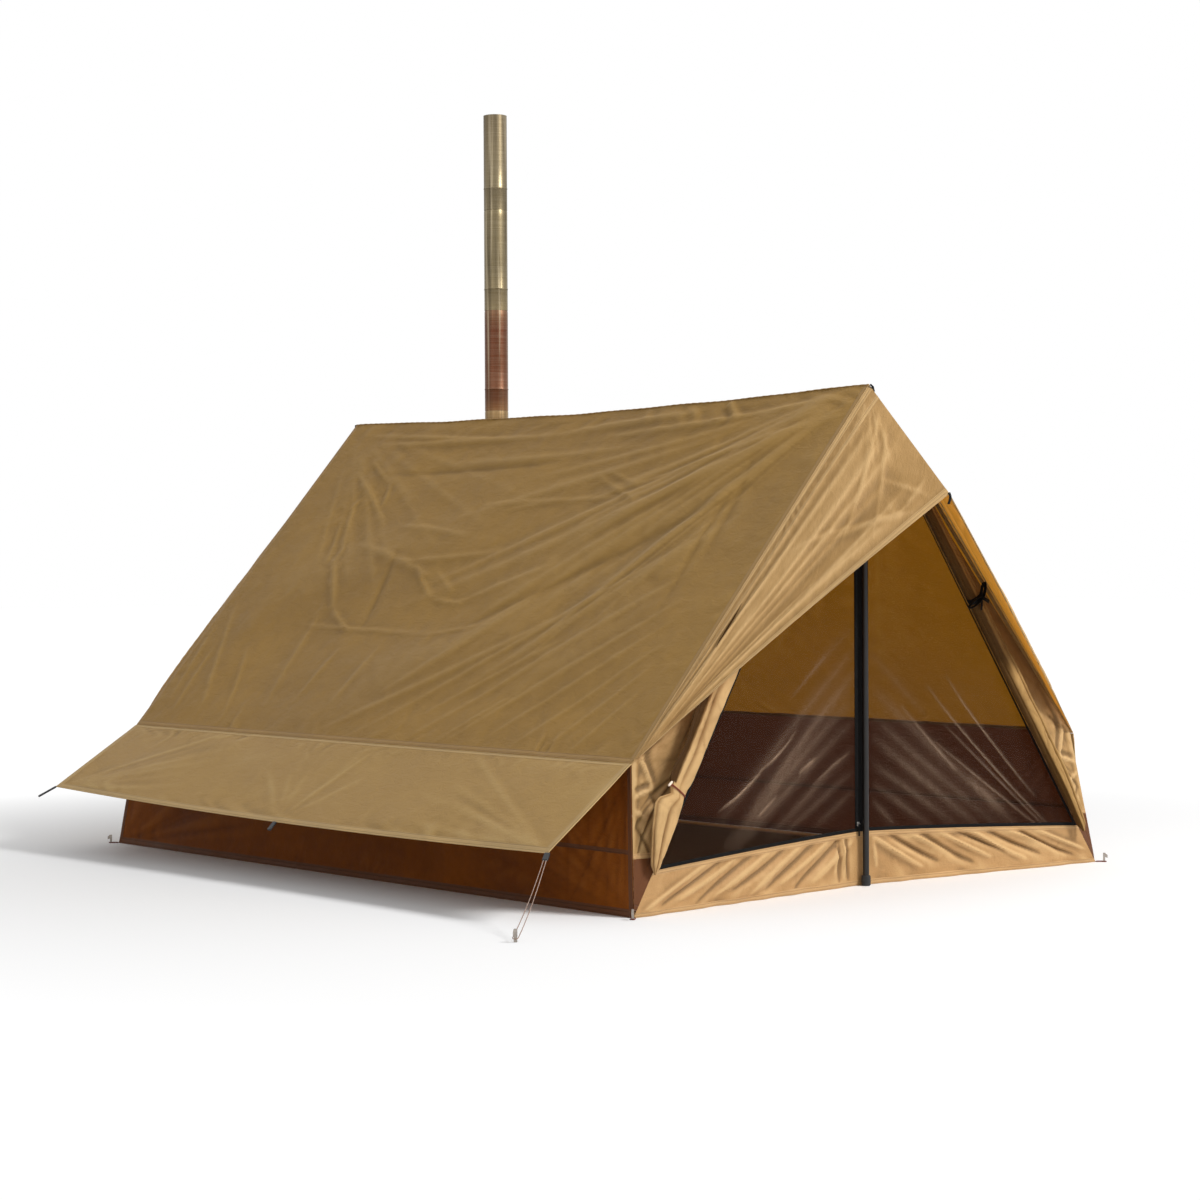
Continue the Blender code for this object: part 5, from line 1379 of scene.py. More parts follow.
@dataclass
class Sheet:
    """One cloth of the tent: a surface of two shares, with or without its relief, and its sewn bands."""

    name: str
    shape: Shape
    slot: str
    materials: tuple[Material, Material]
    node: str
    size: tuple[int, int]
    thickness: float = 0.0016
    fold_range: tuple[float, float] = (0.001, 0.007)
    crease: float = 0.0014
    body: str = "tent"
    bands: list[Piece] = field(default_factory=list)
    piece: Piece | None = None

    def make(self, hole: Mark | None = None, dark: Mark | None = None, fold: Mark | None = None) -> None:
        """Builds the cloth with its marks for painted highlights on fold crests and painted shade in hollows.

        Args:
            hole: Says which grid cells are cut out, from their middle shares.
            dark: Gives added painted shade from 0 to 1.
            fold: Gives the fold mark itself, where the relief's is not used.
        """
        across, along = grid(*self.size)
        points, smooth = self.shape(True, across, along), self.shape(False, across, along)
        size = np.linalg.norm(points - smooth, axis=-1)
        outward = ((points - smooth) * (smooth - np.array(TENT.core))).sum(-1) > 0
        rise = np.where(outward, size, -size)
        near = local_rise(rise) / self.crease
        # The fold mark paints highlights on crests; the other mark paints shade in hollows, plus any added
        # dark.
        marks = {"fold": fold(across, along) if fold else 0.4 * crest_mark(rise, *self.fold_range) + near,
            "painted_shade": np.clip(-near - 0.1, 0, 1) + (dark(across, along) if dark else 0)}
        marks = {mark: np.clip(values, 0, 1) for mark, values in marks.items()}
        out = None
        if hole:
            out = hole((across[1:, 1:] + across[:-1, :-1]) / 2, (along[1:, 1:] + along[:-1, :-1]) / 2)
        self.piece = shell(self.name, points, self.thickness, marks=marks, hole=out)
        settle(self.piece, self.slot, *self.materials, node=self.node, body=self.body)

    def band(self, name: str, u: tuple[Share, Share], v: tuple[float, float], size: tuple[int, int],
            material: Material, thick: float = 0.003, slot: str | None = None, turn: bool = False) -> None:
        """Sews a band on the cloth: the same surface between four shares, a little thicker.

        Args:
            name: The band's name.
            u: First and last share along the cloth's first side, or what gives it from the second's.
            v: First and last share along its second side.
            size: Grid points each way.
            material: The band's material.
            thick: The band's thickness in metres.
            slot: Not used; settle, to which it is passed, ignores it.
            turn: Whether the band runs along the second side.
        """
        across, along = grid(*size)
        height = mix(v[0], v[1], along)
        first, last = (edge(height) if callable(edge) else edge for edge in u)
        points = self.shape(True, mix(first, last, across), height)
        strip = shell(name, np.swapaxes(points, 0, 1) if turn else points, thick)
        self.bands.append(settle(strip, slot or self.slot, material, body=self.body))

    def declare(self,
            area: float | None = None) -> None:
        """Does nothing; the flat area it is given is not used."""
        list(self.bands)


# Roof

ROOF_MAIN = ((0.02, 0.02, 0.62, 0.96, 0.10, 0.75), (0.02, 0.02, 0.95, 0.80, 0.11, -0.70),
    (0.03, 0.05, 0.30, 0.98, 0.09, 0.55), (0.30, 0.30, 0.86, 0.52, 0.10, 0.55),
    (0.45, 0.62, 0.78, 0.74, 0.09, -0.60), (0.93, 0.10, 0.92, 0.92, 0.07, 0.45),
    (0.15, 0.86, 0.85, 0.88, 0.08, -0.40))
ROOF_CREASES = ((0.017, 0.068, 0.353, 0.434, 30, 6, -10), (0.054, 0.111, 0.355, 0.277, 14, 3.5, 0),
    (0.080, 0.137, 0.603, 0.601, 38, 6, 20), (0.070, 0.252, 0.495, 0.716, 46, -8, 15),
    (0.072, 0.355, 0.372, 0.849, 30, 4.5, 0), (0.119, 0.423, 0.512, 0.980, 12, 2.6, 0),
    (0.101, 0.511, 0.409, 0.985, 11, 2.4, 6), (0.084, 0.587, 0.335, 0.987, 10, 2.4, 0),
    (0.077, 0.645, 0.273, 0.984, 9, 2.2, -5), (0.069, 0.705, 0.215, 0.987, 9, 2.2, 0),
    (0.061, 0.754, 0.161, 0.991, 8, 2, 4), (0.055, 0.820, 0.113, 0.995, 8, 1.8, 0),
    (0.227, 0.579, 0.594, 0.984, 16, 3.2, 8), (0.245, 0.702, 0.409, 0.913, 9, 2.2, -4),
    (0.348, 0.594, 0.515, 0.861, 14, 2.4, 6), (0.792, 0.663, 0.509, 0.687, 8, 3, 4),
    (0.509, 0.687, 0.410, 0.656, 7, 2.4, -3), (0.816, 0.465, 0.749, 0.611, 11, 3.6, 6),
    (0.749, 0.611, 0.674, 0.683, 9, 3.4, -5), (0.622, 0.484, 0.549, 0.578, 8, 3.6, -6),
    (0.549, 0.578, 0.480, 0.592, 7, 3.2, -3), (0.589, 0.484, 0.514, 0.563, 7, 2.6, 5),
    (0.893, 0.130, 0.817, 0.207, 8, 3.4, -5), (0.817, 0.207, 0.794, 0.288, 8, 3, 4),
    (0.908, 0.174, 0.760, 0.349, 9, 3, 6), (0.864, 0.279, 0.809, 0.439, 10, 3, -5),
    (0.862, 0.346, 0.826, 0.478, 9, 2.8, 5), (0.040, 0.034, 0.419, 0.082, 12, 4.5, 5),
    (0.271, 0.029, 0.524, 0.065, 15, 5, -6), (0.513, 0.063, 0.900, 0.074, 12, 4.5, 6),
    (0.601, 0.074, 0.947, 0.042, 10, 3.6, -4), (0.347, 0.119, 0.716, 0.147, 18, 3, 8),
    (0.484, 0.155, 0.836, 0.179, 16, -3, 6), (0.875, 0.931, 0.971, 0.618, 14, 2.6, 6),
    (0.813, 0.955, 0.877, 0.737, 11, 2.2, -4), (0.938, 0.949, 0.951, 0.741, 10, 2.2, 4),
    (0.965, 0.918, 0.985, 0.686, 12, 2, 0), (0.738, 0.923, 0.772, 0.606, 24, 3, 10),
    (0.684, 0.906, 0.669, 0.725, 12, 2, 0), (0.109, 0.203, 0.091, 0.478, 20, -2.6, 6),
    (0.115, 0.255, 0.109, 0.614, 16, -2.2, -6), (0.585, 0.291, 0.280, 0.280, 10, 2.6, 6),
    (0.525, 0.309, 0.427, 0.285, 8, 2, 3), (0.384, 0.208, 0.270, 0.305, 8, 2.6, 0),
    (0.371, 0.194, 0.293, 0.250, 7, 2.4, 3), (0.478, 0.433, 0.670, 0.466, 12, 3, 5),
    (0.561, 0.386, 0.728, 0.350, 10, 2.6, -4), (0.786, 0.413, 0.557, 0.524, 14, 3, 8),
    (0.343, 0.478, 0.501, 0.598, 13, 2.8, 0), (0.256, 0.838, 0.353, 0.989, 8, 1.8, 0),
    (0.586, 0.721, 0.601, 0.898, 16, 2.2, 6), (0.688, 0.431, 0.657, 0.664, 18, -3, 0))
ROOF_CRUMPLES = ((0.86, 0.28, 0.13, 3.2), (0.82, 0.46, 0.10, 2.4), (0.77, 0.60, 0.09, 3.0),
    (0.56, 0.54, 0.08, 2.6), (0.40, 0.25, 0.13, 1.6), (0.90, 0.90, 0.16, 2.2), (0.52, 0.45, 0.30, 0.8))


@dataclass
class Roof:
    """Two roof panels, their ridge seam and webbing, eave hems and the stove jack."""

    fold: float = 0.014
    jack_side: float = 0.4
    jack_y: float = 2.315
    jack_size: float = 0.32
    jack_hole: float = 0.20
    flue: float = 0.045
    jack_points: int = 96
    poles: tuple[str, str] = ("front_pole_upper", "back_pole_upper")

    def relief(self, side: Side, across: Array, along: Array) -> Array:
        """Main folds, creases from the apex, slack under the ridge and gathers at the seams.

        Args:
            side: The panel's side of the tent.
            across: Share of the way from the front to the back.
            along: Share of the way from the ridge to the eave.

        Returns:
            The height over the straight panel, held off the webbing near the ridge.
        """
        left = side is Side.LEFT
        cloth = Patch(across, along, (TENT.spacing, TENT.slope), 11 if left else 41)
        broad = cloth.fan((0, 0), (0.06, 0.62), (12, 58), 11, (26, 9.5))
        broad += cloth.fan((0, 0), (0.05, 0.50), (16, 62), 12, (11, 2.2), 2)
        broad += cloth.fan((1, 0), (0.07, 0.50), (118, 166), 9 if left else 16, (16, 3.0), 1)
        small = cloth.creases(broad) + cloth.creases(ROOF_CREASES if left else ()) * 1.6
        small += cloth.noise(0.0012, 0.16, 0.09, 3) + cloth.noise(0.0008, 0.05, 0.05, 4)
        for u, v, reach, height in ROOF_CRUMPLES if left else ():
            away = ((across - u) * TENT.spacing) ** 2 + ((along - v) * TENT.slope) ** 2
            small += np.exp(-away / reach ** 2) * height * MM * cloth.crumple(1, 0.055, 5)
        small += cloth.crumple(0.0011, 0.09, 6)
        gathers = cloth.gathers(Edge.HIGH, 0.052, 0.0024, 0.035, 7)
        gathers += cloth.gathers(Edge.LOW, 0.085, 0.005, 0.045, 8)
        gathers += cloth.gathers(Edge.START, 0.06, 0.0016, 0.03, 9)
        gathers += cloth.gathers(Edge.FINISH, 0.06, 0.0016, 0.03, 10)
        rise = cloth.main_folds(ROOF_MAIN, self.fold)
        small = small * cloth.edge_rest(0.03)
        if not left:
            place = self.panel(side, False, across, along)
            away = np.hypot(place[..., 0] - self.jack_side, place[..., 1] - self.jack_y)
            rise = rise * smooth_step((away - self.jack_size) / self.jack_size)
            small = small * smooth_step((away - self.jack_size * 0.8) / 0.12)
        gathers = gathers * smooth_step(across / 0.01) * smooth_step((1 - across) / 0.01)
        deepest = -0.0002 - 0.03 * smooth_step((cloth.y - 0.03) / 0.05)
        return np.maximum(rise + small + gathers, deepest)

    def panel(self, side: Side, relief: bool, across: Array, along: Array) -> Array:
        """One panel: straight lines from the ridge out to the eave, with or without its relief.

        Args:
            side: Side of the tent.
            relief: Whether the relief is added.
            across: Shares from the ridge to the eave.
            along: Shares from the front to the back.

        Returns:
            The places.
        """
        y = mix(TENT.front, TENT.back, across)
        x = side.value * mix(0.0009, TENT.eave - 0.0003, along)
        lift = TENT.ridge_lift(y) * np.exp(-along * TENT.slope / 0.05)
        points = stack(x, y, TENT.roof_height(x, y) + lift)
        return raised(points, self.relief(side, across, along)) if relief else points

    def opening(self, across: Array, along: Array) -> Array:
        """Cells of the right panel over the flue, inside a square round it.

        Args:
            across: Shares from the ridge to the eave.
            along: Shares from the front to the back.

        Returns:
            Whether each cell is left out.
        """
        place, reach = self.panel(Side.RIGHT, False, across, along), self.jack_hole / 2
        return ((np.abs(place[..., 0] - self.jack_side) < reach * math.cos(TENT.pitch))
            & (np.abs(place[..., 1] - self.jack_y) < reach))

    def make(self) -> None:
        """Builds the panels, seam, webbing and jack."""
        for side in Side:
            panel = Sheet(f"roof_cloth_{side.word}", partial(self.panel, side), "roof_cloth",
                (LOOK.roof, LOOK.roof_in), f"roof_{side.word}", (296, 164), crease=0.0022)
            panel.make(hole=self.opening if side is Side.RIGHT else None)
            panel.band(f"roof_eave_hem_{side.word}", (-0.0002, 1.0002), (0.987, 0.9985), (280, 4),
                LOOK.roof_hem, 0.0028)
            for end, u in zip(End, ((-0.0003, 0.0062), (0.9938, 1.0003))):
                panel.band(f"roof_{end.value}_hem_{side.word}", u, (0, 0.9985), (4, 158), LOOK.roof_hem,
                    0.0028, turn=True)
            panel.declare()
        self.make_ridge()
        self.make_jack()

    def make_ridge(self) -> None:
        """Builds the sewn ridge bead and the webbing under it."""
        y = np.linspace(TENT.front + 0.001, TENT.back - 0.001, 260)
        z = TENT.ridge_line(y) + TENT.ridge_lift(y) + 0.0008 + 0.0005 * np.sin(y * 190)
        x = 0.0007 * np.sin(y * 23) + 0.0006 * np.sin(y * 71)
        bead = carried("ridge_bead", stack(x, y, z), 0.0036, 0.0017, (1, 0, 0), 10, 2.4)
        settle(bead, "roof_cloth", LOOK.roof_hem)
        across, along = grid(180, 9)
        half = 0.025 * math.cos(TENT.pitch)
        x, y = mix(-half, half, along), mix(TENT.front, TENT.back, across)
        below = (0.001 + 0.0003 + 0.00075) / math.cos(TENT.pitch)
        rounded = np.sqrt(x ** 2 + 0.0012 ** 2) * math.tan(TENT.pitch)
        tape = shell("ridge_tape", stack(x, y, TENT.ridge_line(y) - below - rounded), 0.0014)
        settle(tape, "black_webbing", LOOK.tape, node="ridge_webbing")

    def make_jack(self) -> None:
        """Builds the heat-proof ring: a square outside, a round upright bore and a raised collar."""
        turns = np.arange(self.jack_points) / self.jack_points * FULL_TURN
        way = stack(np.cos(turns), np.sin(turns), 0)
        bore, half = self.flue + 0.0007, self.jack_size / 2
        square = half / np.maximum(np.abs(way[:, 0]), np.abs(way[:, 1]))[:, None]
        rings = np.linspace(0, 1, 26)
        x = self.jack_side + way[:, None, 0] * (bore + (square * math.cos(TENT.pitch) - bore) * rings)
        y = self.jack_y + way[:, None, 1] * (bore + (square - bore) * rings)
        cone = 0.006 * np.exp(-rings / 0.06) + 0.0007 * noise(x / 0.03, y / 0.03, 5)
        sewn = np.where(rings > 0.9, 0.0006 * np.sin((rings - 0.9) / 0.1 * math.pi), 0)
        z = TENT.roof_height(x, y) + 0.0023 / math.cos(TENT.pitch) + (cone + sewn) * (rings > 0)
        ring = shell("stove_jack_ring", stack(x, y, z), 0.0018, closed=True)
        settle(ring, "fire_cloth", LOOK.fire_cloth, node="stove_jack")


# Walls

WALL_MAIN = ((0.99, 0.04, 0.80, 0.95, 0.16, 0.9), (0.99, 0.04, 0.66, 0.80, 0.14, -0.8),
    (0.03, 0.05, 0.05, 0.95, 0.16, 0.8), (0.12, 0.10, 0.20, 0.70, 0.18, -0.7),
    (0.35, 0.25, 0.52, 0.60, 0.20, 0.7))
WALL_UPRIGHT = ((0.012, 3.2), (0.025, 2.4), (0.043, 3.0), (0.07, 2.0), (0.105, 2.6), (0.985, 2.4))


@dataclass
class Walls:
    """Side walls from the ground to the eave, with their ground hems and corner seams."""

    fold: float = 0.009
    inset: float = 0.0016

    def wall(self, side: Side, relief: bool, across: Array, along: Array) -> Array:
        """The wall between its two corner seams, moved inward by its folds and creases.

        Args:
            side: The wall's side of the tent.
            relief: Whether it has its folds.
            across: Share of the way from the front to the back.
            along: Share of the way up.

        Returns:
            The wall's places.
        """
        z = mix(0.0004, TENT.wall_top, along)
        front = TENT.corner_line(side, z) + np.array((0, self.inset, 0))
        points = front + (TENT.to_back(front) - front) * across[..., None]
        if relief:
            cloth = Patch(across, along, (TENT.spacing, TENT.wall_top), 71 if side is Side.LEFT else 81)
            rows = cloth.fan((1, 0), (0.03, 0.42), (128, 177), 16, (10, 3.0))
            rows += cloth.fan((0, 1), (0.01, 0.2), (-84, -20), 9, (9, 2.6), 1)
            rows += [(u, 0.06, u + 0.006, 0.94, 10, height, 6) for u, height in WALL_UPRIGHT]
            rows += cloth.fan((0, 0), (0.02, 0.3), (3, 50), 9, (10, 2.4), 2)
            small = cloth.creases(rows) + cloth.crumple(0.0006, 0.12, 3)
            small += 0.0012 * (1 + cloth.noise(1, 0.1, 0.1, 4))
            small = small * cloth.edge_rest(0.03)
            small += np.abs(cloth.gathers(Edge.LOW, 0.06, 0.003, 0.03, 5))
            main = np.abs(cloth.main_folds(WALL_MAIN, self.fold))
            points[..., 0] -= side.value * (main + small * smooth_step((1 - along) / 0.1))
        return points

    def make(self) -> None:
        """Builds both walls."""
        for side in Side:
            wall = Sheet(f"wall_cloth_{side.word}", partial(self.wall, side), "wall_cloth",
                (LOOK.wall, LOOK.wall_in), f"wall_{side.word}", (240, 44), fold_range=(0.0, 0.006),
                crease=0.0035)
            wall.make()
            wall.band(f"wall_ground_hem_{side.word}", (0.0, 1.0), (0.0, 0.052), (240, 5), LOOK.wall_hem)
            wall.band(f"wall_middle_seam_{side.word}", (0.0, 1.0), (0.40, 0.43), (240, 4), LOOK.wall_hem,
                0.0026)
            for end, u in zip(End, ((0.0, 0.006), (0.994, 1.0))):
                wall.band(f"wall_{end.value}_seam_{side.word}", u, (0.0, 0.99), (4, 44), LOOK.wall_hem,
                    turn=True)
            wall.declare()


# Awnings

AWNING_MAIN = ((0.06, 0.20, 0.30, 0.85, 0.22, 0.8), (0.40, 0.25, 0.62, 0.80, 0.24, -0.7),
    (0.74, 0.20, 0.94, 0.80, 0.22, 0.8))


@dataclass
class Awnings:
    """Eave awnings: the left one held out by its lines, the right one hanging by the wall."""

    depth: float = 0.388
    drop_front: float = 0.23
    drop_back: float = 0.205
    edge_sag: float = 0.02
    fold: float = 0.006

    def awning(self, side: Side, relief: bool, across: Array, along: Array) -> Array:
        """The awning from the eave line out, or down by the wall.

        Args:
            side: Its side of the tent. The right one hangs.
            relief: Whether it has its creases beside its main folds.
            across: Share of the way from the front to the back.
            along: Share of the way from the eave to the free edge.

        Returns:
            The awning's places.
        """
        hanging = side is Side.RIGHT
        y = mix(TENT.front, TENT.back, across)
        drop = mix(self.drop_front, self.drop_back, across) + self.edge_sag * 4 * across * (1 - across)
        lean = np.arccos(np.clip(drop / self.depth, -1, 1))
        if hanging:
            lean = np.zeros(across.shape) + math.atan2(TENT.flare_side + TENT.tuck, TENT.wall_top)
        reach = mix(0.0018 if hanging else 0.0005, self.depth, along)
        cloth = Patch(across, along, (TENT.spacing, self.depth), 101 if hanging else 91)
        rise = cloth.main_folds(AWNING_MAIN, self.fold)
        if relief:
            rows = cloth.fan((0, 1), (0.02, 0.32), (-30, -4), 7, (16, 1.9))
            rows += cloth.fan((1, 1), (0.02, 0.3), (184, 214), 7, (16, 1.9), 1)
            rows += cloth.fan((0.5, 1), (0.02, 0.16), (-150, -30), 6, (12, 1.4), 2)
            small = cloth.creases(rows) + cloth.crumple(0.0008, 0.11, 3)
            small += cloth.noise(0.0022, 0.3, 0.12, 4)
            small = small * cloth.edge_rest(0.03)
            small += cloth.gathers(Edge.LOW, 0.05, 0.0018, 0.025, 5)
            small += cloth.gathers(Edge.HIGH, 0.09, 0.0012, 0.03, 6)
            rise = rise + small
        if hanging:
            rise = np.abs(rise)
        x = TENT.eave + reach * np.sin(lean) + rise * np.cos(lean)
        return stack(side.value * x, y, TENT.wall - reach * np.cos(lean) + rise * np.sin(lean))

    def make(self) -> None:
        """Builds both awnings with hems round their free edges."""
        for side in Side:
            hanging = side is Side.RIGHT
            sheet = Sheet(f"awning_cloth_{side.word}", partial(self.awning, side), "awning_cloth",
                (LOOK.awning, LOOK.awning_in), f"awning_{side.word}", (240, 40), fold_range=(0.0005, 0.006),
                body="loose_awning" if hanging else "tent")
            sheet.make()
            sheet.band(f"awning_edge_hem_{side.word}", (0.0, 1.0), (0.943, 1.001), (240, 5), LOOK.awning_hem)
            sheet.band(f"awning_eave_seam_{side.word}", (0.0, 1.0), (0.0, 0.03), (240, 4), LOOK.awning_hem,
                0.0026)
            for end, u in zip(End, ((-0.0004, 0.0078), (0.9922, 1.0004))):
                sheet.band(f"awning_{end.value}_hem_{side.word}", u, (0.0, 1.0), (5, 40), LOOK.awning_hem,
                    turn=True)
            sheet.declare()


# Visors

VISOR_MAIN = ((0.08, 0.35, 0.92, 0.40, 0.16, 1.0), (0.10, 0.62, 0.88, 0.66, 0.14, -0.8),
    (0.15, 0.84, 0.80, 0.86, 0.12, 0.6))
VISOR_CREASES = ((0.02, 0.10, 0.95, 0.16, 10, 3.4, 4), (0.04, 0.22, 0.96, 0.34, 11, 4.4, -5),
    (0.05, 0.34, 0.80, 0.52, 9, 3.6, 5), (0.03, 0.46, 0.90, 0.60, 12, 4.6, 6),
    (0.10, 0.60, 0.85, 0.70, 9, 3.4, -5), (0.06, 0.74, 0.55, 0.86, 8, 2.8, 4),
    (0.20, 0.86, 0.92, 0.88, 8, 2.6, 0), (0.0, 0.16, 0.30, 0.70, 7, 2.6, 0),
    (0.0, 0.22, 0.22, 0.86, 7, 2.4, 0), (0.10, 0.94, 0.34, 0.52, 7, 3.0, 3),
    (0.14, 0.90, 0.42, 0.30, 8, 2.6, -4), (0.05, 0.90, 0.12, 0.55, 6, 2.6, 0),
    (0.02, 0.80, 0.15, 0.88, 6, 2.4, 2), (0.50, 0.20, 0.97, 0.48, 8, 3.0, 4),
    (0.55, 0.42, 0.97, 0.66, 8, 2.8, -3), (0.40, 0.80, 0.96, 0.78, 7, 2.6, 0))


@dataclass
class Visors:
    """Peaked visors at both ends, sewn to the roof and held to a tip, with their hems."""

    reach: float = 0.325
    tip: float = 1.206
    end_share: float = 0.985
    dip: float = 0.012
    fold: float = 0.009

    def relief(self, end: End, across: Array, along: Array) -> Array:
        """Folds that run from the apex and the tip to the eave corners.

        Args:
            end: The visor's end of the tent.
            across: Share of the way from the left eave corner to the right one.
            along: Share of the way from the roof to the free edge.

        Returns:
            The height over the plain visor.
        """
        arm = np.abs(across * 2 - 1) * self.end_share
        cloth = Patch(arm, along, (TENT.slope, self.reach), 131 if end is End.FRONT else 141)
        half = np.where(across < 0.5, 1, -1)
        rows = [*VISOR_CREASES, *cloth.fan((0, 0), (0.012, 0.16), (4, 60), 9, (6, 2.0), 4)]
        small = cloth.creases(rows) * 1.25
        small += 0.0010 * noise(cloth.x / 0.10 + 9 * half, cloth.y / 0.03, cloth.seed)
        small += 0.0004 * crumple(cloth.x + half, cloth.y, 0.05, cloth.seed + 1)
        off_middle = smooth_step(arm / 0.05)
        edges = smooth_step(along / 0.08) * smooth_step((1 - along) / 0.08) * off_middle
        gathers = cloth.gathers(Edge.LOW, 0.035, 0.0016, 0.02, 2)
        gathers += cloth.gathers(Edge.HIGH, 0.05, 0.0014, 0.02, 3)
        fine = (small * edges + gathers * off_middle) * smooth_step((1 - arm) / 0.25)
        return cloth.main_folds(VISOR_MAIN, self.fold) + fine

    def visor(self, end: End, relief: bool, across: Array, along: Array) -> Array:
        """Two slopes that meet on a line from the apex to the tip, with or without their folds.

        Args:
            end: Front or back.
            relief: Whether the folds are added.
            across: Shares over the two slopes.
            along: Shares from the roof to the edge.

        Returns:
            The places.
        """
        wide = (across * 2 - 1) * self.end_share
        arm = np.abs(wide)
        y = TENT.front - TENT.seam_gap
        upper = stack(wide * TENT.eave, y, mix(TENT.ridge, TENT.wall, arm))
        dip = self.dip * 4 * arm * (1 - arm)
        free = stack(wide * TENT.eave, y - self.reach * (1 - arm), mix(self.tip, TENT.wall, arm) + dip)
        points = upper + (free - upper) * along[..., None]
        return TENT.at(end, raised(points, self.relief(end, across, along)) if relief else points)

    def make(self) -> None:
        """Builds the two visors, their edge hems and seams."""
        for end in End:
            visor = Sheet(f"visor_cloth_{end.value}", partial(self.visor, end), "visor_cloth",
                (LOOK.visor, LOOK.visor_in), f"visor_{end.value}", (321, 60), fold_range=(0.0005, 0.009),
                crease=0.0022)
            # Painted shade along the roof seam and in a thin line just under the edge hem.
            visor.make(dark=lambda u, v: 0.45 * np.exp(-((v - 0.02) / 0.09) ** 2)
                + 0.5 * np.exp(-(((v - 0.945) / 0.012) ** 2)))
            for word, u, v, points, thick in (("edge_hem", (0.004, 0.996), (0.955, 1.003), 4, 0.0028),
                    ("roof_seam", (0.004, 0.996), (0.0, 0.045), 4, 0.0026),
                    ("second_seam", (0.02, 0.98), (0.10, 0.13), 3, 0.0024)):
                visor.band(f"visor_{word}_{end.value}", u, v, (281, points), LOOK.visor_hem, thick)
            visor.declare(flat_area(self.visor(end, False, *grid(121, 21))))


# Gables: sill, gussets, mesh doors and back doors

SILL_MAIN = ((0.08, 0.10, 0.20, 0.90, 0.22, 1.0), (0.22, 0.10, 0.34, 0.90, 0.22, -0.9),
    (0.34, 0.10, 0.44, 0.90, 0.22, 0.9), (0.60, 0.90, 0.68, 0.10, 0.22, 0.8),
    (0.74, 0.90, 0.84, 0.10, 0.24, -0.8))
MESH_MAIN = ((0.98, 0.10, 0.20, 0.36, 0.12, 1.0), (0.98, 0.12, 0.45, 0.50, 0.11, 0.8),
    (0.96, 0.55, 0.50, 0.12, 0.12, 0.7))
GUSSET_MAIN = ((0.10, 0.12, 0.90, 0.34, 0.30, 1.0), (0.15, 0.36, 0.90, 0.16, 0.30, 0.8),
    (0.40, 0.45, 0.60, 0.85, 0.30, 0.6))
BACK_DOOR_MAIN = ((0.92, 0.06, 0.30, 0.45, 0.13, 1.0), (0.94, 0.30, 0.60, 0.70, 0.13, 0.8),
    (0.20, 0.08, 0.70, 0.20, 0.12, 0.8))
SILL_GATHERS = ((0.458, 0.20, 0.452, 0.99, 7, -11, 0), (0.470, 0.10, 0.462, 0.99, 8, 8, 0),
    (0.447, 0.10, 0.441, 0.99, 8, 8, 0), (0.436, 0.30, 0.446, 0.99, 6, -7, 0),
    (0.53, 0.30, 0.521, 0.99, 7, -7, 0))
MESH_BANDS_LEFT = ((0.02, 0.80, 0.24, 0.66, 0.014, 0.14, 0), (0.01, 0.735, 0.66, 0.235, 0.020, 0.28, 0),
    (0.01, 0.66, 0.52, 0.25, 0.022, 0.40, 0), (0.01, 0.585, 0.62, 0.165, 0.020, 0.34, 0),
    (0.01, 0.515, 0.58, 0.16, 0.018, 0.32, 0), (0.01, 0.43, 0.43, 0.18, 0.016, 0.28, 0),
    (0.01, 0.36, 0.36, 0.185, 0.013, 0.24, 0), (0.01, 0.30, 0.21, 0.195, 0.012, 0.22, 0),
    (0.285, 0.495, 0.45, 0.39, 0.0045, 0.8, -0.01), (0.44, 0.395, 0.65, 0.28, 0.0045, 0.8, -0.01),
    (0.19, 0.407, 0.277, 0.366, 0.006, 0.6, 0), (0.378, 0.304, 0.478, 0.244, 0.005, 0.55, 0),
    (0.035, 0.415, 0.212, 0.325, 0.004, 0.4, 0), (0.144, 0.719, 0.318, 0.595, 0.006, 0.26, 0))
MESH_BANDS_RIGHT = ((0.06, 0.72, 0.30, 0.52, 0.014, 0.14, 0), (0.067, 0.612, 0.70, 0.133, 0.021, 0.32, 0),
    (0.067, 0.527, 0.60, 0.148, 0.018, 0.30, 0), (0.067, 0.464, 0.513, 0.154, 0.018, 0.36, 0),
    (0.066, 0.379, 0.416, 0.168, 0.016, 0.32, 0), (0.066, 0.317, 0.32, 0.159, 0.013, 0.28, 0),
    (0.065, 0.262, 0.157, 0.178, 0.012, 0.26, 0), (0.477, 0.317, 0.636, 0.194, 0.018, 0.3, 0),
    (0.299, 0.613, 0.851, 0.122, 0.0042, 0.7, -0.01), (0.382, 0.642, 0.775, 0.235, 0.0042, 0.7, -0.008),
    (0.193, 0.553, 0.429, 0.336, 0.0045, 0.5, 0), (0.333, 0.436, 0.812, 0.117, 0.0042, 0.55, 0),
    (0.36, 0.50, 0.83, 0.12, 0.004, 0.5, 0))
GUSSET_CREASES = ((0.94, 0.318, 0.60, 0.238, 6, -5.5, 0), (0.97, 0.224, 0.60, 0.238, 6, -4.5, 0),
    (0.90, 0.330, 0.56, 0.250, 8, 4.5, 0), (0.96, 0.238, 0.62, 0.250, 7, 4, 0),
    (0.96, 0.200, 0.60, 0.185, 7, -4, 2), (0.94, 0.165, 0.55, 0.215, 7, 4, -2),
    (0.95, 0.300, 0.70, 0.335, 7, 3.5, 0), (0.05, 0.30, 0.95, 0.08, 9, 5.0, 4),
    (0.06, 0.09, 0.90, 0.17, 8, 4.5, -4), (0.20, 0.27, 0.80, 0.20, 7, 3.0, 3),
    (0.10, 0.16, 0.70, 0.24, 6, 3.0, -3), (0.70, 0.04, 0.30, 0.11, 6, 2.6, 2),
    (0.35, 0.30, 0.55, 0.60, 6, 2.4, 2))


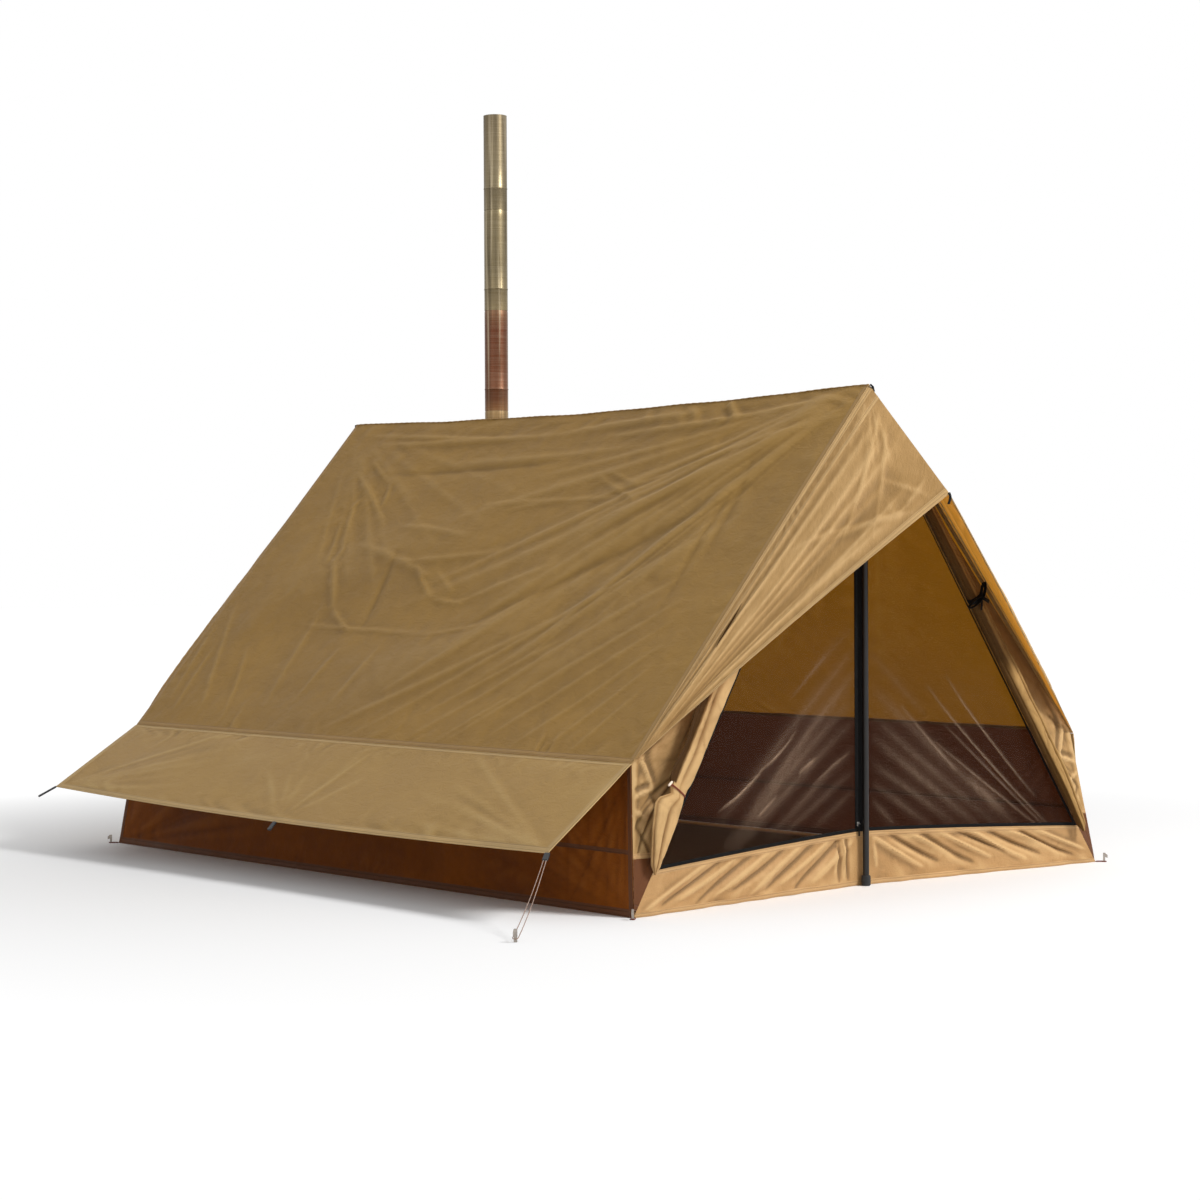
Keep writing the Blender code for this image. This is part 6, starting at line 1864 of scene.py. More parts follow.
@dataclass
class Gables:
    """Front and back gables. Each surface is worked out at the front and mirrored for the back."""

    foot_radius: float = 0.0145
    sill_fold: float = 0.007
    gusset_fold: float = 0.008
    mesh_fold: float = 0.006
    back_fold: float = 0.008
    tape_narrow: float = 0.009
    tape_wide: float = 0.022
    corner_inset: float = 0.0016
    lap: float = 0.00065
    gusset_split: float = 0.42

    def sill(self, end: End, relief: bool, across: Array, along: Array) -> Array:
        """The sill from the ground to its curved top.

        Args:
            end: Its end of the tent.
            relief: Whether it has its diagonal creases beside its main folds.
            across: Share of the way from left to right.
            along: Share of the way up.

        Returns:
            The sill's places.
        """
        low = mix(*(TENT.door_line(side, 0, -self.lap)[0] for side in Side), across)
        high = mix(*(TENT.sill_corner(side, -self.lap, 0)[0] for side in Side), across)
        x = mix(low, high, along)
        cloth = Patch(across, along, (TENT.base * 2, TENT.sill_middle), 151)
        slack = cloth.main_folds(SILL_MAIN, self.sill_fold)
        near_pole = smooth_step((np.abs(x) - self.foot_radius * 2) / (self.foot_radius * 3))
        if relief:
            rows = list(SILL_GATHERS)
            for k in range(11):
                u, bow = 0.012 + k * 0.037, 5 - k % 3 * 5
                height = 8.5 if k % 2 else -6
                rows.append((u, 0.10 + k % 3 * 0.08, u + 0.115, 0.97, 9 + k % 4, height, bow))
                rows.append((u + 0.502, 0.97, u + 0.615, 0.24 + k % 3 * 0.09, 8 + k % 4, height * 1.7, -bow))
            small = cloth.creases(rows) + cloth.crumple(0.0012, 0.07, 0)
            small += cloth.noise(0.0030, 0.12, 0.1, 1)
            ends = smooth_step(across / 0.03) * smooth_step((1 - across) / 0.03)
            hem = 0.006 * noise(cloth.x / 0.07, cloth.y * 0, 153) * np.exp(-along / 0.3)
            slack = slack + (small * smooth_step(along / 0.1) * smooth_step((1 - along) / 0.15) + hem) * ends
        height = TENT.sill_top(high) * (along + 0.0028 * (1 - along))
        return TENT.at(end, stack(x, TENT.gable_y(x) + slack * near_pole, height))

    def gusset(self, end: End, side: Side, relief: bool, across: Array, along: Array) -> Array:
        """The gusset between the door line, the corner seam and the roof, in rows of equal height.

        Args:
            end: Its end of the tent.
            side: Its side of the tent.
            relief: Whether it has its folds.
            across: Share of the way from the door line outward.
            along: Share of the way up, with the wall's top at the split.

        Returns:
            The gusset's places.
        """
        split = self.gusset_split
        z = np.where(along < split, mix(TENT.gusset_foot, TENT.wall_top, along / split),
            mix(TENT.wall_top, TENT.gable, (along - split) / (1 - split)))
        inner = TENT.door_line(side, z, -TENT.frame_gap)
        lower = TENT.corner_line(side, z) - np.array((side.value * self.corner_inset, 0, 0))
        tuck = (TENT.cloth / 2 + TENT.seam_gap) / math.sin(TENT.pitch)
        roof_x = TENT.eave * (TENT.ridge - z) / (TENT.ridge - TENT.wall) - tuck
        share = (z - TENT.wall_top) / (TENT.gable - TENT.wall_top)
        roof_y = mix(TENT.front + TENT.corner_setback, TENT.setback, np.clip(share, 0, 1))
        upper = stack(side.value * roof_x, roof_y, z)
        outer = np.where((z <= TENT.wall_top)[..., None], lower, upper)
        points = inner + (outer - inner) * across[..., None]
        if relief:
            widest = TENT.eave / 4
            cloth = Patch(across, z / TENT.gable, (widest, TENT.gable))
            inward = np.abs(cloth.main_folds(GUSSET_MAIN, self.gusset_fold))
            wide = np.linalg.norm(outer - inner, axis=-1)
            crumpled = crumple(across * wide, z, 0.05, 161 if side is Side.LEFT else 162)
            small = cloth.creases(GUSSET_CREASES) * 1.3 + 0.0014 * crumpled
            small *= smooth_step(across / 0.08) * smooth_step((1 - across) / 0.08)
            points[..., 1] += inward * np.clip(wide / widest, 0, 1) + small * np.clip(wide / 0.12, 0, 1)
        return TENT.at(end, points)

    @staticmethod
    def bands(side: Side, across: Array, along: Array) -> Array:
        """Strength of the mesh's stretched bands, straight lines by distance to the zip and height.

        Args:
            side: Side of the door.
            across: Shares from the hinge to the zip.
            along: Shares from the foot to the top.

        Returns:
            The strength, from 0 to 1.
        """
        foot = abs(TENT.sill_corner(side, TENT.hinge_gap, TENT.seam_gap)[0] + TENT.zip_offset)
        head = abs(TENT.door_line(side, TENT.gable, TENT.hinge_gap)[0] + TENT.zip_offset)
        distance = mix(foot, head, along) * (1 - across)
        height = mix(TENT.sill_top(distance) + TENT.seam_gap, TENT.gable, along)
        rows = np.array(MESH_BANDS_LEFT if side is Side.LEFT else MESH_BANDS_RIGHT)
        rows[:, 4:] /= MM
        return Patch(distance, height, (1, 1)).creases(rows)

    def leaf(self, end: End, side: Side, relief: bool, across: Array, along: Array) -> Array:
        """A door leaf from its hinge line to the zip, above the sill.

        Args:
            end: Its end of the tent.
            side: Its side of the tent.
            relief: Whether it has its folds.
            across: Share of the way from the hinge line to the zip.
            along: Share of the way up.

        Returns:
            The leaf's places.
        """
        foot = TENT.sill_corner(side, TENT.hinge_gap, TENT.seam_gap)
        head = TENT.door_line(side, TENT.gable, TENT.hinge_gap)
        zip_x = -TENT.zip_offset + side.value * TENT.seam_gap / 2
        bottom_x = mix(foot[0], zip_x, across)
        x = mix(bottom_x, mix(head[0], zip_x, across), along)
        z = mix(TENT.sill_top(bottom_x) + TENT.seam_gap, TENT.gable, along)
        points = stack(x, TENT.gable_y(x), z)
        if relief:
            back = end is End.BACK
            seed = (171 if side is Side.LEFT else 176) + (20 if back else 0)
            cloth = Patch(across, along, (TENT.base, TENT.gable), seed)
            inward = np.abs(cloth.main_folds(BACK_DOOR_MAIN if back else MESH_MAIN,
                self.back_fold if back else self.mesh_fold))
            narrow = np.abs(mix(foot[0], head[0], along) - zip_x) / TENT.base
            if back:
                streaks = cloth.fan((1, 0.45), (0.04, 0.55), (150, 235), 10, (9, 2.2), 1)
                streaks += cloth.fan((0, 0), (0.03, 0.4), (5, 60), 8, (9, 2.0), 2)
                small = cloth.creases(streaks)
            else:
                small = self.bands(side, across, along) * 0.008
            small += cloth.crumple(0.0007, 0.09, 3)
            small *= cloth.edge_rest(0.035)
            points[..., 1] += inward * narrow + small * narrow
        return TENT.at(end, points)

    def make(self) -> None:
        """Builds both gables."""
        for end in End:
            sill = Sheet(f"sill_cloth_{end.value}", partial(self.sill, end), "sill_cloth",
                (LOOK.sill, LOOK.sill_in), f"{end.value}_sill", (330, 32), fold_range=(0.0, 0.006),
                crease=0.0016)
            sill.make()
            sill.band(f"sill_ground_hem_{end.value}", (0.0, 1.0), (0.0, 0.10), (220, 4), LOOK.sill_hem)
            sill.band(f"sill_top_hem_{end.value}", (0.0, 1.0), (0.90, 0.995), (220, 4), LOOK.sill_hem, 0.0026)
            sill.declare(flat_area(self.sill(End.FRONT, False, *grid(61, 9))))
            for side in Side:
                self.make_gusset(end, side)
                self.make_leaf(end, side)

    def make_gusset(self, end: End, side: Side) -> None:
        """Builds one gusset with its band seam and its edges.

        Args:
            end: Front or back.
            side: Side of the door.
        """
        word = f"{end.value}_{side.word}"
        gusset = Sheet(f"gusset_cloth_{word}", partial(self.gusset, end, side), "door_cloth",
            (LOOK.gusset, LOOK.sill_in), f"{end.value}_gusset_{side.word}", (44, 170),
            fold_range=(0.0, 0.006))
        # Painted shade above the wall top on the front right gusset, where the rolled door shades it.
        shade_behind_roll = 0.85 if (end, side) == (End.FRONT, Side.RIGHT) else 0.0
        gusset.make(dark=lambda u, v: shade_behind_roll * smooth_step((v - 0.44) / 0.06))
        gusset.band(f"gusset_foot_band_{word}", (0.0, 1.0), (0.0, 0.145), (40, 14), LOOK.wall_hem, 0.0026)
        gusset.band(f"gusset_band_seam_{word}", (0.0, 1.0), (0.145, 0.16), (40, 3), LOOK.sill_hem, 0.0024)
        flat = self.gusset(End.FRONT, side, False, *grid(15, 41))
        gusset.declare(max(flat_area(flat), 0.31 * TENT.base / 3.2 * TENT.gable * 1.05))

    def make_leaf(self, end: End, side: Side) -> None:
        """Builds a mesh door leaf at the front, or a cloth one at the back, with its tapes.

        Args:
            end: Front or back.
            side: Side of the door.
        """
        back = end is End.BACK
        word = "back_door" if back else "mesh_door"
        leaf = Sheet(f"{word}_cloth_{side.word}", partial(self.leaf, end, side),
            "door_cloth" if back else "mesh", (LOOK.door, LOOK.sill_in) if back else (LOOK.mesh, LOOK.mesh),
            f"{word}_{side.word}", (120, 150) if back else (200, 240), 0.0016 if back else 0.0008,
            fold_range=(0.0, 0.006), body="tent" if back else f"mesh_leaf_{side.word}")
        leaf.make(fold=None if back else partial(self.bands, side))
        trim = LOOK.sill_hem if back else LOOK.tape
        leaf.band(f"{word}_hinge_tape_{side.word}", (0.003, 0.014), (0.0, 1.0), (4, 120), trim, 0.0014,
            turn=True)
        leaf.band(f"{word}_foot_tape_{side.word}", (0.003, 1.0), (0.0, 0.008), (150, 4), trim, 0.0016)
        foot, head = leaf.shape(False, *grid(2, 2))[0, :, 0]
        tape = self.tape_narrow if side is Side.LEFT else self.tape_wide

        def tape_edge(v: Array) -> Array:
            """Share at which a tape of constant width starts."""
            return 1 - np.minimum(tape / (np.abs(mix(foot, head, v) + TENT.zip_offset)), 0.9)

        leaf.band(f"{word}_zip_tape_{side.word}", (tape_edge, 0.9985), (0.0, 1.0), (5, 150), LOOK.tape,
            0.0029, "black_webbing", turn=True)
        leaf.declare(flat_area(leaf.shape(False, *grid(31, 61))))


# Outer doors, rolled and folded back, with their ties


@dataclass
class TiedDoor:
    """One outer door tied back along the door line.

    A column of the outline holds a height, then how far the inner and the outer edge lie outside the door
    line, and how far out the painted shadow of the fold's gap starts, all in metres.
    """

    side: Side
    half_depth: float
    tie_height: float
    tie_width: float
    outline: Rows
    top: float = 1.22
    slim: float = 0.22
    standoff: float = 0.0014

    def frame_at(self, z: Array | float) -> tuple[Array, Array, Array, Array]:
        """Middle of the door line, and the directions along it, sideways and forward, at a height.

        Args:
            z: Height.

        Returns:
            The middle and the three unit vectors.
        """
        middle = TENT.door_line(self.side, z)
        along = unit(TENT.door_line(self.side, np.asarray(z) + 0.02) - middle)
        sideways = np.broadcast_to(np.array((self.side.value, 0.0, 0.0)), along.shape)
        sideways = unit(sideways - along * (sideways * along).sum(-1, keepdims=True))
        forward = np.cross(sideways, along) * self.side.value
        forward = np.where(forward[..., 1:2] < 0, forward, -forward)
        return middle, along, sideways, forward

    def edges_at(self, z: Array | float) -> tuple[Array, ...]:
        """Inner edge, outer edge, start of the painted shadow and half depth at a height.

        Args:
            z: Height.

        Returns:
            The four lengths, in metres.
        """
        table = np.array(self.outline)
        inner, outer, pale = (np.interp(z, table[:, 0], table[:, k]) for k in (1, 2, 3))
        share = (np.asarray(z, float) - table[0, 0]) / (self.top - table[0, 0])
        return inner, outer, pale, self.half_depth * (1 - self.slim * share)

    def rings(self, z: Array, angles: Array, scale: Array, extra: Array) -> Array:
        """Rings round the bundle: a flattened outline between its edges, with a relief added.

        Args:
            z: Height of each ring.
            angles: Angles round it.
            scale: Factor on its size.
            extra: Relief, in metres.

        Returns:
            The places, ring by ring.
        """
        middle, _, sideways, forward = self.frame_at(z)
        inner, outer, _, depth = (part[:, None] for part in self.edges_at(z))
        off = depth[..., None] + TENT.cloth / 2 + self.standoff
        half = (outer - inner) / 2
        lateral = (outer + inner) / 2 + (half * scale + extra * 0.5) * np.cos(angles)
        lean = 0.115 * np.maximum(lateral, 0)
        round_off = np.sign(np.sin(angles)) * np.abs(np.sin(angles)) ** 0.8
        rise = (np.minimum(depth, half) * scale + extra) * round_off + lean
        centre = middle[:, None] + forward[:, None] * off
        return centre + sideways[:, None] * lateral[..., None] + forward[:, None] * rise[..., None]

    def make(self) -> None:
        """Builds the folded cloth and its tie."""
        count, sides = 230, 96
        foot = self.outline[0][0]
        z = np.linspace(foot, self.top, count)
        turns = np.arange(sides) / sides * FULL_TURN
        angles = np.broadcast_to(turns, (count, sides))
        height = np.broadcast_to(z[:, None], (count, sides))
        folded = self.side is Side.LEFT
        seed = 191 if folded else 196
        inner, outer, pale, _ = (part[:, None] for part in self.edges_at(z))
        place = inner + (outer - inner) * (0.5 + 0.5 * np.cos(angles))
        share = (place - inner) / (outer - inner)
        bend = 0.25 * noise(height / 0.25, height * 0, seed)
        fold = np.abs(np.sin(math.pi * ((2.0 if folded else 1.6) * share + bend)))
        relief = -0.007 * (1 - fold) ** 2 - 0.004 * crumple(share * 0.1, height, 0.06, seed + 2)
        # Past that start the cloth gets painted shadow, for the shaded gap under the fold, and sinks a
        # little.
        dark = smooth_step((place - pale) / 0.006 + 0.5)
        relief -= 0.008 * dark
        tie = np.exp(-((height - self.tie_height) / 0.03) ** 2)
        ends = smooth_step((height - foot) / 0.02) * smooth_step((self.top - height) / 0.02)
        scale = (1 - (0.30 if folded else 0.14) * tie) * (0.45 + 0.55 * ends)
        # On the rolled door, painted shade covers the part above the tie and the inner edge.
        if not folded:
            upper = smooth_step((height - 0.60) / 0.10)
            dark = np.maximum(upper * (0.55 + 0.45 * smooth_step((0.42 - share) / 0.1)),
                0.9 * smooth_step((0.22 - share) / 0.08))
        # Deep creases get painted shade, and crests a painted highlight, away from the tie.
        creased = np.clip(-relief / 0.011, 0, 1) * (1 - tie)
        marks = {"fold": np.clip(1.1 + relief / 0.008, 0, 1) * (1 - dark),
            "painted_shade": np.clip(np.maximum(dark, creased * 0.6), 0, 1)}
        points = self.rings(z, angles, scale, relief * (0.2 + 0.8 * ends) * (1 - tie))
        roll = ring_piece(f"tied_door_{self.side.word}", points, marks=marks)
        settle(roll, "door_cloth", LOOK.folded if folded else LOOK.rolled, node=f"door_roll_{self.side.word}")
        self.make_tie(turns, folded)

    def make_tie(self, turns: Array, folded: bool) -> None:
        """Builds the tie round the bundle, with a toggle or a bow.

        Args:
            turns: Angles round the bundle.
            folded: Whether it is the folded left door.
        """
        word = self.side.word
        material = LOOK.red if folded else LOOK.tape
        slot = "red_cord" if folded else "black_webbing"
        z = np.array([self.tie_height])
        angles = turns[None]
        scale = np.full(angles.shape, 0.74 if folded else 0.88)
        path = self.rings(z, angles, scale, np.full(angles.shape, 0.0012))[0]
        _, along, sideways, forward = (part[0] for part in self.frame_at(z))
        tie = carried(f"door_tie_{word}", path, self.tie_width / 2, 0.0011, along, 10, 3, closed=True)
        settle(tie, slot, material, node=f"roll_tie_{word}")
        front = path[np.argmax(path @ forward)] + forward * 0.003
        if folded:
            outer = float(self.edges_at(z)[1][0])
            shares = np.linspace(-1, 1, 15)[:, None]
            bar = self.frame_at(z)[0][0] + sideways * (outer * 0.92) + forward * 0.030
            bar = bar + (along * 0.9 - sideways * 0.3) * shares * 0.010
            radius = 0.0036 * (1 - 0.35 * np.abs(shares[:, 0]) ** 3)
            toggle = carried(f"tie_toggle_{word}", bar, radius, radius, along + forward, 14)
            settle(toggle, "red_cord", LOOK.bead)
            return
        bows = (("in", -1, 0.074, 0.008, 0.12), ("out", 1, 0.038, 0.010, 0.8))
        for name, way, reach, open_half, rise in bows:
            turn = np.linspace(0.12, FULL_TURN - 0.12, 30)[:, None]
            out = 0.5 - 0.5 * np.cos(turn)
            loop = front + sideways * (way * reach * out)
            loop = loop + along * (open_half * np.sin(turn) + rise * reach * out)
            loop = loop + forward * (0.004 + 0.004 * np.sin(turn / 2))
            settle(carried(f"tie_bow_{word}_{name}", loop, 0.006, 0.0016, forward, 8, 4), slot, material)
            t = np.linspace(0, 1, 16)[:, None]
            tail = front + sideways * (way * 0.024 * t) - along * (0.034 * t)
            tail = tail + forward * (0.004 * np.sin(t * 3))
            settle(carried(f"tie_tail_{word}_{name}", tail, 0.006, 0.0008, sideways, 8, 4), slot, material)
        knot = front + forward * 0.003 + along * np.linspace(-0.008, 0.008, 7)[:, None]
        settle(carried(f"tie_knot_{word}", knot, 0.009, 0.0045, sideways, 12, 2.6), slot, material)


FOLDED_LEFT = ((0.115, -0.004, 0.010, 1), (0.13, -0.004, 0.034, 1), (0.20, -0.002, 0.085, 1),
    (0.258, 0.0, 0.116, 1), (0.275, 0.001, 0.112, 1), (0.305, 0.002, 0.080, 0.2), (0.33, 0.003, 0.112, 0.080),
    (0.36, 0.004, 0.112, 0.078), (0.42, 0.006, 0.102, 0.078), (0.50, 0.008, 0.112, 0.080),
    (0.62, 0.010, 0.138, 0.084), (0.70, 0.011, 0.138, 0.086), (0.95, 0.010, 0.085, 0.070),
    (1.22, 0.004, 0.034, 0.030))
ROLLED_RIGHT = ((0.115, -0.020, 0.004, 1), (0.16, -0.020, 0.014, 1), (0.30, -0.018, 0.034, 1),
    (0.60, -0.018, 0.042, 1), (0.876, -0.012, 0.040, 1), (1.22, -0.008, 0.030, 1))


# Lines, loops and pegs


@dataclass
class Guyline:
    """The left awning's front line: doubled cord from its lock round a peg in the ground."""

    reach_side: float = 0.27
    reach_end: float = 0.19
    lock: float = 0.034
    lock_gap: float = 0.0008
    lock_width: float = 0.016
    peg_height: float = 0.035
    peg_width: float = 0.008
    cord: float = 0.0025
    sag: float = 0.012
    run_points: int = 32
    turn_points: int = 9

    def route(self) -> Array:
        """The cord's middle line, as the solid has it.

        Returns:
            The places, evenly spaced along each run.
        """
        up = np.array((0, 0, 1.0))
        corner = Awnings().awning(Side.LEFT, False, np.zeros((1, 1)), np.ones((1, 1)))[0, 0]
        peg = np.array((corner[0] - self.reach_side, corner[1] - self.reach_end, 0))
        way = unit(peg + up * self.peg_height / 2 - corner)
        start = corner + way * (self.lock_gap + self.lock + TENT.seam_gap * 2)
        outward = unit(way * np.array((1, 1, 0)))
        side = np.cross(up, outward)
        bend = self.peg_width / math.sqrt(2) + self.cord / 2 + TENT.seam_gap * 3
        hold = peg + up * self.peg_height / 3
        share = np.arange(self.run_points)[:, None] / self.run_points
        runs = [start + (hold - start) * share + side * run * mix(self.lock_width / 4, bend, share) - up
            * self.sag * 4 * share * (1 - share) for run in (-1, 1)]
        arrival = unit(hold - start + up * self.sag * 4)
        angle = ((np.arange(self.turn_points) / (self.turn_points - 1) - 0.5) * math.pi)[:, None]
        turn = hold + (arrival * np.cos(angle) + side * np.sin(angle)) * bend
        return np.concatenate((runs[0], turn, runs[1][::-1]))

    def make(self) -> None:
        path = self.route()
        line = carried("guyline_cord", path, self.cord / 2, self.cord / 2, (0, 0, 1), 10)
        settle(line, "grey_cord", LOOK.pale, node="awning_guyline")


@dataclass
class Hardware:
    """Poles, feet, pegs, loops, locks and straps: solids with their finishes, and small pieces."""

    loop_cord: float = 0.003
    loop_width: float = 0.012
    loop_length: float = 0.034
    loop_standoff: float = 0.0007
    zip_points: int = 420

    def dress_solids(self) -> None:
        """Gives the hard nodes their materials."""
        table = {LOOK.pole: [f"{e.value}_pole_{p}" for e in End for p in ("lower", "upper")],
            LOOK.rubber: [f"{e.value}_pole_foot" for e in End],
            LOOK.peg: [f"corner_peg_{e.value}_{s.word}" for e in End for s in Side] + ["guyline_peg"],
            LOOK.plastic: ["line_lock_front", "line_lock_middle", "line_lock_back"],
            LOOK.slider: ["mesh_zip_slider", "back_zip_slider"],
            LOOK.tape: ["mesh_zip_pull", "back_zip_pull"],
            LOOK.stove: ["stove_body", "stove_door", "stove_vent", "flue_section_1"],
            LOOK.iron: ["stove_latch", "stove_legs_front", "stove_legs_rear", "flue_damper"]}
        for material, names in table.items():
            for name in names:
                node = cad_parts[name]
                node.data.materials.clear()
                node.data.materials.append(material)
                LOG.info("%s has finish %s", name, material.name)

    def make_loops(self) -> None:
        """Builds the ground corner loops of twisted cord."""
        reach = self.loop_cord / 2 + TENT.seam_gap
        for end in End:
            for side in Side:
                corner = TENT.at(end, np.array((side.value * TENT.base, TENT.front - TENT.flare_end, 0.0)))
                outward = unit(np.array((side.value, 1.0 if end is End.BACK else -1.0, 0.0)))
                across = np.cross((0, 0, 1.0), outward)
                turn = np.arange(72) / 72 * FULL_TURN
                bend, straight = self.loop_width / 2, self.loop_length - self.loop_width
                swing = smooth_step(0.5 + np.cos(turn) * 1.2)
                far = self.loop_standoff + reach + bend + straight * swing + bend * np.cos(turn)
                path = corner + outward * far[:, None] + across * (bend * np.sin(turn))[:, None]
                path[:, 2] += reach
                loop = carried(f"loop_cord_{end.value}_{side.word}", path, self.loop_cord / 2,
                    self.loop_cord / 2, (0, 0, 1), 10, closed=True)
                settle(loop, "red_cord", LOOK.red, node=f"ground_loop_{end.value}_{side.word}")

    def make_zips(self) -> None:
        """Builds the coil of each zip down the middle of the two tapes."""
        for end in End:
            z = np.linspace(TENT.sill_middle + 0.004, TENT.gable - 0.002, self.zip_points)
            x = np.full(z.shape, -TENT.zip_offset)
            path = TENT.at(end, stack(x, TENT.gable_y(x) - 0.0013, z))
            half = 0.0026 + 0.0006 * (np.arange(self.zip_points) % 2)
            coil = carried(f"zip_coil_{end.value}", path, half, 0.0011, (1, 0, 0), 8, 2.5)
            settle(coil, "black_webbing", LOOK.teeth)

    def make_straps(self) -> None:
        """Builds the short black straps at the apexes and on the visors' tips."""
        for end in End:
            apex = np.array(((0.0, TENT.front - 0.006, TENT.ridge + 0.001),
                (0.004, TENT.front - 0.012, TENT.ridge - 0.006),
                (0.006, TENT.front - 0.015, TENT.ridge - 0.022)))
            t = np.linspace(0, 2, 17)
            path = TENT.at(end, np.stack([np.interp(t, (0, 1, 2), apex[:, k]) for k in range(3)], -1))
            strap = carried(f"apex_strap_{end.value}", path, 0.006, 0.0007, (1, 0, 0), 8, 4)
            settle(strap, "black_webbing", LOOK.tape)
            tip = np.array((0.0, TENT.front - Visors().reach, Visors().tip))
            t = np.linspace(0, 1, 15)
            path = tip + stack(0.002 * np.sin(t * 5), -0.004 * np.sin(t * 3), -0.035 * t + 0.003)
            tab = carried(f"visor_tip_strap_{end.value}", TENT.at(end, path), 0.006, 0.0008, (1, 0, 0), 8, 4)
            settle(tab, "black_webbing", LOOK.tape)

    def make(self) -> None:
        """Builds everything small."""
        self.dress_solids()
        self.make_loops()
        self.make_zips()
        self.make_straps()


# Flue


@dataclass
class Flue:
    """The stove's flue: round tubes with beads, each over the narrowed top of the one below."""

    side: float = 0.40
    distance: float = 2.315
    foot: float = 0.44
    pitch: float = 0.387
    lap: float = 0.083
    radius: float = 0.045
    wall: float = 0.001
    slip: float = 0.0003
    bead: float = 0.0013
    bead_half: float = 0.004
    taper: float = 0.006
    top: float = 2.74
    sections: int = 6
    heated: int = 3
    sides: int = 72

    def profile(self, index: int) -> list[tuple[float, float]]:
        """Outline of a section's wall, from the outside's foot round to the inside's foot.

        Args:
            index: Number of the section, from 0 at the foot.

        Returns:
            Pairs of a radius and a height.
        """
        inner, spigot = self.radius - self.wall, self.radius - self.wall - self.slip
        foot = self.foot + index * self.pitch
        bead, top = foot + self.lap, foot + self.pitch
        outline = [(self.radius, foot)]
        for turn in np.linspace(-1, 1, 9):
            rise = self.bead * math.cos(turn * math.pi / 2) ** 1.5
            outline.append((self.radius + rise, bead + turn * self.bead_half))
        if index == self.sections - 1:
            outline += [(self.radius, mix(bead, self.top, s)) for s in (0.3, 0.6, 0.9)]
            outline += [(self.radius, self.top), (inner, self.top)]
        else:
            neck = top - TENT.seam_gap
            tip = neck + self.lap - self.bead_half
            outline += [(self.radius, mix(bead, neck, s)) for s in (0.3, 0.6, 0.9)]
            outline += [(self.radius, neck - self.taper), (spigot, neck), (spigot, tip),
                (spigot - self.wall, tip), (spigot - self.wall, neck), (inner, neck - self.taper)]
        outline.append((inner, foot))
        return outline

    def make(self) -> None:
        """Builds every section above the lowest, which holds the damper and stays the solid."""
        for index in range(1, self.sections):
            outline = self.profile(index)
            heights = np.array([h for _, h in outline])
            low = self.foot + index * self.pitch
            reach = self.top - low if index == self.sections - 1 else self.pitch
            share = np.clip((heights - low) / reach, 0, 1)
            tube = turned(f"flue_tube_{index + 1}", outline, (self.side, self.distance, 0), self.sides,
                {"height": np.repeat(share[:, None], self.sides, 1)})
            settle(tube, "flue_heated" if index == self.heated else "flue_steel", LOOK.flue[index],
                node=f"flue_section_{index + 1}")


# Studio


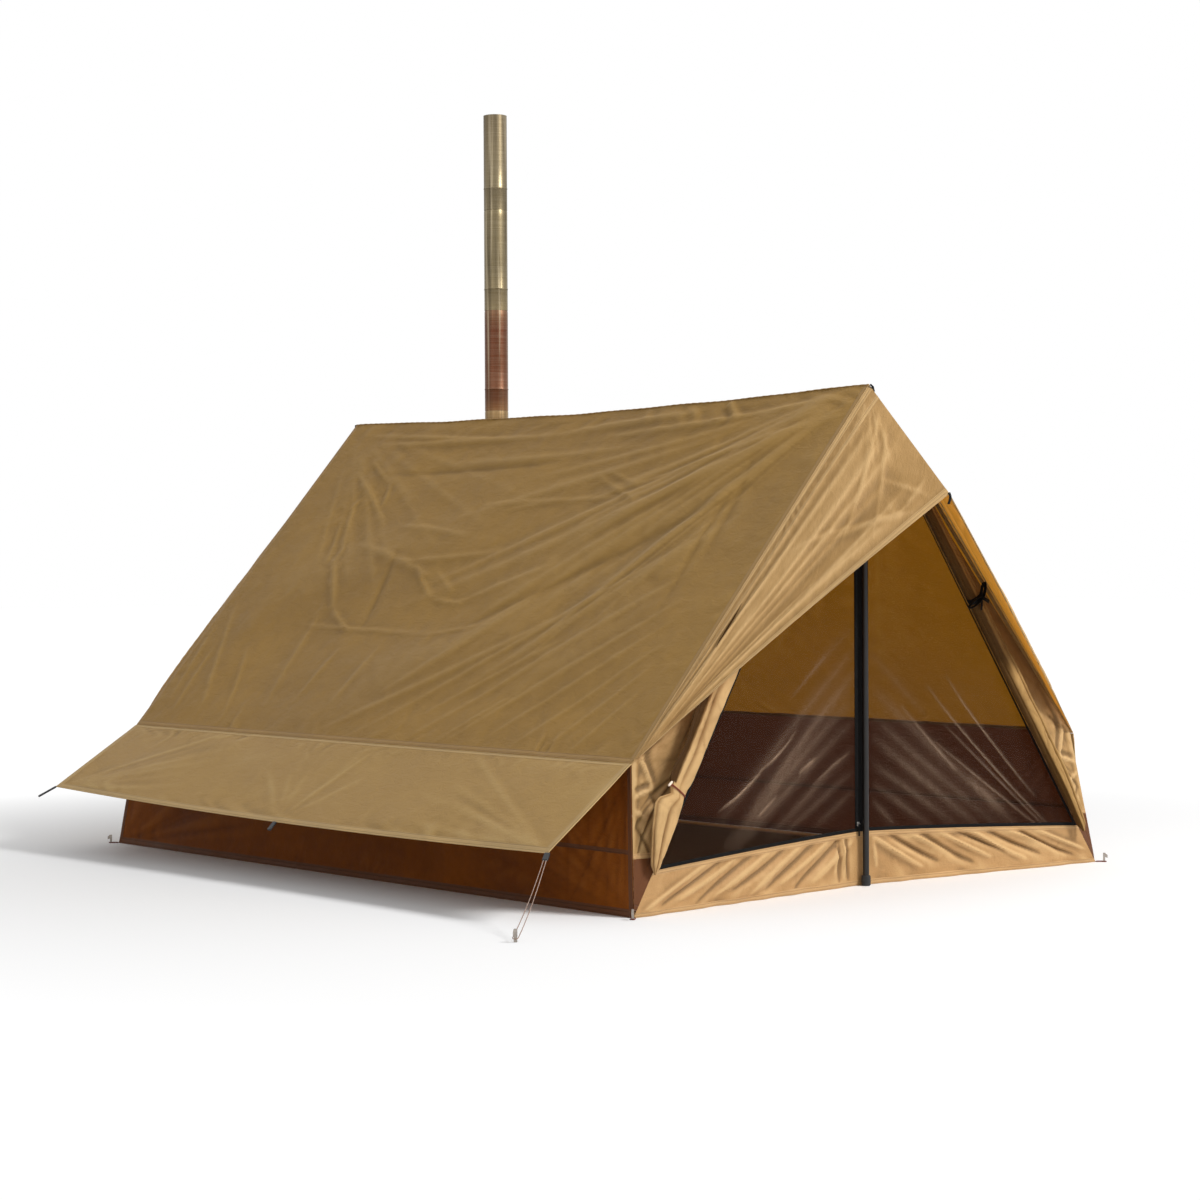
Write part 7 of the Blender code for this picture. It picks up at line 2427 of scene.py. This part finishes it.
@dataclass
class Studio:
    """Camera of the reference view, pale floor with a painted dark patch under the tent, white surroundings
    and soft lights.
    """

    place: Place = (-5.8725, -5.5083, 0.9761)
    target: Place = (0.0690, 1.33, 0.8780)
    roll: float = math.radians(0.2918)
    lens: float = 77.61
    floor_near: float = 1.6
    floor_far: float = 3.6
    floor_half: float = 60

    def make_camera(self) -> None:
        """Puts the camera where the reference view was taken from."""
        data = bpy.data.cameras.new("view")
        data.lens, data.sensor_width = self.lens, 36
        camera = bpy.data.objects.new("view", data)
        bpy.context.scene.collection.objects.link(camera)
        ahead = Vector(self.target) - Vector(self.place)
        turn = ahead.to_track_quat("-Z", "Y").to_matrix().to_4x4() @ Matrix.Rotation(-self.roll, 4, "Z")
        camera.matrix_world = Matrix.Translation(self.place) @ turn
        bpy.context.scene.camera = camera

    def make_floor(self) -> None:
        """Builds the pale floor, white to the camera but still taking the tent's shadow, with a painted dark
        patch under the tent for the shade inside it.
        """
        material = bpy.data.materials.new("floor")
        material.use_nodes = True
        graph = Graph(material.node_tree)
        shader = material.node_tree.nodes["Principled BSDF"]
        graph.feed(shader, Roughness=0.9, Specular_IOR_Level=0.1, Emission_Strength=1)
        x, y, _ = graph.parts(graph.object_place())
        y = graph.math("SUBTRACT", y, TENT.spacing / 2)
        away = graph.math("SQRT", graph.math("ADD", graph.math("MULTIPLY", x, x),
            graph.math("MULTIPLY", y, y)))
        path = graph.node("ShaderNodeLightPath")
        white = graph.math("MULTIPLY", graph.spread(away, self.floor_near, self.floor_far),
            path.outputs["Is Camera Ray"])
        # Painted shade: inside the tent's footprint the floor is dark, as shaded ground seen through the
        # doors.
        inside = graph.math("MULTIPLY", graph.spread(graph.math("ABSOLUTE", x), 0.93, 0.99, 1, 0),
            graph.spread(graph.math("ABSOLUTE", y), 1.28, 1.32, 1, 0))
        shade = graph.mix(inside, (0.94, 0.94, 0.94), (0.085, 0.065, 0.04))
        graph.feed(shader, Base_Color=graph.mix(white, shade, (0, 0, 0)),
            Emission_Color=graph.mix(white, (0, 0, 0), (1, 1, 1)))
        x, y = (self.floor_half * np.array(signs) for signs in ((-1, 1, 1, -1), (-1, -1, 1, 1)))
        floor = new_piece("floor", stack(x, y, -0.0005), [[0, 1, 2, 3]])
        floor.data.materials.append(material)

    def make_world(self) -> None:
        """Makes the world white to the camera, and a softer grey as a light."""
        world = bpy.data.worlds.new("surroundings")
        bpy.context.scene.world = world
        world.use_nodes = True
        graph = Graph(world.node_tree)
        path = graph.node("ShaderNodeLightPath")
        seen = graph.math("ADD", path.outputs["Is Camera Ray"], path.outputs["Is Glossy Ray"], clamp=True)
        seen = graph.math("ADD", seen, path.outputs["Is Transmission Ray"], clamp=True)
        strength = graph.math("ADD", 0.42, graph.math("MULTIPLY", seen, 0.58))
        graph.feed(world.node_tree.nodes["Background"], Color=(1, 1, 1, 1), Strength=strength)

    def make_lights(self) -> None:
        """Hangs a large soft light before the tent and a weaker one behind it."""
        for name, direction, distance, size, power in (("key", (0.25, -0.75, 0.62), 9.0, 2.4, 640),
                ("side", (-0.85, -0.1, 0.5), 9.0, 6.0, 60)):
            data = bpy.data.lights.new(name, "AREA")
            data.shape, data.size, data.energy = "DISK", size, power
            light = bpy.data.objects.new(name, data)
            bpy.context.scene.collection.objects.link(light)
            way = Vector(direction).normalized()
            middle = Vector((0, TENT.spacing / 2, 0.7))
            turn = (-way).to_track_quat("-Z", "Y").to_matrix().to_4x4()
            light.matrix_world = Matrix.Translation(middle + way * distance) @ turn

    def make(self) -> None:
        """Builds the whole stage."""
        self.make_camera()
        self.make_floor()
        self.make_world()
        self.make_lights()
        bpy.context.scene.view_settings.view_transform = "Standard"


def main() -> None:
    """Dresses the tent and finishes the scene."""
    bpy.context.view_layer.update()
    Studio().make()
    Guyline().make()
    Roof().make()
    Walls().make()
    Awnings().make()
    Visors().make()
    Gables().make()
    TiedDoor(Side.LEFT, 0.013, 0.32, 0.006, FOLDED_LEFT).make()
    TiedDoor(Side.RIGHT, 0.024, 0.876, 0.02, ROLLED_RIGHT).make()
    Hardware().make()
    Flue().make()
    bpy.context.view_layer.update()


if __name__ == "__main__":
    main()
